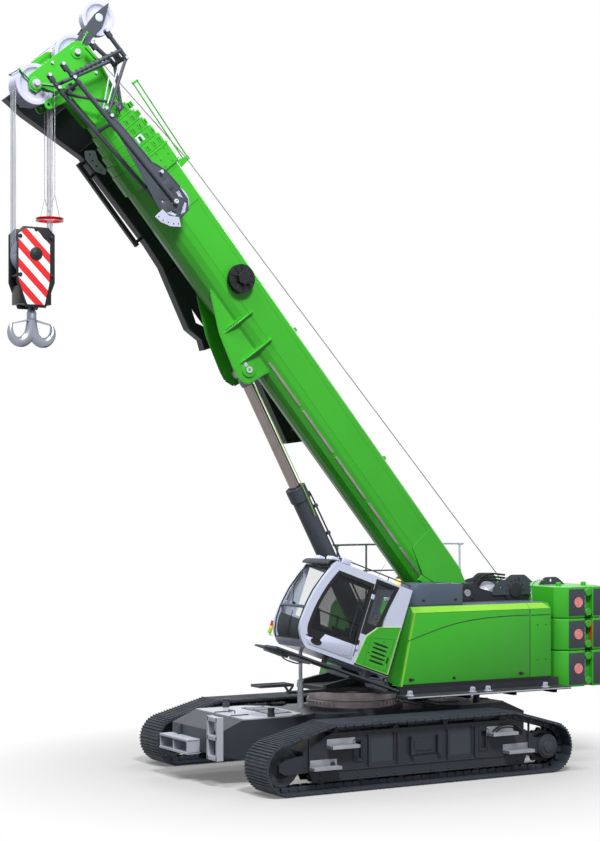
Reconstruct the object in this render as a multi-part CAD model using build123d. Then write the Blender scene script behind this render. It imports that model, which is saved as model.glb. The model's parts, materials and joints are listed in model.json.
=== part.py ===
from build123d import *
import math
import os

os.makedirs("parts", exist_ok=True)

# Telescopic-boom crawler crane. Millimetres and degrees.
# The crane stands on Z = 0, the slewing axis is X = Y = 0, +X is forwards, +Y is the cab's side.

running_gap = 0.3          # seats of pins, rollers and shafts
slide_gap = 6.0            # beside a cross beam in its track frame

# Track: one fixed loop of shoes over an idler and a sprocket
track_centre_y = 2200.0
shoe_width = 830.0
wheel_base = 5840.0        # idler axle to sprocket axle
wheel_tip_r = 490.0        # over the shoe bars
top_run_z = 1240.0
top_run_half = 2030.0
shoe_pitch = 190.0
shoe_bar_h = 25.0
shoe_bar_len = 42.0
shoe_thick = 55.0          # from bar tips to the inside of the plates
chain_depth = 90.0
chain_half_w = 120.0

# Track frame, about its own centre plane
frame_half_w = 240.0
frame_bottom_z = 370.0
frame_top_z = 1062.0
frame_end_gap = 15.0       # frame to the idler and sprocket
fork_gap_half = 170.0
fork_thick = 65.0
roller_r = 105.0
roller_count = 6
roller_spacing = 860.0
skirt_thick = 26.0
skirt_bottom_z = 190.0
step_reach = 205.0

# Carbody and its cross beams
beam_x = 875.0
beam_w = 478.0
beam_h = 518.0
beam_z = 735.0
beam_half_len = 2425.0
carbody_half_len = 1250.0
carbody_half_w = 980.0
carbody_corner = 330.0
carbody_bottom_z = 450.0
carbody_top_z = 1250.0
nose_end_x = 3470.0
nose_top_z = 1200.0
nose_plate_t = 22.0
post_r = 70.0
post_x = 2350.0
post_y = 900.0
post_top_z = 1390.0

# Slewing ring
ring_lower_r = 920.0
ring_upper_r = 870.0
ring_split_z = 1380.0
ring_top_z = 1570.0

# Uppercarriage
deck_rear_x = -3950.0
deck_front_x = 950.0
deck_plate_t = 80.0
side_y = 1500.0
rail_w = 120.0
housing_bottom_z = 1700.0
housing_top_z = 3200.0
housing_inner_y = 600.0
housing_front_x = -130.0
housing_rear_x = -3750.0
housing_lean = 310.0
housing_chamfer = 110.0
housing_wall = 20.0
door_seam_x = -3231.0
door_seam_w = 14.0
door_seam_deep = 8.0
foot_plate_y = 460.0
foot_plate_t = 90.0
walk_w = 400.0
walk_z = 1500.0
walk_t = 45.0
hand_rail_z = 4340.0
hand_rail_mid_z = 3800.0
hand_rail_r = 21.0

# Counterweight, slab by slab: bottom z, top z
slab_levels = ((1480.0, 2220.0), (2220.0, 2870.0), (2870.0, 3510.0))
slab_len = 1350.0
slab_half_w = 1550.0
slab_corner = 260.0
slab_edge = 210.0          # cut off its front corners
slab_recess = (635.0, 835.0)    # from the slab's front face
slab_recess_deep = 130.0
bollard_r = 60.0
bollard_inset = 120.0      # from the slab's top and bottom
lug_plate_y = 520.0
lug_plate_t = 40.0
lug_plate_h = 160.0

# Boom: its own frame has X along the boom from the foot pin, Z to its back
boom_angle = 50.1
foot_x = -2350.0
foot_z = 3390.0
foot_pin_r = 75.0
foot_pin_out = 60.0        # pin ends past the foot plates
boom_ear_t = 60.0
boom_half_w = 420.0
boom_back = 300.0
belly_centre = -300.0
boom_wall = 12.0
belly_folds = 10           # pressed folds round the belly
section_step = 34.0
section_count = 5
base_end = 10750.0
collar_len = 190.0
collar_gap = 6.0
collar_out = 42.0
section_start = 900.0
section_stagger = 90.0
head_reach = 1200.0        # head axles past the last collar
lower_axle_n = -1040.0
upper_axle_n = -30.0
aux_reach = 240.0          # auxiliary axle past the head axles
jib_frame_y = (530.0, 820.0)    # inner and outer truss planes of the folded jib's end frame
aux_axle_n = 800.0
aux_axle_r = 40.0
aux_sheave_r = 320.0
sheave_r = 365.0
rope_r = 11.0
rope_line_r = 345.0        # rope centre from the sheave's axle
sheave_pitch = 73.0
upper_bush_t = 40.0
head_plate_reach = 220.0   # head plates past the sheave axles
head_plate_y = 192.0
head_plate_t = 30.0
flange_t = 16.0            # rims of the rope sheaves
axle_r = 55.0
mast_y = 85.0
guide_along = (3170.0, 6360.0)  # rope guides on the boom's back
guide_y = (-150.0, 150.0)
guide_h = 160.0
guide_r = 38.0
stand_along = 10210.0
stand_h = 360.0
reel_place = (7900.0, -80.0)

fly_jib_y = 850.0
fly_jib_flange = 45.0

# Luffing cylinder
luff_pin_along = 6430.0
luff_pin_n = -940.0
luff_pin_r = 70.0
gussets = ((6650.0, -1050.0), (7300.0, -930.0))   # along the boom, lowest point at the bracket
luff_foot_x = -400.0
luff_foot_z = 2300.0
barrel_r = 180.0
barrel_len = 3630.0
gland_r = 205.0
gland_len = 260.0
rod_r = 105.0
rod_len = 3960.0
eye_r = 165.0
eye_half_w = 110.0
cheek_y = 250.0
cheek_t = 40.0

# Winch
winch_x = -3550.0
winch_z = 3200.0
winch_drum_r = 300.0
winch_flange_r = 360.0
winch_half_w = 420.0

# Cab, drawn level and then tilted back about its hinge
cab_tilt = 19.5
cab_hinge_x = 140.0
cab_hinge_z = 1835.0
cab_pin_r = 25.0
cab_lug_y = (620.0, 1380.0)
cab_lug_t = 30.0
cab_rear_x = 200.0
cab_floor_z = 1885.0
cab_h = 1725.0
cab_foot_x = 2085.0        # windscreen's foot, widest bow and top
cab_bow_x = 2350.0
cab_bow_z = 2330.0
cab_brow_x = 1975.0
cab_inner_y = 500.0
cab_outer_y = 1530.0
cab_wall = 45.0
glass_t = 8.0
door_gap = 6.0
door_rear_x = 1050.0
door_sill_h = 375.0        # foot of the door's glass above the floor
door_post = 150.0
knuckle_r = 16.0
knuckle_lift = 4.0         # knuckle clear of the outer skin
knuckle_len = 90.0
knuckle_heights = (380.0, 1380.0)   # above the cab floor
louvre_count = 5
louvre_x = (340.0, 740.0)
louvre_z = 165.0           # lowest slot above the floor
louvre_pitch = 84.0
louvre_h = 45.0
louvre_deep = 14.0
roof_rail_x = (1870.0, 230.0)
roof_rail_y = (600.0, 1450.0)
roof_rail_h = 90.0
roof_rail_t = 30.0
roof_lamp_y = (780.0, 1260.0)
roof_lamp_r = 70.0
beacon_place = (360.0, 1200.0)
beacon_r = 66.0
beacon_h = 170.0

# Hook block, hung from the lower head axle
falls_drop = 3020.0        # head axle to hook-block axle
fall_count = 4
cheek_w = 720.0
block_plate_t = 30.0
block_plate_y = 185.0
block_top = 480.0          # above its axle
block_bottom = 950.0       # below its axle
hook_drop = 1640.0         # hook's lowest point below the block's axle

# Places that follow from the sizes above
head_start = base_end + section_count * (collar_len + collar_gap)
axle_along = head_start + head_reach
aux_axle_along = axle_along + aux_reach


def block(x, y, z):
    size = [b - a for a, b in (x, y, z)]
    middle = [(a + b) / 2 for a, b in (x, y, z)]
    return Pos(*middle) * Box(*size)


def side_plate(points, y):
    """Outline in X and Z, thick along Y."""
    plane = Plane(origin=(0, y[1], 0), x_dir=(1, 0, 0), z_dir=(0, -1, 0))
    return extrude(plane * Polygon(*points, align=None), amount=y[1] - y[0], dir=(0, -1, 0))


def cross_plate(points, x):
    """Outline in Y and Z, thick along X."""
    plane = Plane(origin=(x[0], 0, 0), x_dir=(0, 1, 0), z_dir=(1, 0, 0))
    return extrude(plane * Polygon(*points, align=None), amount=x[1] - x[0], dir=(1, 0, 0))


def flat_plate(points, z):
    """Outline in X and Y, thick along Z."""
    return extrude(Pos(0, 0, z[0]) * Polygon(*points, align=None), amount=z[1] - z[0], dir=(0, 0, 1))


def rod(start, end, radius):
    run = Vector(*end) - Vector(*start)
    return extrude(Plane(origin=start, z_dir=run) * Circle(radius), amount=run.length)


def pin_y(x, z, radius, y):
    return rod((x, y[0], z), (x, y[1], z), radius)


def ring_y(x, z, outer, inner, y):
    return pin_y(x, z, outer, y) - pin_y(x, z, inner, (y[0] - 1, y[1] + 1))


def bar(start, end, side):
    """Square tube from point to point."""
    run = Vector(*end) - Vector(*start)
    upright = (1, 0, 0) if abs(run.X) < 1 else (0, 1, 0)
    return extrude(Plane(origin=start, x_dir=upright, z_dir=run) * Rectangle(side, side), amount=run.length)


def fuse(shapes):
    shapes = list(shapes)
    whole = shapes[0]
    for shape in shapes[1:]:
        whole = whole + shape
    return whole


# ---- track

wheel_x = wheel_base / 2
rise = top_run_z - wheel_tip_r
run_in = wheel_x - top_run_half
slant = math.hypot(rise, run_in)
wheel_to_top = math.degrees(math.atan2(rise, -run_in))
leave_angle = wheel_to_top - math.degrees(math.acos(wheel_tip_r / slant))
slope = leave_angle - 90


def polar(cx, cz, radius, degrees):
    a = math.radians(degrees)
    return (cx + radius * math.cos(a), cz + radius * math.sin(a))


def track_outline(depth):
    """Closed sketch of the loop, this far inside the bar tips."""
    r = wheel_tip_r - depth
    corner = top_run_half + depth * math.tan(math.radians(slope / 2))
    right = polar(wheel_x, wheel_tip_r, r, leave_angle)
    far = (wheel_x + r, wheel_tip_r)
    top = top_run_z - depth
    path = Line((-wheel_x, depth), (wheel_x, depth))
    path += ThreePointArc((wheel_x, depth), far, right)
    path += Line(right, (corner, top))
    path += Line((corner, top), (-corner, top))
    path += Line((-corner, top), (-right[0], right[1]))
    path += ThreePointArc((-right[0], right[1]), (-far[0], far[1]), (-wheel_x, depth))
    return make_face(path)


def track_stations():
    """The tip line as runs: length, and point and inward direction at a distance along it."""
    right = polar(wheel_x, wheel_tip_r, wheel_tip_r, leave_angle)
    arc = math.radians(leave_angle + 90) * wheel_tip_r
    side = math.dist(right, (top_run_half, top_run_z))
    lean = math.radians(slope)
    return (
        (2 * wheel_x, lambda s: ((-wheel_x + s, 0), (0, 1))),
        (arc, lambda s: round_end(1, -90 + math.degrees(s / wheel_tip_r))),
        (side, lambda s: ((right[0] - s * math.cos(lean), right[1] - s * math.sin(lean)),
                          (math.sin(lean), -math.cos(lean)))),
        (2 * top_run_half, lambda s: ((top_run_half - s, top_run_z), (0, -1))),
        (side, lambda s: ((-top_run_half - s * math.cos(lean), top_run_z + s * math.sin(lean)),
                          (-math.sin(lean), -math.cos(lean)))),
        (arc, lambda s: round_end(-1, leave_angle - math.degrees(s / wheel_tip_r))),
    )


def round_end(side, degrees):
    a = math.radians(degrees)
    point = (side * (wheel_x + wheel_tip_r * math.cos(a)), wheel_tip_r + wheel_tip_r * math.sin(a))
    return point, (-side * math.cos(a), -math.sin(a))


def track_point(distance, depth):
    left = distance
    for length, place in track_stations():
        if left <= length:
            point, inward = place(left)
            return (point[0] + depth * inward[0], point[1] + depth * inward[1])
        left -= length
    point, inward = place(length)
    return (point[0] + depth * inward[0], point[1] + depth * inward[1])


def shoe_outline():
    total = sum(length for length, _ in track_stations())
    count = round(total / shoe_pitch)
    pitch = total / count
    shoe = (                                   # distance along the shoe, depth below the bar tip
        (0, 0),
        (shoe_bar_len, 0),
        (shoe_bar_len, shoe_bar_h),
        (pitch, shoe_bar_h),
    )
    return [track_point(i * pitch + s, depth) for i in range(count) for s, depth in shoe]


def on_track(y0, y1):
    return (track_centre_y + y0, track_centre_y + y1)


def thick_loop(outer, inner, y):
    plane = Plane(origin=(0, y[1], 0), x_dir=(1, 0, 0), z_dir=(0, -1, 0))
    return extrude(plane * (outer - inner), amount=y[1] - y[0], dir=(0, -1, 0))


def make_track():
    half = shoe_width / 2
    shoes = thick_loop(Polygon(*shoe_outline(), align=None), track_outline(shoe_thick), on_track(-half, half))
    links = thick_loop(track_outline(shoe_thick - 1), track_outline(shoe_thick + chain_depth),
                       on_track(-chain_half_w, chain_half_w))
    return shoes + links


chain_r = wheel_tip_r - shoe_thick - chain_depth
frame_half_len = wheel_x - chain_r - frame_end_gap
chain_bottom_z = shoe_thick + chain_depth
roller_z = chain_bottom_z + roller_r + running_gap


def make_track_frame():
    shape = (
        (-frame_half_len, 500), (-frame_half_len + 130, frame_bottom_z), (frame_half_len - 130, frame_bottom_z),
        (frame_half_len, 500), (frame_half_len, 760), (1960, frame_top_z), (-1960, frame_top_z),
        (-frame_half_len, 760),
    )
    body = side_plate(shape, on_track(-frame_half_w, frame_half_w))
    for side in (-1, 1):
        x = side * beam_x
        half_w = beam_w / 2 + slide_gap
        half_h = beam_h / 2 + running_gap
        pocket = block((x - half_w, x + half_w), on_track(-400, 400), (beam_z - half_h, beam_z + half_h))
        window_x = side * 1400
        window = block((window_x - 60, window_x + 60), on_track(frame_half_w - 70, 400), (560, 880))
        body = body - pocket - window
        arm_shape = (
            (side * 2300, frame_bottom_z + 20), (side * wheel_x, frame_bottom_z), (side * (wheel_x + 130), 440),
            (side * (wheel_x + 130), 560), (side * wheel_x, 640), (side * 2300, 720),
        )
        for y in ((-fork_gap_half - fork_thick, -fork_gap_half), (fork_gap_half, fork_gap_half + fork_thick)):
            body = body + side_plate(arm_shape, on_track(*y))
    for y in ((-frame_half_w, -frame_half_w + skirt_thick), (frame_half_w - skirt_thick, frame_half_w)):
        skirt = ((-2350, skirt_bottom_z), (2350, skirt_bottom_z), (2430, frame_bottom_z + 20),
                 (-2430, frame_bottom_z + 20))
        body = body + side_plate(skirt, on_track(*y))
    skid_top = top_run_z - shoe_thick - chain_depth - running_gap
    for x in (-1500, 0, 1500):
        body = body + side_plate(((x - 260, frame_top_z - 5), (x + 260, frame_top_z - 5), (x + 200, skid_top),
                                  (x - 200, skid_top)), on_track(-90, 90))
    rib = ((-90, 560), (0, 560), (0, 900))
    for x in (-300, 300):
        edge = side_plate([(x + px, pz) for px, pz in rib], on_track(frame_half_w - 5, frame_half_w + 90))
        body = body + edge
    return body


def make_rollers():
    y = on_track(-frame_half_w + skirt_thick + running_gap, frame_half_w - skirt_thick - running_gap)
    first = -(roller_count - 1) / 2 * roller_spacing
    return [pin_y(first + i * roller_spacing, roller_z, roller_r, y) for i in range(roller_count)]


def make_end_wheel(side):
    half = fork_gap_half - running_gap
    return pin_y(side * wheel_x, wheel_tip_r, chain_r - running_gap, on_track(-half, half))


def make_final_drive():
    y = fork_gap_half + fork_thick + running_gap
    return pin_y(-wheel_x, wheel_tip_r, 235, on_track(y, y + 75))


def make_steps():
    rows = (                                   # x from, x to, bottom z of each folding step
        (1470, 2070, 790),
        (1860, 2460, 430),
        (-2090, -1470, 790),
        (-2470, -1850, 430),
    )
    bar = 24
    outer_y = track_centre_y + frame_half_w + running_gap
    steps = []
    for x0, x1, z in rows:
        y = (outer_y, outer_y + step_reach)
        frame = block((x0, x1), y, (z, z + 60))
        frame = frame - block((x0 + bar, x1 - bar), (y[0] - 1, y[1] - bar), (z - 1, z + 61))
        back = block((x0, x1), (y[0], y[0] + 12), (z, z + 170))
        steps.append(frame + back)
    return Compound(steps)


# ---- undercarriage

def make_carbody():
    half_l = carbody_half_len
    half_w = carbody_half_w
    c = carbody_corner
    box_plan = ((-half_l, -half_w + c), (-half_l + c, -half_w), (half_l - c, -half_w), (half_l, -half_w + c),
                (half_l, half_w - c), (half_l - c, half_w), (-half_l + c, half_w), (-half_l, half_w - c))
    body = flat_plate(box_plan, (carbody_bottom_z, carbody_top_z - 60))
    seat = Pos(0, 0, carbody_top_z - 65) * extrude(RegularPolygon(ring_lower_r + 60, 12), amount=65)
    body = body + seat
    for side in (-1, 1):
        x = side * beam_x
        body = body + block((x - beam_w / 2, x + beam_w / 2), (-beam_half_len, beam_half_len),
                            (beam_z - beam_h / 2, beam_z + beam_h / 2))
    return body


def make_nose(side):
    near = carbody_half_len
    shape = ((near, 500), (2550, 360), (nose_end_x, 580), (nose_end_x, 1000), (3000, nose_top_z), (near, nose_top_z))
    body = side_plate(shape, (-carbody_half_w, carbody_half_w))
    c = carbody_corner
    for y in (-1, 1):
        cut = ((near - 5, y * (carbody_half_w + 5)), (near + 2 * c, y * (carbody_half_w + 5)),
               (near - 5, y * (carbody_half_w - c)))
        body = body - flat_plate(cut, (0, 2000))
    return body if side > 0 else mirror(body, about=Plane.YZ)


def make_nose_plate(side):
    near = carbody_half_len + 300
    half = carbody_half_w - 10
    z = (nose_top_z, nose_top_z + nose_plate_t)
    body = block((near + 400, 2980), (-half, half), z)
    ear = flat_plate(((near, -half + 300), (near + 400, -half), (near + 400, half), (near, half - 300)), z)
    body = body + ear
    return body if side > 0 else mirror(body, about=Plane.YZ)


def make_posts():
    base = nose_top_z + nose_plate_t
    posts = [rod((x, y, base), (x, y, post_top_z), post_r) for x in (-post_x, post_x) for y in (-post_y, post_y)]
    return Compound(posts)


def make_front_boxes():
    x = (nose_end_x, nose_end_x + 130)
    ladder = block(x, (700, 1120), (500, 1300))
    for z in ((590, 870), (950, 1210)):
        ladder = ladder - block((x[0] - 1, x[1] + 1), (780, 1040), z)
    step = block((nose_end_x, nose_end_x + 280), (-carbody_half_w, 180), (520, 800))
    return Compound([ladder, step])


def bearing_ring(outer, z):
    """Half of the slewing bearing, its hidden bore left closed."""
    return rod((0, 0, z[0]), (0, 0, z[1]), outer)


# ---- uppercarriage


def make_platform():
    z0 = ring_top_z
    z1 = z0 + deck_plate_t
    base = flat_plate(((deck_rear_x, -side_y), (-300, -side_y), (deck_front_x - 500, -700), (deck_front_x, -560),
                       (deck_front_x, 560), (deck_front_x - 500, 700), (-300, side_y), (deck_rear_x, side_y)),
                      (z0, z1))
    for y in ((-side_y, -side_y + rail_w), (side_y - rail_w, side_y)):
        base = base + block((deck_rear_x, housing_front_x), y, (z0 - 70, housing_bottom_z))
    shape = ((deck_rear_x, z1 - 5), (deck_front_x, z1 - 5), (deck_front_x, z1 + 60), (0, z1 + 230),
             (-250, 2480), (-960, 2750), (-2050, 3200), (-2130, 3590), (-2560, 3590), (-2720, 3470),
             (-3250, 3330), (-3900, 3330))
    for y in ((-foot_plate_y - foot_plate_t, -foot_plate_y), (foot_plate_y, foot_plate_y + foot_plate_t)):
        plate = side_plate(shape, y)
        plate = plate - pin_y(foot_x, foot_z, foot_pin_r + running_gap, (y[0] - 1, y[1] + 1))
        base = base + plate
    lug_top = cab_hinge_z + 38
    cab_seat = ((cab_hinge_x - 90, z1 - 5), (cab_hinge_x + 90, z1 - 5), (cab_hinge_x + 40, lug_top),
                (cab_hinge_x - 40, lug_top))
    for y in cab_lug_y:
        lug = side_plate(cab_seat, (y, y + cab_lug_t))
        lug = lug - pin_y(cab_hinge_x, cab_hinge_z, cab_pin_r + running_gap, (y - 1, y + cab_lug_t + 1))
        base = base + lug
    outrig = block((-300, cab_hinge_x + 100), (600, 1420), (z0, z1))
    return base + outrig


def make_foot_pins():
    inner = boom_half_w - boom_ear_t
    outer = foot_plate_y + foot_plate_t + foot_pin_out
    return Compound([pin_y(foot_x, foot_z, foot_pin_r, sorted((side * inner, side * outer))) for side in (-1, 1)])


def make_housing(side):
    w = housing_wall
    y0 = housing_inner_y
    y1 = side_y
    c = housing_chamfer
    z0 = housing_bottom_z
    z1 = housing_top_z
    outer = ((y0, z0), (y1, z0), (y1, z1 - c), (y1 - c, z1), (y0, z1))
    inner = ((y0 + w, z0 - 1), (y1 - w, z0 - 1), (y1 - w, z1 - c - w / 2), (y1 - c - w / 2, z1 - w), (y0 + w, z1 - w))
    front = housing_front_x
    body = cross_plate(outer, (housing_rear_x, front))
    hollow = cross_plate(inner, (housing_rear_x + w, front - w - housing_lean))
    lean = ((front + 10, z0 - 10), (front + 10, z1 + 10), (front - housing_lean, z1 + 10), (front, z0 - 10))
    nose = side_plate(lean, (y0 - 10, y1 + 10))
    body = body - nose - hollow
    seam_x = (door_seam_x, door_seam_x + door_seam_w)
    body = body - block(seam_x, (y1 - door_seam_deep, y1 + 5), (z0 + 30, z1 - c - 30))
    if side < 0:
        return mirror(body, about=Plane.XZ)
    return body


slab_front_x = deck_rear_x - running_gap
slab_rear_x = slab_front_x - slab_len


def make_slab(level):
    z0, z1 = slab_levels[level]
    c = slab_corner
    e = slab_edge
    half = slab_half_w
    plan = ((slab_front_x, -half + e), (slab_front_x, half - e), (slab_front_x - e, half), (slab_rear_x + c, half),
            (slab_rear_x, half - 2 * c), (slab_rear_x, -half + 2 * c), (slab_rear_x + c, -half),
            (slab_front_x - e, -half))
    body = flat_plate(plan, (z0, z1))
    near, far = slab_recess
    x = slab_front_x - (near + far) / 2
    floor = half - slab_recess_deep
    for y in (-1, 1):
        recess = block((slab_front_x - far, slab_front_x - near), sorted((y * floor, y * (half + 10))),
                       (z0 - 1, z1 + 1))
        body = body - recess
        for z in (z0 + bollard_inset, z1 - bollard_inset):
            body = body + rod((x, y * (floor - 10), z), (x, y * half, z), bollard_r)
    return body


def make_walk(side):
    y = (side_y + running_gap, side_y + walk_w)
    z = (walk_z, walk_z + walk_t)
    body = block((deck_rear_x, housing_front_x + 90), y, z)
    for x in (-3600, -2600, -1500, -450):
        arm = side_plate(((x - 40, walk_z - 60), (x + 40, walk_z - 60), (x + 40, walk_z + 5), (x - 40, walk_z + 5)),
                         (side_y + running_gap, side_y + walk_w - 60))
        body = body + arm
    return body if side > 0 else mirror(body, about=Plane.XZ)


def make_engine():
    base_z = ring_top_z + deck_plate_t
    return block((-3300, -1200), (700, 1340), (base_z, base_z + 1000))


def make_deck_box():
    shape = ((-1676, housing_top_z), (-517, housing_top_z), (-548, 3466), (-590, 3580), (-672, 3640), (-1676, 3632))
    return side_plate(shape, (housing_inner_y + 20, side_y - housing_chamfer - 10))


def make_handrail():
    y = -1300.0
    posts = (-3500, -2320, -1140, -440)
    side = 2 * hand_rail_r
    x0, x1 = posts[0], posts[-1]
    rail = bar((x0 - hand_rail_r, y, hand_rail_z), (x1 + hand_rail_r, y, hand_rail_z), side)
    rail = rail + bar((x0, y, hand_rail_mid_z), (x1, y, hand_rail_mid_z), side * 0.7)
    for x in posts:
        rail = rail + bar((x, y, housing_top_z), (x, y, hand_rail_z), side)
    return rail


def make_winch_guard():
    guards = []
    guard = ((-3930, 3330), (-3000, 3330), (-3030, 3446), (-3164, 3578), (-3366, 3628), (-3468, 3708), (-3809, 3701),
             (-3929, 3533))
    foot = slab_levels[-1][1] + running_gap
    lug = ((-4870, foot), (-4190, foot), (-4309, foot + lug_plate_h), (-4692, foot + lug_plate_h))
    for side in (-1, 1):
        for shape, y in ((guard, foot_plate_y + foot_plate_t + running_gap), (lug, lug_plate_y)):
            guards.append(side_plate(shape, sorted((side * y, side * (y + lug_plate_t)))))
    return Compound(guards)


def make_winch_drum():
    y = winch_half_w
    body = pin_y(winch_x, winch_z, winch_drum_r, (-y, y))
    for side in (-1, 1):
        body = body + pin_y(winch_x, winch_z, winch_flange_r, sorted((side * (y - 25), side * y)))
    shaft = foot_plate_y - running_gap
    return body + pin_y(winch_x, winch_z, 60, (-shaft, shaft))


# ---- boom

def on_boom(shape):
    return Pos(foot_x, 0, foot_z) * Rot(0, -boom_angle, 0) * shape


def section_sketch(half_w, back):
    """U-shaped hull section in Y and Z: flat back and sides, and a belly pressed in equal folds."""
    corner = 45
    points = [(-half_w, back - corner), (-half_w + corner, back), (half_w - corner, back), (half_w, back - corner)]
    points += [polar(0, belly_centre, half_w, -180 * i / belly_folds) for i in range(belly_folds + 1)]
    return Polygon(*points, align=None)


def section_tube(grow_out, grow_in, x):
    """A length of hull between two offsets from the base section's outside."""
    plane = Plane(origin=(x[0], 0, 0), x_dir=(0, 1, 0), z_dir=(1, 0, 0))
    outer = section_sketch(boom_half_w + grow_out, boom_back + grow_out)
    inner = section_sketch(boom_half_w + grow_in, boom_back + grow_in)
    return extrude(plane * (outer - inner), amount=x[1] - x[0], dir=(1, 0, 0))


def wear_pad(shrink, end):
    """Pad ring in a section's mouth, on which the next section slides."""
    return section_tube(shrink - boom_wall + 1, shrink - section_step + running_gap, (end - 110, end - 40))


def make_boom_base():
    tube = section_tube(0, -boom_wall, (350, base_end))
    collar = section_tube(collar_out, -boom_wall, (base_end - 420, base_end))
    body = tube + collar + wear_pad(0, base_end)
    foot = ((-150, -130), (0, -190), (900, -640), (900, 250), (350, 250), (-120, 140))
    for y in ((-boom_half_w, -boom_half_w + boom_ear_t), (boom_half_w - boom_ear_t, boom_half_w)):
        ear = side_plate(foot, y) - pin_y(0, 0, foot_pin_r + running_gap, (y[0] - 1, y[1] + 1))
        body = body + ear
    body = body + section_cap(0, (350, 380))
    nose = luff_pin_along + 1800
    cheek = ((luff_pin_along - 330, -430), (nose, -430), (nose - 210, -640), (luff_pin_along + 880, -970),
             (luff_pin_along + 190, luff_pin_n - 220), (luff_pin_along, luff_pin_n - 250),
             (luff_pin_along - 190, luff_pin_n - 170), (luff_pin_along - 250, -740))
    fill = section_cap(2, (luff_pin_along - 500, nose + 100))
    for side in (-1, 1):
        y = sorted((side * cheek_y, side * (cheek_y + cheek_t)))
        body = body + (side_plate(cheek, y) - fill)
        for along, low in gussets:
            rib = ((side * (cheek_y + cheek_t - 5), low), (side * boom_half_w, -250), (side * (cheek_y + 20), -450))
            body = body + (cross_plate(rib, (along, along + 25)) - fill)
    for along in guide_along:
        body = body + rope_guide(along, guide_h, guide_h - 50)
    body = body + rope_guide(stand_along, stand_h, stand_h - 40)
    return body + pin_y(luff_pin_along, luff_pin_n, luff_pin_r, (-cheek_y - cheek_t - 40, cheek_y + cheek_t + 40))


def rope_guide(along, height, roller_n):
    """Two lugs on the boom's back with a roller between them."""
    low = boom_back - 2
    shape = ((along - 80, low), (along + 80, low), (along + 35, boom_back + height), (along - 35, boom_back + height))
    lugs = [side_plate(shape, (y - 10, y + 10)) for y in guide_y]
    return fuse(lugs) + pin_y(along, boom_back + roller_n, guide_r, guide_y)


def section_cap(shrink, x):
    """Solid slice of the hull's outline."""
    plane = Plane(origin=(x[0], 0, 0), x_dir=(0, 1, 0), z_dir=(1, 0, 0))
    outline = section_sketch(boom_half_w - shrink, boom_back - shrink)
    return extrude(plane * outline, amount=x[1] - x[0], dir=(1, 0, 0))


def make_section(i):
    """Inner section i, counted outwards from 1: its hull, and its collar past the one before."""
    start = section_start + i * section_stagger
    end = base_end + i * (collar_len + collar_gap)
    shrink = -i * section_step
    tube = section_tube(shrink, shrink - boom_wall, (start, end))
    collar = section_tube(shrink + section_step + collar_out - 14, shrink - boom_wall, (end - collar_len, end))
    body = tube + collar
    if i < section_count:
        body = body + wear_pad(shrink, end)
    return body


def make_head():
    """Cheek plates round both sheave axles, with lugs, and the mast of the auxiliary sheave."""
    a = axle_along
    low = lower_axle_n
    top = upper_axle_n
    reach = head_plate_reach
    outer = (
        (head_start, 120), (a - 300, 240), (a, top + reach), (a + reach * 0.7, top + reach * 0.7),
        (a + reach, top), (a + reach, low), (a + reach * 0.7, low - reach * 0.7),
        (a, low - reach), (a - reach * 0.7, low - reach * 0.7), (a - 310, low + 240), (a - 480, low + 430),
        (head_start, -560),
    )
    lug = ((a - 440, low + 470), (a - 340, low - 60), (a - 420, low - 120), (a - 520, low - 60), (a - 620, low + 500))
    body = None
    for side in (-1, 1):
        y = sorted((side * head_plate_y, side * (head_plate_y + head_plate_t)))
        plate = side_plate(outer, y) + side_plate(lug, y)
        body = plate if body is None else body + plate
    end_plate = section_cap(section_count * section_step, (head_start, head_start + 40))
    back_plate = block((head_start, a - 410), (-head_plate_y - 5, head_plate_y + 5), (60, 90))
    y_out = head_plate_y + head_plate_t + 70
    body = body + end_plate + back_plate
    for n in (low, top):
        body = body + pin_y(a, n, axle_r, (-y_out, y_out))
    x = aux_axle_along
    mast = ((x - 330, 120), (x - 60, 120), (x + 100, aux_axle_n - 60), (x + 110, aux_axle_n + 370),
            (x - 60, aux_axle_n + 130), (x - 150, aux_axle_n - 20))
    for side in (-1, 1):
        y = sorted((side * mast_y, side * (mast_y + 30)))
        shoe = sorted((side * mast_y, side * (head_plate_y + 5)))
        body = body + side_plate(mast, y) + block((x - 300, x - 120), shoe, (130, 180))
    return body + pin_y(x, aux_axle_n, aux_axle_r, (-mast_y - 40, mast_y + 40))


def sheave_pack(x, z, radius, bore, half):
    """Rope sheaves side by side: a common rope floor between full-radius rims."""
    floor = radius - (sheave_r - rope_line_r) - rope_r - running_gap
    pack = pin_y(x, z, floor, (-half, half))
    for side in (-1, 1):
        pack = pack + pin_y(x, z, radius, sorted((side * half, side * (half - flange_t))))
    return pack - pin_y(x, z, bore, (-half - 1, half + 1))


def make_lower_sheaves():
    return sheave_pack(axle_along, lower_axle_n, sheave_r, axle_r + running_gap, head_plate_y - running_gap)


def make_upper_sheaves():
    """Two idle sheaves as one disc, on a bush that fills the gap between the head plates."""
    bore = axle_r + running_gap
    full = head_plate_y - running_gap
    disc = ring_y(axle_along, upper_axle_n, sheave_r, bore, (-sheave_pitch, sheave_pitch))
    return disc + ring_y(axle_along, upper_axle_n, axle_r + upper_bush_t, bore, (-full, full))


def make_aux_sheave():
    half = mast_y - running_gap
    return ring_y(aux_axle_along, aux_axle_n, aux_sheave_r, aux_axle_r + running_gap, (-half, half))


def make_reel():
    y = boom_half_w + running_gap
    x, n = reel_place
    drum = pin_y(x, n, 270, (y + 60, y + 150))
    box = block((x - 110, x + 110), (y, y + 240), (n - 90, n + 120))
    return drum + box


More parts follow.
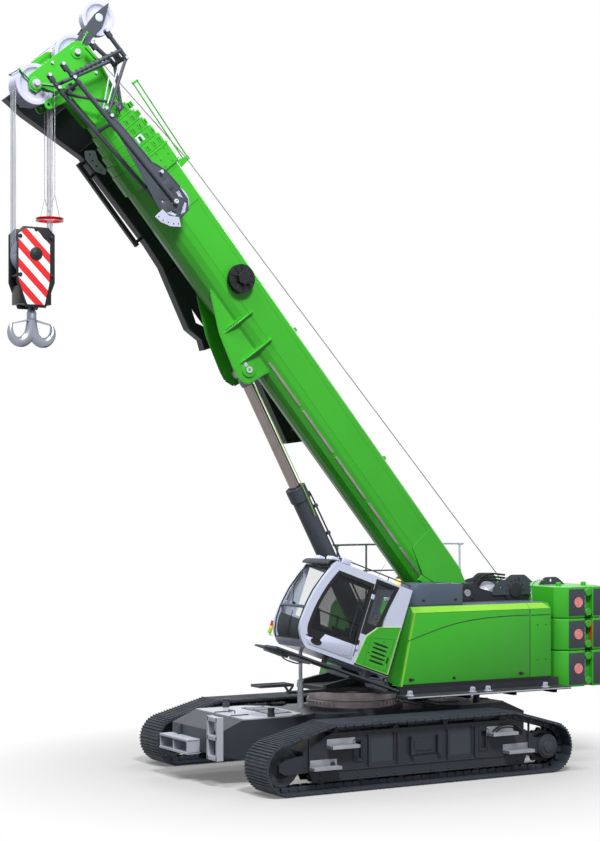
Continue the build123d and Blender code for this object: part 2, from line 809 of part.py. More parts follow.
def make_jib_fork():
    """Folded jib's end frame and deflection sheave, hung on the boom's left side."""
    sheave = (9850, -450)
    y_in, y_out = jib_frame_y
    tip = axle_along
    bars = (                       # from, to (along, out, up), side of the square tube
        ((tip, y_in, -890), (tip - 390, y_in, -880), 84),
        ((tip + 30, y_out, -690), (tip - 390, y_out, -640), 84),
        ((tip, y_in, 160), (tip - 560, y_in, 300), 84),
        ((tip + 30, y_out, 390), (tip - 560, y_out, 410), 84),
        ((tip - 210, y_in, -880), (tip - 450, y_in, 270), 76),
        ((tip - 210, y_out, -670), (tip - 390, y_out, 400), 76),
        ((tip - 390, y_in - 38, -870), (tip - 390, y_out + 38, -650), 76),
        ((tip - 540, y_in - 38, 290), (tip - 540, y_out + 38, 405), 76),
        ((tip - 390, y_in, -880), (sheave[0] + 500, y_in, -620), 90),
        ((tip - 390, y_out, -640), (sheave[0], y_out, sheave[1]), 120),
        ((tip - 540, y_in, 300), (tip - 1160, y_in, -60), 70),
        ((tip - 560, y_out, 400), (tip - 1100, y_out, -480), 60),
        ((tip - 390, y_in, -880), (tip - 1160, y_in, -60), 60),
        ((tip - 1160, y_in - 35, -60), (tip - 1160, y_out + 35, -300), 70),
        ((tip - 1290, y_in - 40, -740), (tip - 1290, y_out + 40, -600), 70),
        ((sheave[0] + 450, y_in - 30, -560), (sheave[0] + 450, y_out + 30, -480), 100),
    )
    body = fuse(bar(start, end, side) for start, end, side in bars)
    plate = ((tip - 1000, -500), (tip - 2400, -220), (9670, -170), (9510, -480), (9640, -740), (9930, -800),
             (10250, -740), (tip - 1100, -600))
    body = body + side_plate(plate, (y_out + 45, y_out + 65))
    body = body + pin_y(*sheave, 300, (y_out - 50, y_out - 5)) + pin_y(*sheave, 60, (boom_half_w + 1, y_out + 80))
    return body + block((10080, 10260), (boom_half_w + running_gap, y_out + 50), (-480, -300))


def make_fly_jib():
    """Folded jib on the boom's right side: a web with flanges along both edges, and its ram."""
    y = -fly_jib_y
    tip = axle_along
    outline = (
        (4270, -150), (tip + 60, -150), (tip + 60, -1260), (tip - 370, -1160), (tip - 1070, -900), (tip - 1620, -700),
        (9300, -650), (8780, -680), (7540, -990), (7210, -900), (7020, -980), (6890, -640), (5890, -390), (4480, -700),
        (4270, -370),
    )
    web = Polygon(*outline, align=None)
    inner = offset(web, amount=-fly_jib_flange, kind=Kind.INTERSECTION)
    slot = Polygon((7790, -640), (7510, -740), (7340, -640), align=None)
    plane = Plane(origin=(0, y + 110, 0), x_dir=(1, 0, 0), z_dir=(0, -1, 0))
    rim = extrude(plane * (web - inner), amount=220, dir=(0, -1, 0))
    core = extrude(Plane(origin=(0, y + 12, 0), x_dir=(1, 0, 0), z_dir=(0, -1, 0)) * (web - slot), amount=24,
                   dir=(0, -1, 0))
    body = rim + core
    for a in (6400, 10000):
        body = body + block((a, a + 80), (y - 5, -boom_half_w - running_gap), (-350, -190))
    ram = bar((9380, y, -800), (11260, y, -800), 80)
    for a in (9420, 10900, 11180):
        ram = ram + block((a, a + 50), (y - 40, y + 40), (-800, -640))
    return body + ram


# ---- luffing cylinder

luff_pin = on_boom(Pos(luff_pin_along, 0, luff_pin_n) * Vertex(0, 0, 0)).center()
cylinder_x = luff_pin.X - luff_foot_x
cylinder_z = luff_pin.Z - luff_foot_z
cylinder_len = math.hypot(cylinder_x, cylinder_z)
cylinder_angle = math.degrees(math.atan2(cylinder_z, cylinder_x))


def on_cylinder(shape):
    return Pos(luff_foot_x, 0, luff_foot_z) * Rot(0, -cylinder_angle, 0) * shape


def make_barrel():
    body = rod((120, 0, 0), (barrel_len, 0, 0), barrel_r) + pin_y(0, 0, eye_r, (-eye_half_w, eye_half_w))
    body = body + rod((barrel_len - gland_len, 0, 0), (barrel_len, 0, 0), gland_r)
    return body - rod((260, 0, 0), (barrel_len + 10, 0, 0), rod_r + running_gap)


def make_rod():
    body = rod((cylinder_len - rod_len, 0, 0), (cylinder_len - 60, 0, 0), rod_r)
    body = body + pin_y(cylinder_len, 0, eye_r, (-eye_half_w, eye_half_w))
    return body - pin_y(cylinder_len, 0, luff_pin_r + running_gap, (-400, 400))


# ---- cab

def tilted(shape):
    return Pos(cab_hinge_x, 0, cab_hinge_z) * Rot(0, -cab_tilt, 0) * Pos(-cab_hinge_x, 0, -cab_hinge_z) * shape


def cab_sketch(inset):
    """Side outline with the bowed windscreen, this far inside the outer skin."""
    z0 = cab_floor_z
    z1 = cab_floor_z + cab_h
    foot = (cab_foot_x, z0)
    bow = (cab_bow_x, cab_bow_z)
    brow = (cab_brow_x, z1)
    path = Line((cab_rear_x, z0), foot)
    path += ThreePointArc(foot, (cab_bow_x - 50, (z0 + cab_bow_z) / 2), bow)
    path += ThreePointArc(bow, ((cab_bow_x + cab_brow_x) / 2 + 85, (cab_bow_z + z1) / 2), brow)
    path += Line(brow, (cab_rear_x, z1))
    path += Line((cab_rear_x, z1), (cab_rear_x, z0))
    face = make_face(path)
    if inset == 0:
        return face
    return offset(face, amount=-inset, kind=Kind.INTERSECTION)


def side_sketch(sketch, y):
    plane = Plane(origin=(0, y[1], 0), x_dir=(1, 0, 0), z_dir=(0, -1, 0))
    return extrude(plane * sketch, amount=y[1] - y[0], dir=(0, -1, 0))


def door_outline(inset):
    """The door's opening in the side wall: rear edge upright, front edge along the windscreen post."""
    z = (cab_floor_z + 50 + inset, cab_floor_z + cab_h - 75 - inset)
    strip = block((door_rear_x + inset, cab_bow_x + 200), (cab_outer_y - cab_wall - 20, cab_outer_y + 20), z)
    bow = side_sketch(cab_sketch(door_post + inset), (cab_outer_y - cab_wall - 30, cab_outer_y + 30))
    return strip & bow


def cab_panes():
    """Window openings as boxes: X, Y and Z ranges, in the skin they are cut through."""
    z0 = cab_floor_z
    top = z0 + cab_h
    left = (cab_outer_y - cab_wall - 5, cab_outer_y + 5)
    right = (cab_inner_y - 5, cab_inner_y + cab_wall + 5)
    rear = (cab_rear_x - 5, cab_rear_x + cab_wall + 5)
    across = (cab_inner_y + 80, cab_outer_y - 80)
    middle = (cab_inner_y + 120, cab_outer_y - 120)
    return {
        "screen_low": ((1500, cab_bow_x + 100), across, (z0 + 120, z0 + 700)),
        "screen_high": ((1500, cab_bow_x + 100), across, (z0 + 750, top - 130)),
        "right": ((500, 1950), right, (z0 + 620, top - 130)),
        "quarter": ((600, door_rear_x - 60), left, (z0 + 820, top - 90)),
        "rear": (rear, middle, (z0 + 800, top - 180)),
        "roof": ((900, 1750), middle, (top - cab_wall - 5, top + 5)),
    }


def make_cab_shell():
    outer = side_sketch(cab_sketch(0), (cab_inner_y, cab_outer_y))
    inner = side_sketch(cab_sketch(cab_wall), (cab_inner_y + cab_wall, cab_outer_y - cab_wall))
    body = outer - inner - door_outline(0)
    for pane in cab_panes().values():
        body = body - block(*pane)
    for i in range(louvre_count):
        z = cab_floor_z + louvre_z + i * louvre_pitch
        body = body - block(louvre_x, (cab_outer_y - louvre_deep, cab_outer_y + 5), (z, z + louvre_h))
    for z in door_knuckles():
        body = body + knuckle((-70, -door_gap), (z - knuckle_len, z - running_gap))
    return body + cab_lugs()


def make_roof_gear():
    """Rail along both sides of the roof, visor with two lamps, and the beacon."""
    top = cab_floor_z + cab_h + running_gap
    front, rear = roof_rail_x
    rail_z = top + roof_rail_h
    gear = []
    for y in roof_rail_y:
        rail = bar((rear, y, rail_z), (front, y, rail_z), roof_rail_t)
        for x in (rear + roof_rail_t / 2, (front + rear) / 2, front - roof_rail_t / 2):
            rail = rail + bar((x, y, top), (x, y, rail_z), roof_rail_t)
        gear.append(rail)
    visor = ((cab_brow_x - 80, top), (cab_brow_x + 40, top), (cab_brow_x + 165, top - 130),
             (cab_brow_x + 180, top - 125), (cab_brow_x + 60, top + 22), (cab_brow_x - 80, top + 22))
    shade = side_plate(visor, (cab_inner_y + 40, cab_outer_y - 40)) - side_sketch(cab_sketch(-running_gap), (0, 3000))
    lamp_z = top + roof_lamp_r + 5
    for y in roof_lamp_y:
        shade = shade + rod((cab_brow_x - 60, y, lamp_z), (cab_brow_x + 20, y, lamp_z), roof_lamp_r)
    gear.append(shade)
    x, y = beacon_place
    gear.append(rod((x, y, top), (x, y, top + beacon_h), beacon_r))
    return Compound(gear)


def door_knuckles():
    return [cab_floor_z + height for height in knuckle_heights]


def knuckle(leaf_x, z):
    """One hinge knuckle on the door's pivot, with its leaf on the outer skin."""
    x = door_rear_x
    y = cab_outer_y + knuckle_r + knuckle_lift
    leaf = block((x + leaf_x[0], x + leaf_x[1]), (cab_outer_y - 2, cab_outer_y + 8), z)
    barrel = rod((x, y, z[0]), (x, y, z[1]), knuckle_r)
    reach = leaf_x[1] if leaf_x[1] < 0 else leaf_x[0]
    bridge = block(sorted((x, x + reach)), (cab_outer_y + 2, cab_outer_y + 8), z)
    return leaf + barrel + bridge


def cab_lugs():
    shape = ((cab_hinge_x - 40, cab_hinge_z - 40), (cab_hinge_x + 40, cab_hinge_z - 40),
             (cab_hinge_x + 200, cab_floor_z + 5), (cab_rear_x, cab_floor_z + 5), (cab_hinge_x - 40, cab_hinge_z + 30))
    low, high = cab_lug_y
    lugs = fuse(side_plate(shape, (y, y + cab_lug_t))
                for y in (low + cab_lug_t + slide_gap, high - slide_gap - cab_lug_t))
    return lugs + pin_y(cab_hinge_x, cab_hinge_z, cab_pin_r, (low - 2, high + cab_lug_t + 2))


def door_pane():
    return door_outline(door_gap + 70) & block((0, 4000), (0, 3000), (cab_floor_z + door_sill_h, 5000))


def make_door():
    skin = block((0, 4000), (cab_outer_y - cab_wall, cab_outer_y), (0, 5000))
    body = (door_outline(door_gap) & skin) - door_pane()
    for z in door_knuckles():
        body = body + knuckle((door_gap, 70), (z, z + knuckle_len))
    return body


def make_door_glass():
    return door_pane() & block((0, 4000), (cab_outer_y - 30, cab_outer_y - 30 + glass_t), (0, 5000))


def make_cab_glass():
    """Panes 15 mm inside the outer skin, filling the shell's window openings."""
    set_in = 15
    panes = cab_panes()
    screen_y = panes["screen_low"][1]
    screen = side_sketch(cab_sketch(set_in), screen_y)
    screen = screen - side_sketch(cab_sketch(set_in + glass_t), (screen_y[0] - 5, screen_y[1] + 5))
    flat = (                       # opening, axis the pane is thin along, where it starts
        ("right", 1, cab_inner_y + set_in),
        ("quarter", 1, cab_outer_y - set_in - glass_t),
        ("rear", 0, cab_rear_x + set_in),
        ("roof", 2, cab_floor_z + cab_h - set_in - glass_t),
    )
    glass = [screen & block(*panes[name]) for name in ("screen_low", "screen_high")]
    for name, axis, start in flat:
        size = list(panes[name])
        size[axis] = (start, start + glass_t)
        glass.append(block(*size))
    return Compound(glass)


def make_seat():
    z0 = cab_floor_z + cab_wall
    base = block((620, 980), (850, 1180), (z0, z0 + 330))
    cushion = block((560, 1080), (780, 1250), (z0 + 330, z0 + 450))
    back = side_plate(((500, z0 + 400), (640, z0 + 440), (540, z0 + 1120), (430, z0 + 1100)), (790, 1240))
    return base + cushion + back


def make_console():
    z0 = cab_floor_z + cab_wall
    desk = block((1500, 1800), (650, 900), (z0, z0 + 380))
    return desk + side_plate(((1500, z0 + 370), (1800, z0 + 370), (1760, z0 + 560), (1620, z0 + 600)), (660, 890))


def make_cab_walk():
    y = (cab_outer_y + 25, cab_outer_y + 470)
    z = (cab_floor_z - 250, cab_floor_z - 205)
    deck = block((cab_rear_x - 50, 2950), y, z) + block((2350, 2950), (1180, cab_outer_y + 30), z)
    arms = None
    for x in (500, 1500):
        arm = block((x, x + 80), (cab_outer_y - 200, y[1] - 40), (z[1] - 5, z[1] + 60))
        post = block((x, x + 80), (cab_outer_y - 200, cab_outer_y - 120), (z[1] - 5, cab_floor_z))
        arms = arm + post if arms is None else arms + arm + post
    return deck + arms


# ---- hook, drawn hanging from the lower head axle

head_axle = on_boom(Pos(axle_along, 0, lower_axle_n) * Vertex(0, 0, 0)).center()
hang_x = head_axle.X
hang_z = head_axle.Z
block_z = hang_z - falls_drop


def make_falls():
    """Rope falls as eight-sided strands, from the head sheave's sides to the block's sheaves."""
    strand = RegularPolygon(rope_r, 8)
    falls = []
    for side in (-1, 1):
        for i in range(fall_count):
            y = (i - (fall_count - 1) / 2) * sheave_pitch
            fall = extrude(strand, amount=falls_drop)
            falls.append(Pos(hang_x + side * rope_line_r, y, block_z) * fall)
    return Compound(falls)


def make_hook_block():
    half = cheek_w / 2
    shape = ((hang_x - half, block_z - 500), (hang_x - half, block_z + block_top - 120),
             (hang_x - half + 120, block_z + block_top), (hang_x + half - 120, block_z + block_top),
             (hang_x + half, block_z + block_top - 120), (hang_x + half, block_z - 500),
             (hang_x + half - 170, block_z - block_bottom), (hang_x - half + 170, block_z - block_bottom))
    body = None
    for side in (-1, 1):
        y = sorted((side * block_plate_y, side * (block_plate_y + block_plate_t)))
        plate = side_plate(shape, y)
        body = plate if body is None else body + plate
    y_out = block_plate_y + block_plate_t + 20
    body = body + pin_y(hang_x, block_z, axle_r, (-y_out, y_out))
    bridge = block((hang_x - half + 60, hang_x + half - 60), (-block_plate_y - 5, block_plate_y + 5),
                   (block_z - block_bottom + 60, block_z - 560))
    bridge = bridge - rod((hang_x, 0, block_z - 1000), (hang_x, 0, block_z - 500), 70 + running_gap)
    return body + bridge


def make_block_sheaves():
    half = block_plate_y - running_gap
    return ring_y(hang_x, block_z, rope_line_r - rope_r - running_gap, axle_r + running_gap, (-half, half))


def make_hook():
    low = block_z - hook_drop
    thick = 70
    z_bowl = low + 360
    outline = Pos(-195, low + 270) * Circle(270) + Pos(195, low + 270) * Circle(270)
    outline += Pos(0, low + 330) * Rectangle(220, 480)
    for side in (-1, 1):
        outline -= Pos(side * 245, z_bowl) * Circle(130)
        outline -= Pos(side * 225, z_bowl + 200) * Rectangle(170, 400)
    body = side_sketch(outline, (-thick, thick))
    body = Pos(hang_x, 0, 0) * body
    shank = rod((hang_x, 0, low + 500), (hang_x, 0, block_z - 600), 70)
    nut = rod((hang_x, 0, block_z - 560 + running_gap), (hang_x, 0, block_z - 450), 120)
    shank = shank + rod((hang_x, 0, block_z - 620), (hang_x, 0, block_z - 540), 70)
    return body + shank + nut


def make_switch_weight():
    """Ring round the rear rope falls, hung by two chains from the lower head axle."""
    x = hang_x - rope_line_r
    z = block_z + block_top + 180
    ring = rod((x, 0, z - 26), (x, 0, z + 26), 250) - rod((x, 0, z - 30), (x, 0, z + 30), 200)
    y = 238.0
    chain = 14.0
    for side in (-1, 1):
        ring = ring + bar((x, side * y, z), (x, side * y, hang_z), chain)
        eye = block((hang_x - 85, hang_x + 85), sorted((side * 229, side * 247)), (hang_z - 85, hang_z + 85))
        arm = block((x - chain / 2, hang_x), sorted((side * 229, side * 247)), (hang_z - 12, hang_z + 12))
        ring = ring + (eye + arm - pin_y(hang_x, hang_z, axle_r + running_gap, (-400, 400)))
    return ring


# ---- all pieces

track = make_track()
track_frame = make_track_frame()
rollers = make_rollers()
wheels = Compound(list(rollers) + [make_end_wheel(1), make_end_wheel(-1), make_final_drive()])
steps = make_steps()

parts = {
    "carbody": make_carbody(),
    "nose_blocks": Compound([make_nose(1), make_nose(-1)]),
    "nose_plates": Compound([make_nose_plate(1), make_nose_plate(-1)]),
    "jack_posts": make_posts(),
    "front_boxes": make_front_boxes(),
    "slew_ring_lower": bearing_ring(ring_lower_r, (carbody_top_z, ring_split_z - running_gap)),
    "slew_ring_upper": bearing_ring(ring_upper_r, (ring_split_z, ring_top_z)),
    "platform": make_platform(),
    "boom_foot_pins": make_foot_pins(),
    "housing_left": make_housing(1),
    "housing_right": make_housing(-1),
    "engine": make_engine(),
    "deck_box": make_deck_box(),
    "side_walks": Compound([make_walk(1), make_walk(-1)]),
    "counterweight_low": make_slab(0),
    "counterweight_middle": make_slab(1),
    "counterweight_top": make_slab(2),
    "handrail": make_handrail(),
    "winch_guards": make_winch_guard(),
    "winch_drum": make_winch_drum(),
    "cab_shell": tilted(make_cab_shell()),
    "cab_glass": tilted(make_cab_glass()),
    "cab_roof_gear": tilted(make_roof_gear()),
    "cab_seat": tilted(Compound([make_seat(), make_console()])),
    "cab_walk": tilted(make_cab_walk()),
    "cab_door": tilted(make_door()),
    "cab_door_glass": tilted(make_door_glass()),
    "boom_base": on_boom(make_boom_base()),
    "cable_reel": on_boom(make_reel()),
    "jib_fork": on_boom(make_jib_fork()),
    "fly_jib": on_boom(make_fly_jib()),
    "boom_head": on_boom(make_head()),
    "head_sheaves_lower": on_boom(make_lower_sheaves()),
    "head_sheaves_upper": on_boom(make_upper_sheaves()),
    "aux_sheave": on_boom(make_aux_sheave()),
    "luff_barrel": on_cylinder(make_barrel()),
    "luff_rod": on_cylinder(make_rod()),
    "hoist_falls": make_falls(),
    "hook_block": make_hook_block(),
    "hook_block_sheaves": make_block_sheaves(),
    "hook": make_hook(),
    "switch_weight": make_switch_weight(),
}
for i in range(1, section_count + 1):
    parts[f"boom_section_{i}"] = on_boom(make_section(i))
for side, name in ((1, "left"), (-1, "right")):
    pieces = {"track": track, "track_frame": track_frame, "track_wheels": wheels, "track_steps": steps}
    for piece, shape in pieces.items():
        parts[f"{piece}_{name}"] = shape if side > 0 else mirror(shape, about=Plane.XZ)

for name, shape in parts.items():
    export_step(shape, f"parts/{name}.step")
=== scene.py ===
import json
import math

import bmesh
import bpy
from mathutils import Matrix, Vector


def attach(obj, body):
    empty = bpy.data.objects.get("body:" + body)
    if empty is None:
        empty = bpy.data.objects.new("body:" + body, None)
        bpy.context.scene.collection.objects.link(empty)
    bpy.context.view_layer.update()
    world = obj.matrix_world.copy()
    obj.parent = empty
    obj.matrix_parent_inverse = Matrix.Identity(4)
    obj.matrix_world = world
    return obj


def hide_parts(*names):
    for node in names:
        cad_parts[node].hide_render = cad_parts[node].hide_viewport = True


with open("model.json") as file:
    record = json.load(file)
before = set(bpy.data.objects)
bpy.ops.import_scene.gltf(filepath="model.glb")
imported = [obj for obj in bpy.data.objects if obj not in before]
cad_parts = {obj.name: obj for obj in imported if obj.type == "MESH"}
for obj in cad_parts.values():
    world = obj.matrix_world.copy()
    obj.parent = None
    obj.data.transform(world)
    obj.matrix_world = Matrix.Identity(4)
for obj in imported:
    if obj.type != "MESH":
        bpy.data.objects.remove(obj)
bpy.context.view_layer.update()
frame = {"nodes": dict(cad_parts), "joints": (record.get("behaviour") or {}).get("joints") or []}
joints = {joint["name"]: joint for joint in frame["joints"]}
scene = bpy.context.scene
print("frame loaded:", len(frame["nodes"]), "nodes")

# places that every piece is measured from, in metres
footPin = Vector(joints["luff"]["pos_m"])
boomDir = Vector(joints["extend_1"]["axis"]).normalized()
backDir = Vector((-boomDir.z, 0, boomDir.x))
boomFrame = Matrix((
    (boomDir.x, 0, backDir.x, footPin.x),
    (0, 1, 0, 0),
    (boomDir.z, 0, backDir.z, footPin.z),
    (0, 0, 0, 1),
))
cabHinge = Vector(joints["cab_level"]["pos_m"])
cabTilt = math.radians(joints["cab_level"]["range_deg"][1])
cabFrame = Matrix.Translation(cabHinge) @ Matrix.Rotation(-cabTilt, 4, "Y") @ Matrix.Translation(-cabHinge)
headAxle = Vector(joints["head_lower_spin"]["pos_m"])
blockAxle = Vector(joints["block_spin"]["pos_m"])
winchAxle = Vector(joints["winch_spin"]["pos_m"])
luffPin = Vector(joints["rod_swing"]["pos_m"])
onLeft = Matrix.Identity(4)
onRight = Matrix.Scale(-1, 4, (0, 1, 0))


# camera, light and floor

def makeCamera():
    view = {"place": (18.54, 29.76, 5.232), "turn": 149.776, "lens": 75.99, "shiftY": 0.0963}
    lens = bpy.data.cameras.new("camera")
    lens.lens = view["lens"]
    lens.sensor_width = 36
    lens.shift_y = view["shiftY"]
    lens.clip_end = 500
    camera = bpy.data.objects.new("camera", lens)
    camera.location = view["place"]
    camera.rotation_euler = (math.radians(90), 0, math.radians(view["turn"]))
    scene.collection.objects.link(camera)
    scene.camera = camera


def makeLight():
    lamps = {
        "keyLamp": {"place": (8, 22, 28), "size": 6, "power": 10400},
        "frontLamp": {"place": (15, 6, 27), "size": 8, "power": 4000},
        "backLamp": {"place": (-18, -14, 24), "size": 14, "power": 2400},
    }
    for name, lamp in lamps.items():
        light = bpy.data.lights.new(name, "AREA")
        light.size = lamp["size"]
        light.energy = lamp["power"]
        holder = bpy.data.objects.new(name, light)
        holder.location = lamp["place"]
        aim = Vector((1, 0, 4)) - Vector(lamp["place"])
        holder.rotation_euler = aim.to_track_quat("-Z", "Y").to_euler()
        scene.collection.objects.link(holder)
    world = bpy.data.worlds.new("studio")
    scene.world = world
    world.use_nodes = True
    tree = world.node_tree
    backdrop = tree.nodes["Background"]
    backdrop.inputs["Color"].default_value = (1, 1, 1, 1)
    rays = tree.nodes.new("ShaderNodeLightPath")
    seen = addMath(tree, "MAXIMUM", rays.outputs["Is Camera Ray"], rays.outputs["Is Glossy Ray"])
    seen = addMath(tree, "MAXIMUM", seen, rays.outputs["Is Transmission Ray"])
    power = tree.nodes.new("ShaderNodeMapRange")
    power.inputs["To Min"].default_value = 0.27
    power.inputs["To Max"].default_value = 1.0
    tree.links.new(seen, power.inputs["Value"])
    tree.links.new(power.outputs["Result"], backdrop.inputs["Strength"])


def addMath(tree, operation, first, second):
    node = tree.nodes.new("ShaderNodeMath")
    node.operation = operation
    for socket, value in zip(node.inputs, (first, second)):
        if isinstance(value, (int, float)):
            socket.default_value = value
        else:
            tree.links.new(value, socket)
    return node.outputs[0]


# node groups for what several finishes share

def newGroup(name, inputs, outputs):
    tree = bpy.data.node_groups.new(name, "ShaderNodeTree")
    for label, kind, value in inputs:
        socket = tree.interface.new_socket(name=label, in_out="INPUT", socket_type=kind)
        socket.default_value = value
    for label, kind in outputs:
        tree.interface.new_socket(name=label, in_out="OUTPUT", socket_type=kind)
    return tree, tree.nodes.new("NodeGroupInput"), tree.nodes.new("NodeGroupOutput")


def objectNoise(tree, scale, detail, stretch=(1, 1, 1)):
    place = tree.nodes.new("ShaderNodeTexCoord")
    turn = tree.nodes.new("ShaderNodeMapping")
    turn.inputs["Scale"].default_value = stretch
    noise = tree.nodes.new("ShaderNodeTexNoise")
    noise.inputs["Detail"].default_value = detail
    tree.links.new(place.outputs["Object"], turn.inputs["Vector"])
    tree.links.new(turn.outputs["Vector"], noise.inputs["Vector"])
    if isinstance(scale, (int, float)):
        noise.inputs["Scale"].default_value = scale
    else:
        tree.links.new(scale, noise.inputs["Scale"])
    return noise.outputs["Fac"]


def mapRange(tree, value, low, high, toLow=0.0, toHigh=1.0):
    node = tree.nodes.new("ShaderNodeMapRange")
    node.inputs["From Min"].default_value = low
    node.inputs["From Max"].default_value = high
    node.inputs["To Min"].default_value = toLow
    node.inputs["To Max"].default_value = toHigh
    tree.links.new(value, node.inputs["Value"])
    return node.outputs["Result"]


def mixColor(tree, share, first, second):
    node = tree.nodes.new("ShaderNodeMix")
    node.data_type = "RGBA"
    for socket, value in ((node.inputs["Factor"], share), (node.inputs["A"], first),
                          (node.inputs["B"], second)):
        if isinstance(value, bpy.types.NodeSocket):
            tree.links.new(value, socket)
        else:
            socket.default_value = value
    return node.outputs["Result"]


def paintSurface():
    # broad fading, fine orange peel and a little dust that settles on what faces up
    tree, inside, out = newGroup("paintSurface", (
        ("Color", "NodeSocketColor", (0.5, 0.5, 0.5, 1)),
        ("Faded", "NodeSocketColor", (0.5, 0.5, 0.5, 1)),
        ("Dust", "NodeSocketFloat", 0.1),
        ("Gloss", "NodeSocketFloat", 0.3),
    ), (("Color", "NodeSocketColor"), ("Roughness", "NodeSocketFloat"), ("Height", "NodeSocketFloat")))
    broad = mapRange(tree, objectNoise(tree, 0.7, 4), 0.35, 0.7)
    base = mixColor(tree, broad, inside.outputs["Color"], inside.outputs["Faded"])
    facing = tree.nodes.new("ShaderNodeNewGeometry")
    split = tree.nodes.new("ShaderNodeSeparateXYZ")
    tree.links.new(facing.outputs["Normal"], split.inputs[0])
    upward = mapRange(tree, split.outputs["Z"], 0.5, 1.0)
    grime = addMath(tree, "MULTIPLY", mapRange(tree, objectNoise(tree, 5, 6), 0.35, 0.75), upward)
    grime = addMath(tree, "MULTIPLY", grime, inside.outputs["Dust"])
    dusty = mixColor(tree, grime, base, (0.3, 0.29, 0.26, 1))
    fine = objectNoise(tree, 240, 2)
    rough = addMath(tree, "ADD", inside.outputs["Gloss"], addMath(tree, "MULTIPLY", broad, 0.08))
    rough = addMath(tree, "ADD", rough, addMath(tree, "MULTIPLY", grime, 0.5))
    tree.links.new(dusty, out.inputs["Color"])
    tree.links.new(rough, out.inputs["Roughness"])
    tree.links.new(fine, out.inputs["Height"])
    return tree


def metalGrain():
    # brushed or cast metal: stretched grain, blotches and darker pits
    tree, inside, out = newGroup("metalGrain", (
        ("Color", "NodeSocketColor", (0.5, 0.5, 0.5, 1)),
        ("Tarnish", "NodeSocketColor", (0.2, 0.18, 0.16, 1)),
        ("Amount", "NodeSocketFloat", 0.4),
        ("Scale", "NodeSocketFloat", 30.0),
        ("Gloss", "NodeSocketFloat", 0.35),
    ), (("Color", "NodeSocketColor"), ("Roughness", "NodeSocketFloat"), ("Height", "NodeSocketFloat")))
    blotch = mapRange(tree, objectNoise(tree, 3, 6), 0.4, 0.7)
    share = addMath(tree, "MULTIPLY", blotch, inside.outputs["Amount"])
    color = mixColor(tree, share, inside.outputs["Color"], inside.outputs["Tarnish"])
    grain = objectNoise(tree, inside.outputs["Scale"], 5)
    rough = addMath(tree, "ADD", inside.outputs["Gloss"], addMath(tree, "MULTIPLY", blotch, 0.18))
    tree.links.new(color, out.inputs["Color"])
    tree.links.new(rough, out.inputs["Roughness"])
    tree.links.new(grain, out.inputs["Height"])
    return tree


def srgb(red, green, blue):
    def linear(value):
        value = value / 255
        return value / 12.92 if value <= 0.04045 else ((value + 0.055) / 1.055) ** 2.4
    return (linear(red), linear(green), linear(blue), 1)


def blankMaterial(name):
    material = bpy.data.materials.new(name)
    material.use_nodes = True
    return material, material.node_tree, material.node_tree.nodes["Principled BSDF"]


def addGroup(tree, group, values):
    node = tree.nodes.new("ShaderNodeGroup")
    node.node_tree = group
    for label, value in values.items():
        node.inputs[label].default_value = value
    return node


def bumpFrom(tree, height, strength, distance):
    bump = tree.nodes.new("ShaderNodeBump")
    bump.inputs["Strength"].default_value = strength
    bump.inputs["Distance"].default_value = distance
    tree.links.new(height, bump.inputs["Height"])
    return bump.outputs["Normal"]


def wireSurface(tree, shader, surface, strength, distance):
    # a group's colour, roughness and height, led to the shader
    tree.links.new(surface.outputs["Color"], shader.inputs["Base Color"])
    tree.links.new(surface.outputs["Roughness"], shader.inputs["Roughness"])
    tree.links.new(bumpFrom(tree, surface.outputs["Height"], strength, distance), shader.inputs["Normal"])


def objectPlace(tree):
    return tree.nodes.new("ShaderNodeTexCoord").outputs["Object"]


def paint(name, color, faded, gloss=0.3, dust=0.12, coat=0.12):
    material, tree, shader = blankMaterial(name)
    surface = addGroup(tree, paintGroup, {"Color": color, "Faded": faded, "Dust": dust, "Gloss": gloss})
    wireSurface(tree, shader, surface, 0.05, 0.002)
    shader.inputs["Specular IOR Level"].default_value = 0.28
    shader.inputs["Coat Weight"].default_value = coat
    shader.inputs["Coat Roughness"].default_value = 0.12
    return material


def metal(name, color, tarnish, amount=0.4, scale=30.0, gloss=0.35, metallic=1.0, bump=0.15):
    material, tree, shader = blankMaterial(name)
    surface = addGroup(tree, metalGroup, {"Color": color, "Tarnish": tarnish, "Amount": amount,
                                          "Scale": scale, "Gloss": gloss})
    wireSurface(tree, shader, surface, bump, 0.003)
    shader.inputs["Metallic"].default_value = metallic
    return material


def wireRope(name):
    # helical strands read from the rope's own height, with painted shade darkening the grooves between them
    material, tree, shader = blankMaterial(name)
    surface = addGroup(tree, metalGroup, {"Color": srgb(176, 178, 188), "Tarnish": srgb(120, 122, 130),
                                          "Amount": 0.4, "Scale": 60.0, "Gloss": 0.4})
    lay = tree.nodes.new("ShaderNodeTexWave")
    lay.wave_type = "BANDS"
    lay.bands_direction = "DIAGONAL"
    lay.inputs["Scale"].default_value = 14
    lay.inputs["Distortion"].default_value = 0
    tree.links.new(objectPlace(tree), lay.inputs["Vector"])
    # painted shade: the wave's low bands darken the grooves between strands
    dark = mixColor(tree, mapRange(tree, lay.outputs["Fac"], 0.0, 0.35, 0.55, 0.0), surface.outputs["Color"],
                    srgb(84, 86, 92))
    tree.links.new(dark, shader.inputs["Base Color"])
    tree.links.new(surface.outputs["Roughness"], shader.inputs["Roughness"])
    tree.links.new(bumpFrom(tree, lay.outputs["Fac"], 0.6, 0.004), shader.inputs["Normal"])
    shader.inputs["Metallic"].default_value = 0.6
    return material


def glass(name, tint, alpha):
    material, tree, shader = blankMaterial(name)
    streaks = mapRange(tree, objectNoise(tree, 3, 5, (1, 1, 3)), 0.3, 0.8, 0.02, 0.09)
    tree.links.new(streaks, shader.inputs["Roughness"])
    shader.inputs["Base Color"].default_value = tint
    shader.inputs["Alpha"].default_value = alpha
    shader.inputs["Specular IOR Level"].default_value = 0.2
    return material


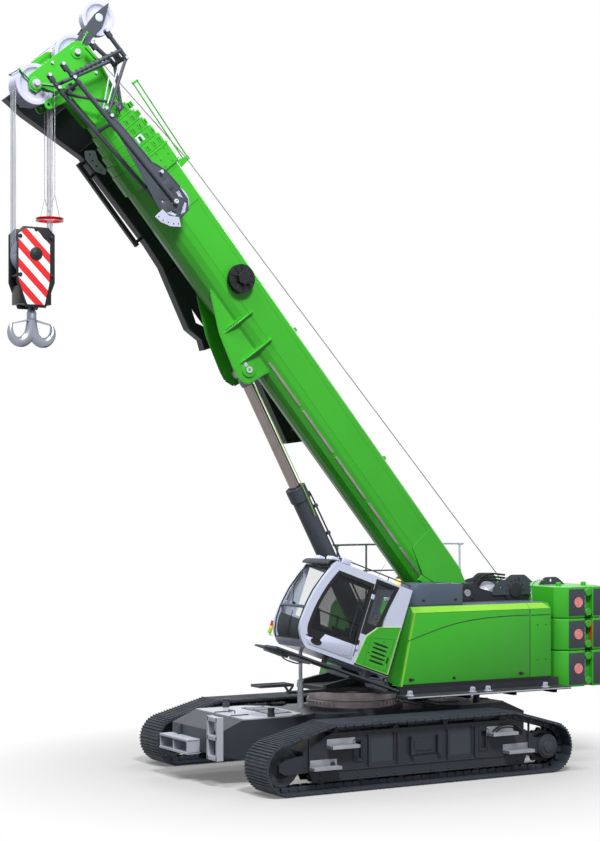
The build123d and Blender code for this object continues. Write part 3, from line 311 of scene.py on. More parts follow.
def glow(name, color, strength):
    # emissive lens: on the beacon, work lamps and monitor it is their own light, on the red reflector it is a
    # painted glow
    material, tree, shader = blankMaterial(name)
    cells = tree.nodes.new("ShaderNodeTexVoronoi")
    cells.inputs["Scale"].default_value = 60
    tree.links.new(objectPlace(tree), cells.inputs["Vector"])
    tree.links.new(mixColor(tree, mapRange(tree, cells.outputs["Distance"], 0, 0.8, 0, 0.35), color,
                            (1, 1, 1, 1)), shader.inputs["Base Color"])
    tree.links.new(bumpFrom(tree, cells.outputs["Distance"], 0.3, 0.004), shader.inputs["Normal"])
    shader.inputs["Emission Color"].default_value = color
    shader.inputs["Emission Strength"].default_value = strength
    shader.inputs["Roughness"].default_value = 0.15
    shader.inputs["Coat Weight"].default_value = 0.8
    return material


def stripes(name, first, second, width, lean):
    # slanted warning bands
    material, tree, shader = blankMaterial(name)
    parts = tree.nodes.new("ShaderNodeSeparateXYZ")
    tree.links.new(objectPlace(tree), parts.inputs[0])
    slant = addMath(tree, "ADD", parts.outputs["X"], addMath(tree, "MULTIPLY", parts.outputs["Z"], lean))
    band = addMath(tree, "PINGPONG", slant, width)
    step = addMath(tree, "GREATER_THAN", band, width / 2)
    surface = addGroup(tree, paintGroup, {"Dust": 0.1, "Gloss": 0.35})
    color = mixColor(tree, step, first, second)
    tree.links.new(color, surface.inputs["Color"])
    tree.links.new(color, surface.inputs["Faded"])
    wireSurface(tree, shader, surface, 0.05, 0.002)
    return material


def grating(name, color, holes):
    # pressed deck plate: rows of raised and pierced dots, the holes painted near-black as painted shade
    material, tree, shader = blankMaterial(name)
    dots = tree.nodes.new("ShaderNodeTexVoronoi")
    dots.inputs["Scale"].default_value = holes
    dots.inputs["Randomness"].default_value = 0
    tree.links.new(objectPlace(tree), dots.inputs["Vector"])
    mask = mapRange(tree, dots.outputs["Distance"], 0.22, 0.32)
    surface = addGroup(tree, paintGroup, {"Color": color, "Faded": color, "Dust": 0.2, "Gloss": 0.5})
    # painted shade: the pierced holes are coloured near-black
    tree.links.new(mixColor(tree, mask, (0.01, 0.01, 0.012, 1), surface.outputs["Color"]),
                   shader.inputs["Base Color"])
    tree.links.new(surface.outputs["Roughness"], shader.inputs["Roughness"])
    tree.links.new(bumpFrom(tree, mask, 0.5, 0.004), shader.inputs["Normal"])
    return material


def cloth(name, color):
    material, tree, shader = blankMaterial(name)
    weave = tree.nodes.new("ShaderNodeTexWave")
    weave.inputs["Scale"].default_value = 60
    tree.links.new(objectPlace(tree), weave.inputs["Vector"])
    tree.links.new(mixColor(tree, weave.outputs["Fac"], color,
                            (color[0] * 1.3, color[1] * 1.3, color[2] * 1.3, 1)), shader.inputs["Base Color"])
    tree.links.new(bumpFrom(tree, weave.outputs["Fac"], 0.3, 0.001), shader.inputs["Normal"])
    shader.inputs["Roughness"].default_value = 0.85
    shader.inputs["Sheen Weight"].default_value = 0.3
    return material


paintGroup = paintSurface()
metalGroup = metalGrain()
finish = {
    "green": paint("craneGreen", srgb(58, 172, 40), srgb(54, 164, 38), 0.3, 0.05),
    "lime": paint("limeBand", srgb(136, 204, 58), srgb(128, 194, 54), 0.3, 0.05),
    "white": paint("cabWhite", srgb(206, 213, 236), srgb(198, 206, 230), 0.25, 0.04, 0.3),
    "darkGrey": paint("darkFrame", srgb(38, 41, 48), srgb(44, 47, 54), 0.45, 0.12, 0.0),
    "slate": paint("slateFrame", srgb(62, 68, 77), srgb(56, 62, 70), 0.42, 0.1, 0.05),
    "trackGrey": paint("trackFrame", srgb(46, 49, 57), srgb(50, 54, 62), 0.45, 0.1, 0.0),
    "deckBlue": paint("deckPanel", srgb(80, 92, 110), srgb(74, 86, 104), 0.35, 0.1),
    "weightGrey": paint("weightPanel", srgb(62, 67, 76), srgb(56, 61, 70), 0.4, 0.1, 0.05),
    "black": paint("blackPaint", srgb(20, 21, 25), srgb(26, 27, 32), 0.4, 0.08, 0.05),
    "pale": paint("paleTube", srgb(188, 193, 204), srgb(174, 179, 192), 0.35, 0.1),
    "red": paint("signalRed", srgb(200, 16, 24), srgb(186, 14, 20), 0.3, 0.05),
    "yellow": paint("pinYellow", srgb(236, 200, 40), srgb(220, 184, 36), 0.35, 0.05),
    "sheave": paint("sheaveGrey", srgb(186, 188, 210), srgb(174, 176, 200), 0.38, 0.05),
    "trackSteel": metal("trackSteel", srgb(50, 57, 68), srgb(36, 40, 46), 0.5, 45, 0.5, 0.1, 0.35),
    "castSteel": metal("castSteel", srgb(66, 70, 78), srgb(42, 44, 50), 0.6, 60, 0.5, 0.4, 0.3),
    "hookSteel": metal("hookSteel", srgb(150, 156, 168), srgb(104, 110, 122), 0.5, 40, 0.26, 0.85, 0.12),
    "ring": metal("ringSteel", srgb(160, 150, 152), srgb(104, 94, 94), 0.5, 20, 0.34, 0.8, 0.1),
    "chrome": metal("chromedRod", srgb(136, 128, 126), srgb(96, 88, 88), 0.3, 12, 0.16, 1.0, 0.02),
    "zinc": metal("zincSteel", srgb(166, 170, 178), srgb(116, 119, 126), 0.5, 50, 0.38, 0.6, 0.2),
    "rope": wireRope("ropeWire"),
    "glass": glass("cabGlass", srgb(150, 166, 172), 0.08),
    "darkGlass": glass("doorGlass", srgb(34, 38, 42), 0.55),
    # the red reflector's emission is a painted glow for the light it throws back, as it is no lamp
    "reflector": glow("redReflectorPaintedGlow", srgb(206, 10, 24), 0.12),
    "beacon": glow("amberBeacon", srgb(250, 196, 30), 0.35),
    "lamp": glow("lampLens", srgb(226, 230, 240), 0.2),
    "stripes": stripes("warningBands", srgb(206, 24, 28), srgb(228, 230, 238), 0.17, -1.0),
    "tread": grating("deckTread", srgb(60, 64, 76), 26),
    "cloth": cloth("seatCloth", srgb(40, 42, 48)),
    "rubber": paint("hoseRubber", srgb(16, 16, 18), srgb(22, 22, 24), 0.6, 0.08, 0.0),
}
print("finishes made:", len(finish))
# a slot name for each finish, looked up by makePiece
slotOf = {
    "slate": "slate_grey", "ring": "bright_steel", "pale": "pale_grey", "rubber": "black_paint",
    "deckBlue": "slate_grey", "black": "black_paint", "green": "crane_green", "zinc": "bright_steel",
    "darkGrey": "dark_grey", "rope": "rope_wire", "castSteel": "track_steel", "lime": "crane_green",
    "white": "cab_white", "beacon": "warning_red", "cloth": "seat_cloth", "lamp": "pale_grey",
    "sheave": "sheave_grey", "stripes": "warning_red", "hookSteel": "slate_grey", "red": "warning_red",
    "trackSteel": "track_steel", "trackGrey": "slate_grey", "weightGrey": "dark_grey",
    "reflector": "warning_red",
}


# making shapes: each helper adds to a bmesh, in metres, and turns it by the given frame

def addBox(mesh, low, high):
    size = [b - a for a, b in zip(low, high)]
    verts = bmesh.ops.create_cube(mesh, size=1)["verts"]
    bmesh.ops.scale(mesh, vec=size, verts=verts)
    bmesh.ops.translate(mesh, vec=[(a + b) / 2 for a, b in zip(low, high)], verts=verts)
    return verts


def addRod(mesh, start, end, radius, sides=16, endRadius=None):
    start, end = Vector(start), Vector(end)
    run = end - start
    verts = bmesh.ops.create_cone(mesh, cap_ends=True, segments=sides, radius1=radius,
                                  radius2=radius if endRadius is None else endRadius,
                                  depth=run.length)["verts"]
    bmesh.ops.rotate(mesh, matrix=run.to_track_quat("Z", "Y").to_matrix(), verts=verts)
    bmesh.ops.translate(mesh, vec=(start + end) / 2, verts=verts)
    return verts


def addBar(mesh, start, end, width, height):
    # flat bar from point to point, its width along Y where it can be
    start, end = Vector(start), Vector(end)
    run = end - start
    verts = bmesh.ops.create_cube(mesh, size=1)["verts"]
    bmesh.ops.scale(mesh, vec=(height, width, run.length), verts=verts)
    bmesh.ops.rotate(mesh, matrix=run.to_track_quat("Z", "Y").to_matrix(), verts=verts)
    bmesh.ops.translate(mesh, vec=(start + end) / 2, verts=verts)
    return verts


def addStrip(mesh, points, y, width, height, closed=False):
    # flat bars from point to point of a run in X and Z
    for (x0, z0), (x1, z1) in zip(points, points[1:] + points[:1] if closed else points[1:]):
        addBar(mesh, (x0, y, z0), (x1, y, z1), width, height)


def boltCircle(mesh, centre, radius, count, y, thick):
    # bolt heads along Y, on a circle round the centre, between two places in Y
    for i in range(count):
        turned = i * math.tau / count
        x, z = centre[0] + radius * math.cos(turned), centre[2] + radius * math.sin(turned)
        addRod(mesh, (x, centre[1] + y[0], z), (x, centre[1] + y[1], z), thick, 6)


def sided(profile, side):
    # a turned profile as it is for side 1, and mirrored along its axis for side -1
    return [(radius, side * along) for radius, along in profile]


def between(side, near, far):
    return sorted((side * near, side * far))


def addPlate(mesh, outline, y):
    # outline in X and Z, thick along Y
    verts = [mesh.verts.new((x, y[0], z)) for x, z in outline]
    face = mesh.faces.new(verts)
    made = bmesh.ops.extrude_face_region(mesh, geom=[face])["geom"]
    moved = [item for item in made if isinstance(item, bmesh.types.BMVert)]
    bmesh.ops.translate(mesh, vec=(0, y[1] - y[0], 0), verts=moved)
    return verts + moved


def addPierced(mesh, outline, holes, y):
    # like addPlate, with holes through it: round ones as x, z and radius, others as an outline
    loops = [outline]
    for hole in holes:
        if isinstance(hole[0], (int, float)):
            x, z, radius = hole
            hole = [(x + radius * math.cos(i * math.tau / 16),
                     z + radius * math.sin(i * math.tau / 16)) for i in range(16)]
        loops.append(hole)
    rings = [[mesh.verts.new((x, y[0], z)) for x, z in loop] for loop in loops]
    edges = [mesh.edges.new(pair) for ring in rings for pair in zip(ring, ring[1:] + ring[:1])]
    filled = bmesh.ops.triangle_fill(mesh, use_beauty=True, edges=edges, normal=(0, 1, 0))["geom"]
    faces = [item for item in filled if isinstance(item, bmesh.types.BMFace)]
    made = bmesh.ops.extrude_face_region(mesh, geom=faces)["geom"]
    moved = [item for item in made if isinstance(item, bmesh.types.BMVert)]
    bmesh.ops.translate(mesh, vec=(0, y[1] - y[0], 0), verts=moved)
    return [vert for ring in rings for vert in ring] + moved


def addCross(mesh, outline, x):
    # outline in Y and Z, thick along X
    verts = addPlate(mesh, [(-y, z) for y, z in outline], x)
    bmesh.ops.rotate(mesh, matrix=Matrix.Rotation(math.radians(-90), 3, "Z"), verts=verts)
    return verts


def addTurned(mesh, profile, centre, steps=48, axis=(0, 1, 0)):
    # profile as (radius, along the axis), spun round an axis through the centre
    points = [mesh.verts.new((radius, along, 0)) for radius, along in profile]
    edges = [mesh.edges.new(pair) for pair in zip(points, points[1:])]
    made = bmesh.ops.spin(mesh, geom=points + edges, cent=(0, 0, 0), axis=(0, 1, 0), dvec=(0, 0, 0),
                          angle=math.tau, steps=steps, use_merge=True)
    verts = points + [item for item in made["geom_last"] if isinstance(item, bmesh.types.BMVert)]
    found = set(verts)
    edge = list(found)
    while edge:
        vert = edge.pop()
        for link in vert.link_edges:
            other = link.other_vert(vert)
            if other not in found:
                found.add(other)
                edge.append(other)
    verts = list(found)
    bmesh.ops.remove_doubles(mesh, verts=verts, dist=0.00005)
    verts = [vert for vert in verts if vert.is_valid]
    turn = Vector((0, 1, 0)).rotation_difference(Vector(axis)).to_matrix()
    bmesh.ops.rotate(mesh, matrix=turn, verts=verts)
    bmesh.ops.translate(mesh, vec=centre, verts=verts)
    return verts


def addTube(mesh, path, radius, sides=10):
    # round tube along a path of points, with closed ends
    path = [Vector(point) for point in path]
    rings = []
    for i, point in enumerate(path):
        ahead = path[min(i + 1, len(path) - 1)] - path[max(i - 1, 0)]
        ring = bmesh.ops.create_circle(mesh, cap_ends=False, segments=sides, radius=radius)["verts"]
        bmesh.ops.rotate(mesh, matrix=ahead.to_track_quat("Z", "Y").to_matrix(), verts=ring)
        bmesh.ops.translate(mesh, vec=point, verts=ring)
        rings.append(ring)
    for first, second in zip(rings, rings[1:]):
        edges = [edge for ring in (first, second) for edge in ringEdges(ring)]
        bmesh.ops.bridge_loops(mesh, edges=edges)
    for ring in (rings[0], rings[-1]):
        bmesh.ops.contextual_create(mesh, geom=ringEdges(ring))
    return [vert for ring in rings for vert in ring]


def ringEdges(ring):
    inRing = set(ring)
    return list({edge for vert in ring for edge in vert.link_edges if edge.other_vert(vert) in inRing})


def smoothPath(points, steps=6):
    # rounds a short table of points into an even curve
    points = [Vector(point) for point in points]
    padded = [points[0]] + points + [points[-1]]
    path = []
    for a, b, c, d in zip(padded, padded[1:], padded[2:], padded[3:]):
        for step in range(steps):
            t = step / steps
            path.append(((2 * b) + (c - a) * t + (2 * a - 5 * b + 4 * c - d) * t * t
                         + (3 * b - a - 3 * c + d) * t ** 3) / 2)
    path.append(points[-1])
    return path


def softenEdges(mesh, width, segments=2, angle=35):
    sharp = [edge for edge in mesh.edges if len(edge.link_faces) == 2
             and edge.calc_face_angle(0) > math.radians(angle)]
    bmesh.ops.bevel(mesh, geom=sharp, offset=width, offset_type="OFFSET", segments=segments, profile=0.5,
                    affect="EDGES", clamp_overlap=True, material=-1)


def makePiece(name, mesh, looks, body, turn=None, smooth=30, replaced=(), slot=None):
    # closes the bmesh as an object that rides on a body, with one finish or a list of them
    looks = looks if isinstance(looks, list) else [looks]
    bmesh.ops.recalc_face_normals(mesh, faces=mesh.faces)
    if turn is not None:
        bmesh.ops.transform(mesh, matrix=turn, verts=mesh.verts)
        if turn.determinant() < 0:
            bmesh.ops.reverse_faces(mesh, faces=mesh.faces)
    data = bpy.data.meshes.new(name)
    mesh.to_mesh(data)
    mesh.free()
    for look in looks:
        data.materials.append(finish[look])
    data.shade_smooth()
    data.set_sharp_from_angle(angle=math.radians(smooth))
    piece = bpy.data.objects.new(name, data)
    scene.collection.objects.link(piece)
    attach(piece, body)
    slot = slot or slotOf[looks[0]]
    if replaced:
        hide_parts(*replaced)
    return piece


def markFaces(verts, index):
    # gives every face of these vertices a finish by its place in the piece's list
    for face in {face for vert in verts if vert.is_valid for face in vert.link_faces}:
        face.material_index = index


def boomPoint(along, out, back):
    return boomFrame @ Vector((along, out, back))


def cadLook(name, look):
    node = frame["nodes"][name]
    node.data.materials.clear()
    node.data.materials.append(finish[look])


# crawler tracks

trackSize = {
    "centreY": 2.2, "halfWidth": 0.415, "wheelX": 2.92, "wheelR": 0.49, "topZ": 1.24, "topHalf": 2.03,
    "pitch": 0.19, "barHeight": 0.025, "plate": 0.03, "chainY": 0.1, "chainDeep": 0.145,
}


def trackRuns():
    # the loop along the bar tips: for each run its length, and where it is at a distance along it
    t = trackSize
    rise, runIn = t["topZ"] - t["wheelR"], t["wheelX"] - t["topHalf"]
    leave = math.atan2(rise, -runIn) - math.acos(t["wheelR"] / math.hypot(rise, runIn))
    lean = math.pi / 2 - leave
    edge = (t["wheelX"] + t["wheelR"] * math.cos(leave), t["wheelR"] + t["wheelR"] * math.sin(leave))
    side = math.hypot(edge[0] - t["topHalf"], t["topZ"] - edge[1])
    bend = (leave + math.pi / 2) * t["wheelR"]

    def roundEnd(turn, flip):
        x = flip * (t["wheelX"] + t["wheelR"] * math.cos(turn))
        return (x, t["wheelR"] + t["wheelR"] * math.sin(turn)), math.atan2(flip * math.cos(turn),
                                                                           -math.sin(turn))

    return (
        (2 * t["wheelX"], lambda s: ((-t["wheelX"] + s, 0), 0)),
        (bend, lambda s: roundEnd(-math.pi / 2 + s / t["wheelR"], 1)),
        (side, lambda s: ((edge[0] - s * math.cos(lean), edge[1] + s * math.sin(lean)), math.pi - lean)),
        (2 * t["topHalf"], lambda s: ((t["topHalf"] - s, t["topZ"]), math.pi)),
        (side, lambda s: ((-t["topHalf"] - s * math.cos(lean), t["topZ"] - s * math.sin(lean)), math.pi + lean)),
        (bend, lambda s: roundEnd(leave - s / t["wheelR"], -1)),
    )


def trackPlace(runs, distance):
    for length, where in runs:
        if distance <= length:
            return where(distance)
        distance -= length
    return runs[0][1](0)


def makeShoe(mesh):
    # one shoe lying on the ground at the origin: plate, grouser bar, bolts, and its pair of links
    t = trackSize
    half, low = t["halfWidth"], t["barHeight"]
    top = low + t["plate"]
    verts = addPlate(mesh, ((-0.088, low), (-0.088, low + 0.018), (-0.078, top), (0.07, top),
                            (0.088, low + 0.02), (0.088, low)), (-half, half))
    for x in (-0.07, -0.008, 0.054):
        verts += addPlate(mesh, ((x - 0.019, low + 0.002), (x - 0.01, 0.001), (x + 0.01, 0.001),
                                 (x + 0.019, low + 0.002)), (-half + 0.01, half - 0.01))
    for y in (-1, 1):
        link = ((-0.105, top + 0.004), (0.09, top + 0.004), (0.104, top + 0.03), (0.104, 0.118), (0.08, 0.14),
                (-0.06, 0.14), (-0.105, 0.112))
        verts += addPlate(mesh, link, sorted((y * t["chainY"], y * (t["chainY"] + 0.034))))
        for x in (-0.03, 0.04):
            verts += addRod(mesh, (x, y * 0.19, low - 0.008), (x, y * 0.19, low + 0.002), 0.013, 6)
    verts += addRod(mesh, (-0.095, -0.15, 0.098), (-0.095, 0.15, 0.098), 0.02, 8)
    return verts


def makeTracks():
    runs = trackRuns()
    total = sum(run[0] for run in runs)
    count = round(total / trackSize["pitch"])
    for side, turn in (("left", onLeft), ("right", onRight)):
        mesh = bmesh.new()
        first = bmesh.new()
        makeShoe(first)
        shape = bpy.data.meshes.new("shoe")
        first.to_mesh(shape)
        first.free()
        for i in range(count):
            (x, z), lean = trackPlace(runs, (i + 0.5) * total / count)
            before = set(mesh.verts)
            mesh.from_mesh(shape)
            verts = [vert for vert in mesh.verts if vert not in before]
            spin = Matrix.Translation((x, trackSize["centreY"], z)) @ Matrix.Rotation(-lean, 4, "Y")
            bmesh.ops.transform(mesh, matrix=spin, verts=verts)
        bpy.data.meshes.remove(shape)
        makePiece("shoes_" + side, mesh, "trackSteel", "track_unit_" + side, turn, smooth=35,
                  replaced=("track_" + side,))


def makeWheels():
    size = {"y": 2.2, "rollerZ": 0.2503, "rollerStep": 0.86, "rollers": 6, "wheelX": 2.92, "wheelZ": 0.49}
    for side, turn in (("left", onLeft), ("right", onRight)):
        mesh = bmesh.new()
        for i in range(size["rollers"]):
            x = (i - (size["rollers"] - 1) / 2) * size["rollerStep"]
            profile = ((0, -0.213), (0.05, -0.213), (0.055, -0.2), (0.09, -0.195), (0.104, -0.185),
                       (0.104, -0.14), (0.09, -0.13), (0.075, -0.12), (0.075, 0.12), (0.09, 0.13),
                       (0.104, 0.14), (0.104, 0.185), (0.09, 0.195), (0.055, 0.2), (0.05, 0.213), (0, 0.213))
            addTurned(mesh, profile, (x, size["y"], size["rollerZ"]), 28)
        # idler in front, with a stepped web
        profile = ((0, -0.168), (0.1, -0.168), (0.11, -0.15), (0.2, -0.09), (0.27, -0.09), (0.3, -0.1),
                   (0.344, -0.1), (0.344, -0.06), (0.33, -0.055), (0.33, 0.055), (0.344, 0.06), (0.344, 0.1),
                   (0.3, 0.1), (0.27, 0.09), (0.2, 0.09), (0.11, 0.15), (0.1, 0.168), (0, 0.168))
        addTurned(mesh, profile, (size["wheelX"], size["y"], size["wheelZ"]), 56)
        # sprocket at the rear: ring, teeth and the final drive with its bolt circles
        centre = Vector((-size["wheelX"], size["y"], size["wheelZ"]))
        profile = ((0, -0.12), (0.22, -0.12), (0.24, -0.05), (0.3, -0.045), (0.31, -0.04), (0.31, 0.04),
                   (0.3, 0.045), (0.24, 0.05), (0.22, 0.168), (0, 0.168))
        addTurned(mesh, profile, centre, 56)
        for i in range(13):
            tooth = addPlate(mesh, ((0.3, -0.05), (0.344, -0.022), (0.344, 0.022), (0.3, 0.05)),
                             (-0.038, 0.038))
            bmesh.ops.rotate(mesh, matrix=Matrix.Rotation(i * math.tau / 13, 3, "Y"), verts=tooth)
            bmesh.ops.translate(mesh, vec=centre, verts=tooth)
        profile = ((0, 0.236), (0.232, 0.236), (0.234, 0.25), (0.228, 0.262), (0.2, 0.264), (0.19, 0.282),
                   (0.12, 0.286), (0.11, 0.304), (0.04, 0.309), (0, 0.309))
        addTurned(mesh, profile, centre, 56)
        for ring, count, lift in ((0.212, 24, 0.262), (0.15, 16, 0.284), (0.075, 8, 0.305)):
            boltCircle(mesh, centre, ring, count, (lift - 0.006, min(lift + 0.008, 0.31)), 0.011)
        makePiece("wheels_" + side, mesh, "castSteel", "track_unit_" + side, turn,
                  replaced=("track_wheels_" + side,))


def makeTrackFrame():
    # what is bolted and welded to the frame's outer face
    size = {"face": 2.44, "windows": (-1.4, 1.4), "ribs": (-2.45, -1.19, -0.56, 0.56, 1.19, 2.45),
            "eyes": (-1.85, -0.55, 0.55, 1.85), "rods": (-0.35, 0.35)}
    for side, turn in (("left", onLeft), ("right", onRight)):
        mesh = bmesh.new()
        face = size["face"]
        for x in size["windows"]:  # a raised frame round each window
            rim = ((x - 0.1, 0.52), (x + 0.1, 0.52), (x + 0.1, 0.92), (x - 0.1, 0.92))
            addStrip(mesh, rim, face + 0.006, 0.02, 0.02, True)
        for x in size["ribs"]:
            addPlate(mesh, ((x - 0.012, 0.42), (x + 0.012, 0.42), (x + 0.012, 0.98), (x - 0.012, 0.98)),
                             (face - 0.004, face + 0.045))
        # closed box with a bolted cover
        addBox(mesh, (-0.28, face - 0.002, 0.56), (0.28, face + 0.03, 0.9))
        addBox(mesh, (-0.2, face + 0.02, 0.62), (0.2, face + 0.042, 0.84))
        for x in (-0.24, -0.12, 0, 0.12, 0.24):
            for z in (0.59, 0.87):
                addRod(mesh, (x, face + 0.02, z), (x, face + 0.042, z), 0.012, 6)
        # guard rail that keeps the chain on the rollers
        for x in [-2.2 + 0.4 * i for i in range(12)]:
            addRod(mesh, (x, face - 0.004, 0.24), (x, face + 0.014, 0.24), 0.02, 6)
            addRod(mesh, (x, face - 0.004, 0.33), (x, face + 0.014, 0.33), 0.014, 6)
        addBox(mesh, (-2.32, face - 0.004, 0.195), (2.32, face + 0.008, 0.215))
        addBox(mesh, (-2.36, face - 0.004, 0.372), (2.36, face + 0.02, 0.392))
        # lifting eyes on the top edge
        for x in size["eyes"]:
            addPlate(mesh, ((x - 0.07, 1.04), (x + 0.07, 1.04), (x + 0.05, 1.1), (x + 0.02, 1.13),
                            (x - 0.02, 1.13), (x - 0.05, 1.1)), (face - 0.06, face - 0.035))
        # rods that slide into the push cylinders
        for x in size["rods"]:
            addRod(mesh, (x, 1.12, 0.72), (x, 1.97, 0.72), 0.04, 20)
        # tensioner behind the idler
        addRod(mesh, (2.0, 2.2, 0.49), (2.55, 2.2, 0.49), 0.07, 20)
        addRod(mesh, (1.95, face - 0.03, 0.5), (1.95, face + 0.03, 0.5), 0.05, 16)
        softenEdges(mesh, 0.004, 1)
        makePiece("frameDetail_" + side, mesh, "trackGrey", "track_unit_" + side, turn)
        mesh = bmesh.new()
        path = smoothPath(((-2.3, face + 0.02, 0.82), (-2.1, face + 0.035, 0.95), (-1.9, face + 0.03, 0.97),
                           (-1.75, face + 0.03, 0.95), (-1.6, face + 0.01, 0.86)))
        addTube(mesh, path, 0.016, 8)
        path = smoothPath(((-2.3, face + 0.02, 0.78), (-2.1, face + 0.03, 0.9), (-1.9, face + 0.03, 0.925),
                           (-1.75, face + 0.03, 0.9), (-1.66, face + 0.01, 0.82)))
        addTube(mesh, path, 0.012, 8)
        makePiece("frameHoses_" + side, mesh, "rubber", "track_unit_" + side, turn, smooth=40)


def makeTrackSteps():
    size = {"outer": 2.4403, "reach": 0.205, "bar": 0.022}
    rows = ((1.47, 2.07, 0.79), (1.86, 2.46, 0.43), (-2.09, -1.47, 0.79), (-2.47, -1.85, 0.43))
    for side, turn in (("left", onLeft), ("right", onRight)):
        mesh = bmesh.new()
        for x0, x1, z in rows:
            y0, y1 = size["outer"], size["outer"] + size["reach"]
            bar = size["bar"]
            addBox(mesh, (x0, y0, z), (x1, y0 + 0.012, z + 0.17))
            addBox(mesh, (x0, y0 + 0.01, z), (x0 + bar, y1, z + 0.06))
            addBox(mesh, (x1 - bar, y0 + 0.01, z), (x1, y1, z + 0.06))
            addBox(mesh, (x0, y1 - bar, z), (x1, y1, z + 0.06))
            # serrated treads between the side bars
            for i in range(4):
                y = y0 + 0.045 + i * 0.036
                addBox(mesh, (x0 + bar / 2, y, z + 0.012), (x1 - bar / 2, y + 0.012, z + 0.056))
            for i in range(9):
                x = x0 + 0.055 + i * (x1 - x0 - 0.11) / 8
                addBox(mesh, (x - 0.004, y0 + 0.02, z + 0.024), (x + 0.004, y1 - 0.02, z + 0.054))
            for x in (x0 + 0.06, x1 - 0.06):
                addRod(mesh, (x, y0, z + 0.13), (x, y0 + 0.026, z + 0.13), 0.016, 6)
        softenEdges(mesh, 0.003, 1)
        makePiece("foldingSteps_" + side, mesh, "zinc", "track_unit_" + side, turn,
                  replaced=("track_steps_" + side,))


makeTracks()
makeWheels()
makeTrackFrame()
makeTrackSteps()
print("tracks done")


# undercarriage

def makeUndercarriage():
    mesh = bmesh.new()
    for side in (-1, 1):
        # end plates of the cross beams and the stops that hold them in the track frames
        for x in (-0.875, 0.875):
            addBox(mesh, (x - 0.25, min(side * 1.0, side * 1.03), 0.46),
                   (x + 0.25, max(side * 1.0, side * 1.03), 1.0))
            for dz in (-0.2, 0.2):
                for dx in (-0.19, 0, 0.19):
                    addRod(mesh, (x + dx, side * 1.02, 0.735 + dz), (x + dx, side * 1.05, 0.735 + dz), 0.018,
                           6)
        # open barrels of the push cylinders between the cross beams
        for x in (-0.35, 0.35):
            sleeve = ((0.05, 0.45), (0.07, 0.45), (0.07, 1.15), (0.06, 1.16), (0.05, 1.16), (0.05, 0.45))
            addTurned(mesh, sided(sleeve, side), (x, 0, 0.72), 24)
    # rib plates on the nose blocks
    for end in (-1, 1):
        for y in (-0.62, 0.62):
            shape = [(end * x, z) for x, z in ((3.472, 0.62), (3.53, 0.7), (3.53, 0.96), (3.472, 1.0))]
            addPlate(mesh, shape, (y - 0.015, y + 0.015))
        for y in (-0.2, 0.45):
            addPlate(mesh, [(end * x, z) for x, z in ((2.55, 1.2), (3.0, 1.2), (2.95, 1.24), (2.6, 1.24))],
                     (y - 0.02, y + 0.02))
    softenEdges(mesh, 0.005, 2)
    makePiece("undercarriageRibs", mesh, "slate", "undercarriage")

    # the four jack posts
    mesh = bmesh.new()
    for x in (-2.35, 2.35):
        for y in (-0.9, 0.9):
            profile = ((0, 1.222), (0.07, 1.222), (0.07, 1.29), (0.062, 1.296), (0.062, 1.35), (0.068, 1.356),
                       (0.068, 1.382), (0.06, 1.39), (0, 1.39))
            addTurned(mesh, profile, (x, y, 0), 32, (0, 0, 1))
    makePiece("jackPosts", mesh, "slate", "undercarriage", replaced=("jack_posts",))

    # slewing ring, in two halves, with a row of round bolts on the lower one
    mesh = bmesh.new()
    profile = ((0.735, 1.25), (0.88, 1.25), (0.88, 1.29), (0.905, 1.295), (0.905, 1.36), (0.9, 1.366),
               (0.9, 1.379), (0.735, 1.379), (0.735, 1.25))
    addTurned(mesh, profile, (0, 0, 0), 96, (0, 0, 1))
    for i in range(54):
        turned = i * math.tau / 54
        spot = Vector((math.cos(turned), math.sin(turned), 0))
        addRod(mesh, spot * 0.9 + Vector((0, 0, 1.325)), spot * 0.919 + Vector((0, 0, 1.325)), 0.024, 10)
    makePiece("gearRing", mesh, "ring", "undercarriage", replaced=("slew_ring_lower",))
    mesh = bmesh.new()
    profile = ((0.735, 1.38), (0.862, 1.38), (0.869, 1.387), (0.869, 1.54), (0.862, 1.548), (0.855, 1.57),
               (0.735, 1.57), (0.735, 1.38))
    addTurned(mesh, profile, (0, 0, 0), 96, (0, 0, 1))
    makePiece("turningRing", mesh, "ring", "upper", replaced=("slew_ring_upper",))

    # front ladder and step box in light metal
    mesh = bmesh.new()
    x0, x1 = 3.47, 3.6
    for y in (0.7, 1.06):
        addBox(mesh, (x0, y, 0.5), (x1, y + 0.06, 1.3))
    for z in (0.5, 0.87, 1.21):
        addBox(mesh, (x0, 0.72, z), (x1, 1.1, z + 0.08))
    for z in (0.52, 0.9, 1.24):
        for i in range(5):
            addRod(mesh, (x1 - 0.004, 0.79 + i * 0.06, z + 0.02), (x1 + 0.004, 0.79 + i * 0.06, z + 0.02),
                   0.012, 8)
    addBox(mesh, (3.47, -0.98, 0.52), (3.75, 0.18, 0.56))
    addBox(mesh, (3.47, -0.98, 0.76), (3.75, 0.18, 0.8))
    addBox(mesh, (3.47, -0.98, 0.54), (3.49, 0.18, 0.78))
    for y in (-0.98, -0.42, 0.15):
        addBox(mesh, (3.47, y, 0.54), (3.74, y + 0.03, 0.78))
    for i in range(8):
        addBox(mesh, (3.485, -0.93 + i * 0.135, 0.799), (3.735, -0.89 + i * 0.135, 0.806))
    softenEdges(mesh, 0.004, 1)
    makePiece("frontSteps", mesh, "pale", "undercarriage", replaced=("front_boxes",))

    # hoses from the swivel, in loops out towards both track frames and back
    mesh = bmesh.new()
    for side in (-1, 1):
        for shift in (0, 0.05, 0.1):
            path = smoothPath(((-0.3, side * 0.75, 0.98), (-0.3 + shift, side * 1.0, 1.02),
                               (-0.2 + shift, side * 1.13, 0.9), (-0.1 + shift, side * 1.08, 0.62),
                               (shift, side * 0.9, 0.55)))
            addTube(mesh, path, 0.018, 8)
    makePiece("driveHoses", mesh, "rubber", "undercarriage", smooth=40)
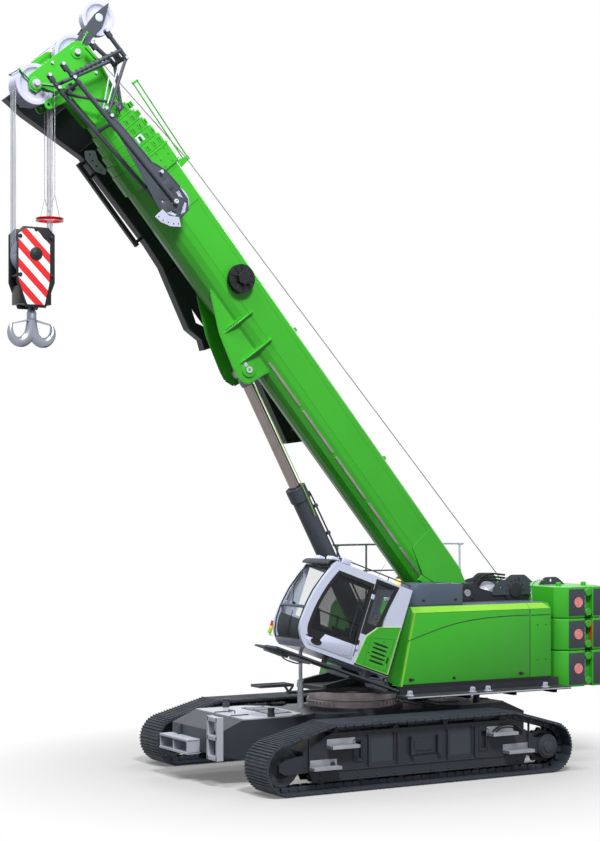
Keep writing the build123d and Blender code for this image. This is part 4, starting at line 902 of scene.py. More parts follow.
    # cover plates on both nose blocks
    mesh = bmesh.new()
    for end in (-1, 1):
        for y0, y1 in ((-0.55, -0.08), (0.0, 0.55)):
            addBox(mesh, (min(end * 1.7, end * 2.2), y0, 1.221), (max(end * 1.7, end * 2.2), y1, 1.236))
            for dx in (1.75, 2.15):
                for y in (y0 + 0.06, y1 - 0.06):
                    addRod(mesh, (end * dx, y, 1.23), (end * dx, y, 1.248), 0.016, 6)
        grip = ((end * 2.7, -0.12, 1.22), (end * 2.7, -0.12, 1.27), (end * 2.7, 0.12, 1.27),
                (end * 2.7, 0.12, 1.22))
        addTube(mesh, grip, 0.012, 8)
    softenEdges(mesh, 0.003, 1)
    makePiece("noseCovers", mesh, "deckBlue", "undercarriage")


makeUndercarriage()
print("undercarriage done")


# uppercarriage

def makeHousings():
    size = {"front": -0.13, "rear": -3.75, "low": 1.7, "high": 3.2, "lean": 0.31, "inY": 0.6, "outY": 1.5,
            "chamfer": 0.11, "seam": (-3.232, -3.216)}
    face = size["outY"]
    for side, turn in (("left", onLeft), ("right", onRight)):
        # two long doors that stand proud of the wall, with one seam between
        mesh = bmesh.new()
        front, rear, low, high = size["front"], size["rear"], size["low"], size["high"]
        top, c = high - size["chamfer"], size["chamfer"]

        def frontAt(z):
            return front - size["lean"] * (z - low) / (high - low)

        addPlate(mesh, ((rear + 0.015, low + 0.035), (size["seam"][0], low + 0.035),
                        (size["seam"][0], top - 0.01), (rear + 0.015, top - 0.01)),
                 (face - 0.002, face + 0.01))
        addPlate(mesh, ((size["seam"][1], low + 0.035), (frontAt(low) - 0.05, low + 0.035),
                        (frontAt(top) - 0.05, top - 0.01), (size["seam"][1], top - 0.01)),
                 (face - 0.002, face + 0.01))
        softenEdges(mesh, 0.006, 2)
        makePiece("sideDoors_" + side, mesh, "green", "upper", turn)
        # lime bands of painted highlight: along the chamfer, split at the seam, and down the leaning front edge,
        # where these edges take the light
        mesh = bmesh.new()
        for x0, x1, x2, x3 in ((rear + 0.14, size["seam"][0], size["seam"][0], rear + 0.03),
                               (size["seam"][1], frontAt(high) - 0.01, frontAt(top), size["seam"][1])):
            strip = addPlate(mesh, ((x0, 0), (x1, 0), (x2, -c * 1.41), (x3, -c * 1.41)), (-0.001, 0.007))
            bmesh.ops.rotate(mesh, matrix=Matrix.Rotation(math.radians(45), 3, "X"), verts=strip)
            bmesh.ops.translate(mesh, vec=(0, face - c, high), verts=strip)
        addPlate(mesh, ((front - 0.004, low), (frontAt(high) - 0.004, high - 0.1),
                        (frontAt(high) - 0.045, high - 0.1), (front - 0.045, low)),
                 (face - 0.002, face + 0.012))
        makePiece("edgeHighlightBands_" + side, mesh, "lime", "upper", turn)
        # black: a painted shade line along the long crease over the doors, then the seam, drop handles, latch,
        # bolts and the foot strip
        mesh = bmesh.new()
        creaseShadeLine = ((-0.299, 2.561), (-0.745, 2.698), (-1.369, 2.855), (-2.006, 2.938), (-2.654, 2.969),
                  (-3.2, 2.971))
        # painted shade: a black line laid along the crease
        addTube(mesh, smoothPath([(x, face + 0.0085, z) for x, z in creaseShadeLine], 4), 0.0075, 6)
        addTube(mesh, [(x, face + 0.0085, 2.967) for x in (-3.245, -3.72)], 0.0075, 6)
        addBox(mesh, (size["seam"][0], face - 0.002, low + 0.03), (size["seam"][1], face + 0.003, top))
        addBox(mesh, (rear, face - 0.002, low - 0.03), (front, face + 0.006, low + 0.033))
        for x in (-0.384, -3.008):
            drop = [(x + dx, 1.82 + dz) for dx, dz in ((-0.075, 0), (-0.05, 0.012), (0.02, 0.036),
                                                       (0.05, 0.03), (0.066, 0), (0.05, -0.03),
                                                       (0.02, -0.036), (-0.05, -0.012))]
            addPlate(mesh, drop, (face + 0.008, face + 0.018))
            addRod(mesh, (x + 0.025, face + 0.016, 1.82), (x + 0.025, face + 0.022, 1.82), 0.02, 16)
        addBox(mesh, (-1.408, face + 0.008, 1.782), (-1.348, face + 0.018, 1.834))
        for x in (-3.407, -3.615):
            for z in (2.77, 2.075):
                addRod(mesh, (x, face + 0.008, z), (x, face + 0.016, z), 0.014, 6)
        makePiece("doorTrimAndCreaseShade_" + side, mesh, "black", "upper", turn)
        # roof deck with a raised tread
        mesh = bmesh.new()
        y0, y1 = size["inY"] + 0.01, face - c - 0.01
        if side == "left":
            addBox(mesh, (rear + 0.02, y0, high), (-1.69, y1, high + 0.012))
        else:
            addBox(mesh, (rear + 0.02, y0, high), (frontAt(high) - 0.03, y1, high + 0.012))
        for i in range(14 if side == "left" else 24):
            for j in range(6):
                x, y = rear + 0.2 + i * 0.135, y0 + 0.09 + j * 0.11
                addRod(mesh, (x, y, high + 0.01), (x, y, high + 0.018), 0.014, 6)
        makePiece("roofDeck_" + side, mesh, "deckBlue", "upper", turn)


def makeRoofCover():
    # rounded cover on the left roof, with a flat proud side, seams on its top and two latches
    size = {"y0": 0.62, "y1": 1.38, "low": 3.2, "rear": -1.676}
    outline = ((size["rear"], size["low"]), (-0.517, size["low"]), (-0.53, 3.33), (-0.556, 3.47),
               (-0.588, 3.56), (-0.63, 3.62), (-0.69, 3.64), (size["rear"], 3.632))
    mesh = bmesh.new()
    addPlate(mesh, outline, (size["y0"], size["y1"] - 0.008))
    inset = [(x * 0.97 - 0.035, 3.42 + (z - 3.42) * 0.86) for x, z in outline]
    addPlate(mesh, inset, (size["y1"] - 0.01, size["y1"]))
    softenEdges(mesh, 0.012, 3)
    makePiece("roofCover", mesh, "deckBlue", "upper", smooth=40, replaced=("deck_box",))
    mesh = bmesh.new()
    for x in (-1.4, -1.05):
        addBox(mesh, (x - 0.006, size["y0"] + 0.02, 3.628), (x + 0.006, size["y1"] - 0.02, 3.642))
    for x in (-1.5, -0.75):
        addBox(mesh, (x - 0.03, size["y1"] - 0.004, 3.3), (x + 0.03, size["y1"] + 0.008, 3.34))
        addRod(mesh, (x, size["y1"], 3.32), (x, size["y1"] + 0.014, 3.32), 0.012, 12)
    makePiece("roofLatches", mesh, "black", "upper")


def makeWalks():
    size = {"y0": 1.5005, "y1": 1.9, "z": 1.545, "front": -0.04, "rear": -3.95}
    for side, turn in (("left", onLeft), ("right", onRight)):
        mesh = bmesh.new()
        addBox(mesh, (size["rear"], size["y0"], size["z"] - 0.045),
               (size["front"], size["y0"] + 0.02, size["z"]))
        addBox(mesh, (size["rear"], size["y1"] - 0.02, size["z"] - 0.045),
               (size["front"], size["y1"], size["z"]))
        for i in range(66):
            x = size["rear"] + i * 0.06
            addBox(mesh, (x, size["y0"] + 0.01, size["z"] - 0.035),
                   (x + 0.008, size["y1"] - 0.01, size["z"] - 0.002))
        for i in range(6):
            y = size["y0"] + 0.05 + i * 0.058
            addBox(mesh, (size["rear"], y, size["z"] - 0.03), (size["front"], y + 0.008, size["z"] - 0.006))
        for x in (-3.6, -2.6, -1.5, -0.45):
            addPlate(mesh, ((x - 0.04, 1.44), (x + 0.04, 1.44), (x + 0.04, 1.512), (x - 0.04, 1.512)),
                     (size["y0"], size["y1"] - 0.06))
        softenEdges(mesh, 0.002, 1)
        makePiece("sideWalk_" + side, mesh, "darkGrey", "upper", turn)
        # pale edge line, and the silver lashing clevises that stand on the walk
        mesh = bmesh.new()
        addBox(mesh, (size["rear"], size["y1"] - 0.004, size["z"] - 0.034),
               (size["front"], size["y1"] + 0.003, size["z"] - 0.008))
        for x in (-3.42, -2.016, -1.649, -0.193):
            for shift in (-0.03, 0.018):
                addPlate(mesh, ((x - 0.05, size["z"]), (x + 0.05, size["z"]), (x + 0.035, size["z"] + 0.1),
                                (x - 0.035, size["z"] + 0.1)), (1.75 + shift, 1.75 + shift + 0.012))
            addRod(mesh, (x, 1.7, size["z"] + 0.07), (x, 1.8, size["z"] + 0.07), 0.018, 12)
            addBox(mesh, (x - 0.06, 1.69, size["z"] - 0.002), (x + 0.06, 1.81, size["z"] + 0.012))
        softenEdges(mesh, 0.003, 1, 50)
        makePiece("walkFeet_" + side, mesh, "pale", "upper", turn)


def makeSlabs():
    # cast weights with cut corners, a bollard recess, and dark side panels with a reflector
    size = {"front": -3.9503, "len": 1.35, "half": 1.55, "corner": 0.26, "edge": 0.21,
            "recess": (0.635, 0.835), "deep": 0.13, "bollard": 0.12}
    levels = {"low": (1.48, 2.22), "middle": (2.22, 2.87), "top": (2.87, 3.51)}
    front, rear, half, c, e = size["front"], size["front"] - size["len"], size["half"], size["corner"], size["edge"]
    near, far = front - size["recess"][0], front - size["recess"][1]
    depth = half - size["deep"]
    for name, (z0, z1) in levels.items():
        mesh = bmesh.new()
        plan = ((front, -half + e), (front - e, -half), (near, -half), (near, -depth), (far, -depth),
                (far, -half), (rear + c, -half), (rear, -half + 2 * c), (rear, half - 2 * c),
                (rear + c, half), (far, half), (far, depth), (near, depth), (near, half), (front - e, half),
                (front, half - e))
        base = [mesh.verts.new((x, y, z0 + 0.006)) for x, y in plan]
        made = bmesh.ops.extrude_face_region(mesh, geom=[mesh.faces.new(base)])["geom"]
        bmesh.ops.translate(mesh, vec=(0, 0, z1 - z0 - 0.012),
                            verts=[item for item in made if isinstance(item, bmesh.types.BMVert)])
        softenEdges(mesh, 0.018, 3)
        mid, x = (z0 + z1) / 2, (near + far) / 2
        profile = ((0, depth - 0.01), (0.06, depth - 0.01), (0.06, half - 0.05), (0.08, half - 0.03),
                   (0.08, half - 0.008), (0.07, half), (0, half))
        for side in (-1, 1):
            for z in (z0 + size["bollard"], z1 - size["bollard"]):
                addTurned(mesh, sided(profile, side), (x, 0, z), 28)
        makePiece("slab_" + name, mesh, "green", "upper", smooth=35, replaced=("counterweight_" + name,))
        for side, turn in (("left", onLeft), ("right", onRight)):
            mesh = bmesh.new()
            addBox(mesh, (near + 0.008, half - 0.002, z0 + 0.05),
                   (front - e - 0.012, half + 0.008, z1 - 0.05))
            addBox(mesh, (rear + c + 0.02, half - 0.002, z0 + 0.05), (far - 0.015, half + 0.008, z1 - 0.05))
            softenEdges(mesh, 0.006, 2)
            makePiece("slabPanel_%s_%s" % (name, side), mesh, "weightGrey", "upper", turn)
            mesh = bmesh.new()
            # red reflector disc, whose finish glows as painted light
            profile = ((0, 0), (0.105, 0), (0.105, 0.012), (0.09, 0.016), (0.085, 0.01), (0, 0.012))
            addTurned(mesh, profile, (front - 0.46, half + 0.006, mid), 40)
            makePiece("slabReflector_%s_%s" % (name, side), mesh, "reflector", "upper", turn)
            # chain of oval links from bollard to bollard, and a red sling in the middle slab
            mesh = bmesh.new()
            low, high = z0 + size["bollard"], z1 - size["bollard"]
            count = round((high - low) / 0.052)
            for i in range(count + 1):
                z = low + (high - low) * i / count
                loop = [(x + 0.055 + 0.014 * math.cos(t) * (i % 2),
                         half - 0.065 + 0.014 * math.cos(t) * (1 - i % 2),
                         z + 0.032 * math.sin(t)) for t in (0, 1.05, 2.1, 3.14, 4.2, 5.25, 6.28)]
                addTube(mesh, loop, 0.0065, 6)
            if name == "middle":
                sling = [(x - 0.07 + 0.012 * math.sin(i), half - 0.02,
                          low - 0.06 + (high - low + 0.12) * i / 6) for i in range(7)]
                markFaces(addTube(mesh, smoothPath(sling, 2), 0.02, 8), 1)
            makePiece("slabChain_%s_%s" % (name, side), mesh, ["zinc", "red"], "upper", turn, smooth=40)
    # pegs that centre the next slab, and a lashing chain from the lug plate down the front
    mesh = bmesh.new()
    for side in (-1, 1):
        for x in (front - 0.35, rear + 0.35):
            addTurned(mesh, ((0, 3.5), (0.055, 3.5), (0.055, 3.56), (0.04, 3.58), (0, 3.58)),
                      (x, side * 1.05, 0), 20, (0, 0, 1))
    makePiece("slabPegs", mesh, "green", "upper")
    mesh = bmesh.new()
    for side in (-1, 1):
        route = smoothPath(((-4.3, side * 0.575, 3.6), (-4.1, side * 0.58, 3.6), (-3.97, side * 0.6, 3.48),
                            (-3.945, side * 0.62, 3.2), (-3.94, side * 0.63, 2.8)), 6)
        for i, (a, b) in enumerate(zip(route, route[1:])):
            mid, run = (a + b) / 2, (b - a) * 0.62
            across = run.cross(Vector((0, 1, 0))).normalized() * 0.014 if i % 2 else Vector((0, 0.014, 0))
            loop = [mid + run * math.cos(t) + across * math.sin(t) for t in (0, 1.05, 2.1, 3.14, 4.2, 5.25,
                                                                             6.28)]
            addTube(mesh, loop, 0.007, 6)
    makePiece("lugChains", mesh, "zinc", "upper", smooth=40)


def makeWinchPlates():
    # side plates of the winch with an eye on top, and the lashing lugs on the top slab
    size = {"y": 0.5503, "lugY": 0.52, "thick": 0.04}
    guard = ((-3.93, 3.33), (-3.0, 3.33), (-3.03, 3.446), (-3.08, 3.53), (-3.164, 3.578), (-3.34, 3.615),
             (-3.4, 3.67), (-3.47, 3.706), (-3.79, 3.702), (-3.87, 3.64), (-3.929, 3.533))
    lug = ((-4.86, 3.511), (-4.2, 3.511), (-4.235, 3.56), (-4.309, 3.635), (-4.37, 3.665), (-4.62, 3.668),
           (-4.7, 3.635), (-4.82, 3.54))
    mesh = bmesh.new()
    for side in (-1, 1):
        addPierced(mesh, guard, ((-3.63, 3.635, 0.036), (-3.2, 3.47, 0.025)),
                   between(side, size["y"], size["y"] + size["thick"]))
        addPierced(mesh, lug, ((-4.5, 3.6, 0.036),),
                   between(side, size["lugY"], size["lugY"] + size["thick"]))
        out = side * (size["y"] + size["thick"])
        addStrip(mesh, guard[1:], out - side * 0.02, 0.06, 0.014)
    makePiece("winchPlates", mesh, "slate", "upper", replaced=("winch_guards",), slot="dark_grey")


def makeHandrail():
    size = {"y": -1.3, "top": 4.34, "mid": 3.8, "foot": 3.2, "r": 0.021}
    posts = (-3.5, -2.32, -1.14, -0.44)
    mesh = bmesh.new()
    y, top, r = size["y"], size["top"], size["r"]
    path = smoothPath(((posts[0], y, size["foot"]), (posts[0], y, top - 0.16),
                       (posts[0] + 0.02, y, top - 0.03), (posts[0] + 0.14, y, top - 0.001),
                       (posts[-1] - 0.14, y, top - 0.001), (posts[-1] - 0.02, y, top - 0.03),
                       (posts[-1], y, top - 0.16), (posts[-1], y, size["foot"])), 5)
    addTube(mesh, path, r, 12)
    addTube(mesh, ((posts[0], y, size["mid"]), (posts[-1], y, size["mid"])), r * 0.8, 10)
    for x in posts[1:-1]:
        addTube(mesh, ((x, y, size["foot"]), (x, y, top)), r, 12)
    for x in posts:
        addRod(mesh, (x, y, size["foot"]), (x, y, size["foot"] + 0.02), 0.05, 12)
        addRod(mesh, (x, y, size["foot"] + 0.02), (x, y, size["foot"] + 0.09), 0.028, 12)
    makePiece("handrail", mesh, "pale", "upper", smooth=40, replaced=("handrail",))


def makeBoomFeet():
    # what is welded to the foot plates: bosses round the pin, ribs, lifting eyes and lock plates
    mesh = bmesh.new()
    for side in (-1, 1):
        y0, y1 = side * 0.545, side * 0.585
        profile = ((0.0765, y0), (0.2, y0), (0.2, y1 - side * 0.01), (0.19, y1), (0.0765, y1), (0.0765, y0))
        addTurned(mesh, profile, (footPin.x, 0, footPin.z), 40)
        boltCircle(mesh, footPin, 0.14, 8, (side * 0.58, side * 0.6), 0.02)
        for x0, z0, x1, z1 in ((-0.5, 2.45, -1.6, 2.95), (-3.85, 3.2, -2.9, 3.2), (-2.85, 1.75, -2.5, 3.1)):
            addBar(mesh, (x0, side * 0.565, z0), (x1, side * 0.565, z1), 0.035, 0.05)
        addPlate(mesh, ((-0.2, 1.85), (0.5, 1.75), (0.5, 1.68), (-0.2, 1.68)), between(side, 0.545, 0.575))
    softenEdges(mesh, 0.006, 2)
    makePiece("footPlateRibs", mesh, "darkGrey", "upper")
    mesh = bmesh.new()
    for side in (-1, 1):
        profile = ((0, 0.355), (0.072, 0.355), (0.075, 0.36), (0.075, 0.6), (0.07, 0.61), (0.03, 0.61),
                   (0.028, 0.604), (0, 0.604))
        addTurned(mesh, sided(profile, side), (footPin.x, 0, footPin.z), 36)
    makePiece("footPins", mesh, "zinc", "upper", replaced=("boom_foot_pins",))


def makeWinch():
    # rope laid on the drum in close turns, with the flanges and their bolts
    size = {"turns": 34, "laid": 0.79}
    mesh = bmesh.new()
    profile = [(0, -0.44), (0.06, -0.44), (0.06, -0.42), (0.34, -0.42), (0.36, -0.41), (0.36, -0.4),
               (0.34, -0.395), (0.285, -0.395)]
    step = size["laid"] / size["turns"]
    for i in range(size["turns"]):
        y = (i + 0.5) * step - size["laid"] / 2
        profile += [(0.287, y - step * 0.48), (0.298, y - step * 0.2), (0.298, y + step * 0.2),
                    (0.287, y + step * 0.48)]
    profile += [(0.285, 0.395), (0.34, 0.395), (0.36, 0.4), (0.36, 0.41), (0.34, 0.42), (0.06, 0.42),
                (0.06, 0.44), (0, 0.44)]
    addTurned(mesh, profile, winchAxle, 56)
    for side in (-1, 1):
        boltCircle(mesh, winchAxle, 0.2, 12, (side * 0.418, side * 0.432), 0.02)
    makePiece("winchDrum", mesh, "rope", "winch", replaced=("winch_drum",))
    # drive housing and hydraulic motor outside the left plate, and its hoses
    mesh = bmesh.new()
    for side in (-1, 1):
        profile = ((0, 0.545), (0.27, 0.545), (0.27, 0.57), (0.25, 0.585), (0.16, 0.59), (0.15, 0.62),
                   (0.08, 0.625), (0, 0.625))
        centre = Vector((winchAxle.x, 0, 3.42))
        addTurned(mesh, sided(profile, side), centre, 40)
        boltCircle(mesh, centre, 0.21, 12, (side * 0.58, side * 0.598), 0.018)
    makePiece("winchDrive", mesh, "darkGrey", "upper")
    mesh = bmesh.new()
    for shift in (0, 0.06, 0.12):
        path = smoothPath(((-3.5, 0.3, 3.72 - shift), (-3.1 + shift, 0.33, 3.75 - shift),
                           (-2.8, 0.34, 3.62 - shift), (-2.7 + shift, 0.36, 3.3), (-2.75, 0.38, 2.7)))
        addTube(mesh, path, 0.02, 8)
    makePiece("winchHoses", mesh, "rubber", "upper", smooth=40)


def makeDeckGear():
    # valve block, tank and hose bundles that show between the boom's foot plates
    mesh = bmesh.new()
    addBox(mesh, (-1.9, -0.36, 1.65), (-1.3, 0.36, 2.1))
    for i in range(5):
        addBox(mesh, (-1.85 + i * 0.11, -0.3, 2.1), (-1.78 + i * 0.11, 0.3, 2.2))
        addRod(mesh, (-1.815 + i * 0.11, 0.3, 2.15), (-1.815 + i * 0.11, 0.36, 2.15), 0.03, 12)
    addRod(mesh, (-3.2, -0.3, 1.95), (-3.2, 0.3, 1.95), 0.24, 32)
    softenEdges(mesh, 0.01, 2, 50)
    makePiece("valveBlock", mesh, "castSteel", "upper")
    mesh = bmesh.new()
    for i in range(6):
        y = -0.2 + i * 0.08
        path = smoothPath(((-1.85 + i * 0.1, y, 2.2), (-1.9 + i * 0.08, y, 2.42), (-2.2, y * 0.9, 2.5),
                           (-2.4, y * 0.8, 2.3), (-2.55, y * 0.7, 1.9), (-2.7, y * 0.7, 1.68)))
        addTube(mesh, path, 0.018, 8)
    makePiece("deckHoses", mesh, "rubber", "upper", smooth=40)


makeHousings()
makeRoofCover()
makeWalks()
makeSlabs()
makeWinchPlates()
makeHandrail()
makeBoomFeet()
makeWinch()
makeDeckGear()
print("uppercarriage done")


# cab, in its level place and then tilted with cabFrame

cabSize = {"rear": 0.2, "floor": 1.885, "top": 3.61, "inY": 0.5, "outY": 1.53, "doorRear": 1.05, "sill": 2.26}
screenCurve = ((2.06, 1.885), (2.21, 1.93), (2.3, 2.1), (2.35, 2.33), (2.34, 2.6), (2.27, 2.95), (2.14, 3.3),
               (1.975, 3.61))


def screenX(z):
    # windscreen's outside at a height, between the points of its curve
    for (x0, z0), (x1, z1) in zip(screenCurve, screenCurve[1:]):
        if z <= z1:
            return x0 + (x1 - x0) * max(0, z - z0) / (z1 - z0)
    return screenCurve[-1][0]


def makeCabSkin():
    face = cabSize["outY"]
    # green panel at the rear, slotted, with a lime edge round it
    panel = ((0.225, 1.93), (0.985, 1.93), (0.905, 2.47), (0.7, 2.71), (0.64, 2.73), (0.225, 2.86))
    slots = [2.0725 + i * 0.084 for i in range(5)]
    lenses = [((0.35, z), (0.42, z - 0.018), (0.66, z - 0.018), (0.73, z), (0.66, z + 0.018),
               (0.42, z + 0.018)) for z in slots]
    mesh = bmesh.new()
    addPierced(mesh, panel, lenses, (face - 0.004, face + 0.01))
    softenEdges(mesh, 0.004, 1)
    makePiece("cabRearPanel", mesh, "green", "cab", cabFrame)
    mesh = bmesh.new()
    addStrip(mesh, panel, face + 0.006, 0.014, 0.02, True)
    softenEdges(mesh, 0.003, 1)
    makePiece("cabLimeEdges", mesh, "lime", "cab", cabFrame)
    mesh = bmesh.new()
    # painted shade: black boxes behind the five slots stand in for the shade inside the vents
    for z in slots:
        addBox(mesh, (0.343, face - 0.0135, z - 0.0215), (0.737, face - 0.006, z + 0.0215))
    addStrip(mesh, ((0.29, 1.975), (0.8, 1.975), (0.8, 2.48), (0.29, 2.6)), face + 0.01, 0.004, 0.006, True)
    for x, z in ((0.5, 2.49), (0.765, 2.2), (0.88, 2.35)):
        addRod(mesh, (x, face, z), (x, face + 0.015, z), 0.012, 12)
    addBox(mesh, (0.3, face + 0.006, 2.12), (0.335, face + 0.014, 2.24))
    addBox(mesh, (0.205, face - 0.002, 1.9), (1.0, face + 0.012, 1.928))
    # surround that joins the quarter pane to the door's glass
    surround = ((1.045, 2.5), (1.045, 3.57), (0.5, 3.57), (0.6, 3.12), (0.675, 2.745), (0.72, 2.73),
                (0.925, 2.5))
    addPierced(mesh, surround, [((0.98, 2.72), (0.98, 3.5), (0.61, 3.5), (0.69, 3.1), (0.77, 2.72))],
               (face - 0.003, face + 0.006))
    softenEdges(mesh, 0.002, 1)
    makePiece("cabTrimAndVentShade", mesh, "black", "cab", cabFrame)

    # rubber seals round every pane
    mesh = bmesh.new()
    for y in (0.58, 1.45):
        for low, high in ((2.005, 2.585), (2.635, 3.48)):
            steps = 8
            path = [(screenX(low + (high - low) * i / steps) + 0.002, y, low + (high - low) * i / steps)
                    for i in range(steps + 1)]
            addTube(mesh, path, 0.013, 8)
    for z in (2.005, 3.48):
        addRod(mesh, (screenX(z), 0.58, z), (screenX(z), 1.45, z), 0.013, 8)
    side = cabSize["inY"] - 0.001
    window = ((0.5, 2.505), (1.95, 2.505), (1.95, 3.48), (0.5, 3.48), (0.5, 2.505))
    addStrip(mesh, window, side, 0.012, 0.03)
    makePiece("windowSeals", mesh, "black", "cab", cabFrame)

    # grey bar between the two front panes
    mesh = bmesh.new()
    addBox(mesh, (2.29, 0.56, 2.588), (screenX(2.61) + 0.008, 1.47, 2.632))
    softenEdges(mesh, 0.006, 2)
    makePiece("screenBar", mesh, "deckBlue", "cab", cabFrame)

    # long wiper on the upper pane
    mesh = bmesh.new()
    low, high = (screenX(2.66) + 0.03, 1.02, 2.66), (screenX(3.05) + 0.035, 0.71, 3.05)
    addRod(mesh, low, (screenX(2.66) - 0.03, 1.02, 2.65), 0.022, 12)
    addBar(mesh, low, high, 0.02, 0.012)
    blade = [(screenX(z) + 0.02, 0.66 + (3.36 - z) * 0.14, z) for z in (2.7, 2.86, 3.02, 3.2, 3.38)]
    addTube(mesh, blade, 0.015, 6)
    path = [(screenX(z) + 0.014, 1.12, z) for z in (2.06, 2.2, 2.35, 2.5)]
    addTube(mesh, path, 0.008, 6)
    addBar(mesh, (screenX(2.06) + 0.02, 1.12, 2.04), (screenX(2.3) + 0.025, 1.12, 2.3), 0.016, 0.01)
    makePiece("wipers", mesh, "black", "cab", cabFrame)


def makeRoof():
    roof = cabSize["top"]
    mesh = bmesh.new()
    # rail along both sides of the roof, on posts, and the visor over the screen
    for y in (0.6, 1.45):
        path = smoothPath(((1.86, y, roof), (1.86, y, roof + 0.05), (1.81, y, roof + 0.085),
                           (0.35, y, roof + 0.085), (0.25, y, roof + 0.07), (0.24, y, roof)), 4)
        addTube(mesh, path, 0.013, 10)
        for x in (0.75, 1.3):
            addRod(mesh, (x, y, roof - 0.005), (x, y, roof + 0.085), 0.01, 8)
    shade = [(1.9, roof + 0.003)]
    shade += [(1.975 + 0.172 * math.sin(t), roof + 0.022 - 0.13 * (1 - math.cos(t))) for t in (0, 0.4, 0.8,
            1.2, 1.5)]
    shade += [(1.975 + 0.155 * math.sin(t), roof + 0.006 - 0.13 * (1 - math.cos(t))) for t in (1.5, 1.2, 0.8,
            0.4)]
    addPlate(mesh, shade, (0.545, 1.485))
    softenEdges(mesh, 0.002, 1, 50)
    makePiece("roofRail", mesh, "slate", "cab", cabFrame, smooth=40, replaced=("cab_roof_gear",))
    # work lamps in rounded white boxes at both front corners
    mesh = bmesh.new()
    for y in (0.78, 1.26):
        addBox(mesh, (1.87, y - 0.1, roof + 0.004), (2.02, y + 0.1, roof + 0.09))
    softenEdges(mesh, 0.02, 3)
    for y in (0.73, 0.83, 1.21, 1.31):
        markFaces(addRod(mesh, (2.0, y, roof + 0.05), (2.026, y, roof + 0.05), 0.032, 16), 1)
    makePiece("workLamps", mesh, ["white", "lamp"], "cab", cabFrame, slot="pale_grey")
    mesh = bmesh.new()
    profile = ((0, 0), (0.085, 0), (0.085, 0.03), (0.07, 0.04), (0, 0.04))
    addTurned(mesh, profile, (0.36, 1.2, roof), 28, (0, 0, 1))
    makePiece("beaconFoot", mesh, "black", "cab", cabFrame, smooth=40)
    mesh = bmesh.new()
    profile = ((0, 0.04), (0.066, 0.04), (0.066, 0.11), (0.056, 0.145), (0.034, 0.165), (0, 0.172))
    addTurned(mesh, profile, (0.36, 1.2, roof), 28, (0, 0, 1))
    makePiece("beacon", mesh, "beacon", "cab", cabFrame, smooth=60)
    # roof box, aerial and hatch frame
    mesh = bmesh.new()
    addBox(mesh, (1.68, 1.37, roof + 0.01), (1.86, 1.52, roof + 0.11))
    for a, b in (((0.88, 0.6), (1.77, 0.6)), ((1.77, 0.6), (1.77, 1.43)), ((1.77, 1.43), (0.88, 1.43)),
                 ((0.88, 1.43), (0.88, 0.6))):
        addBar(mesh, (a[0], a[1], roof + 0.005), (b[0], b[1], roof + 0.005), 0.04, 0.02)
    softenEdges(mesh, 0.008, 2)
    makePiece("roofTrim", mesh, "white", "cab", cabFrame)
    mesh = bmesh.new()
    addRod(mesh, (0.55, 0.7, roof), (0.45, 0.7, roof + 0.42), 0.004, 6)
    addRod(mesh, (0.55, 0.7, roof - 0.002), (0.55, 0.7, roof + 0.04), 0.018, 12)
    addBox(mesh, (0.4, 0.95, roof), (0.5, 1.08, roof + 0.05))
    makePiece("aerial", mesh, "black", "cab", cabFrame)


def makeDoorSkin():
    face = cabSize["outY"]
    mesh = bmesh.new()
    low = ((1.075, 1.965), (2.08, 1.965), (2.15, 2.03), (2.17, 2.1), (1.86, 2.1), (1.79, 2.245),
           (1.075, 2.245))
    addPlate(mesh, low, (face - 0.004, face + 0.009))
    softenEdges(mesh, 0.006, 2)
    makePiece("doorPanel", mesh, "white", "door", cabFrame)
    mesh = bmesh.new()
    # slim black frame that stands proud of the pane, the bar across it, the handle and its cup
    addBar(mesh, (1.13, face - 0.016, 2.64), (2.09, face - 0.016, 2.63), 0.02, 0.035)
    cup = addTurned(mesh, ((0, 0.008), (0.05, 0.008), (0.05, 0.014), (0.042, 0.017), (0.038, 0.011),
                           (0, 0.011)), (0, face, 0), 24)
    bmesh.ops.scale(mesh, vec=(2.5, 1, 1.2), verts=cup)
    bmesh.ops.translate(mesh, vec=(1.93, 0, 2.055), verts=cup)
    addBox(mesh, (1.88, face + 0.008, 2.055), (1.98, face + 0.026, 2.07))
    addStrip(mesh, ((1.14, 2.24), (1.14, 2.02), (1.3, 1.985)), face + 0.008, 0.004, 0.006)
    addStrip(mesh, ((1.13, 2.27), (1.8, 2.27), (1.87, 2.12), (2.18, 2.12)), face + 0.001, 0.014, 0.024)
    softenEdges(mesh, 0.003, 1)
    makePiece("doorTrim", mesh, "black", "door", cabFrame)
    mesh = bmesh.new()
    # grab bar inside the door's rear edge
    path = smoothPath(((1.2, face - 0.06, 2.36), (1.2, face - 0.1, 2.4), (1.2, face - 0.1, 2.95),
                       (1.2, face - 0.06, 3.0)), 4)
    addTube(mesh, path, 0.013, 8)
    makePiece("doorGrab", mesh, "pale", "door", cabFrame, smooth=40)


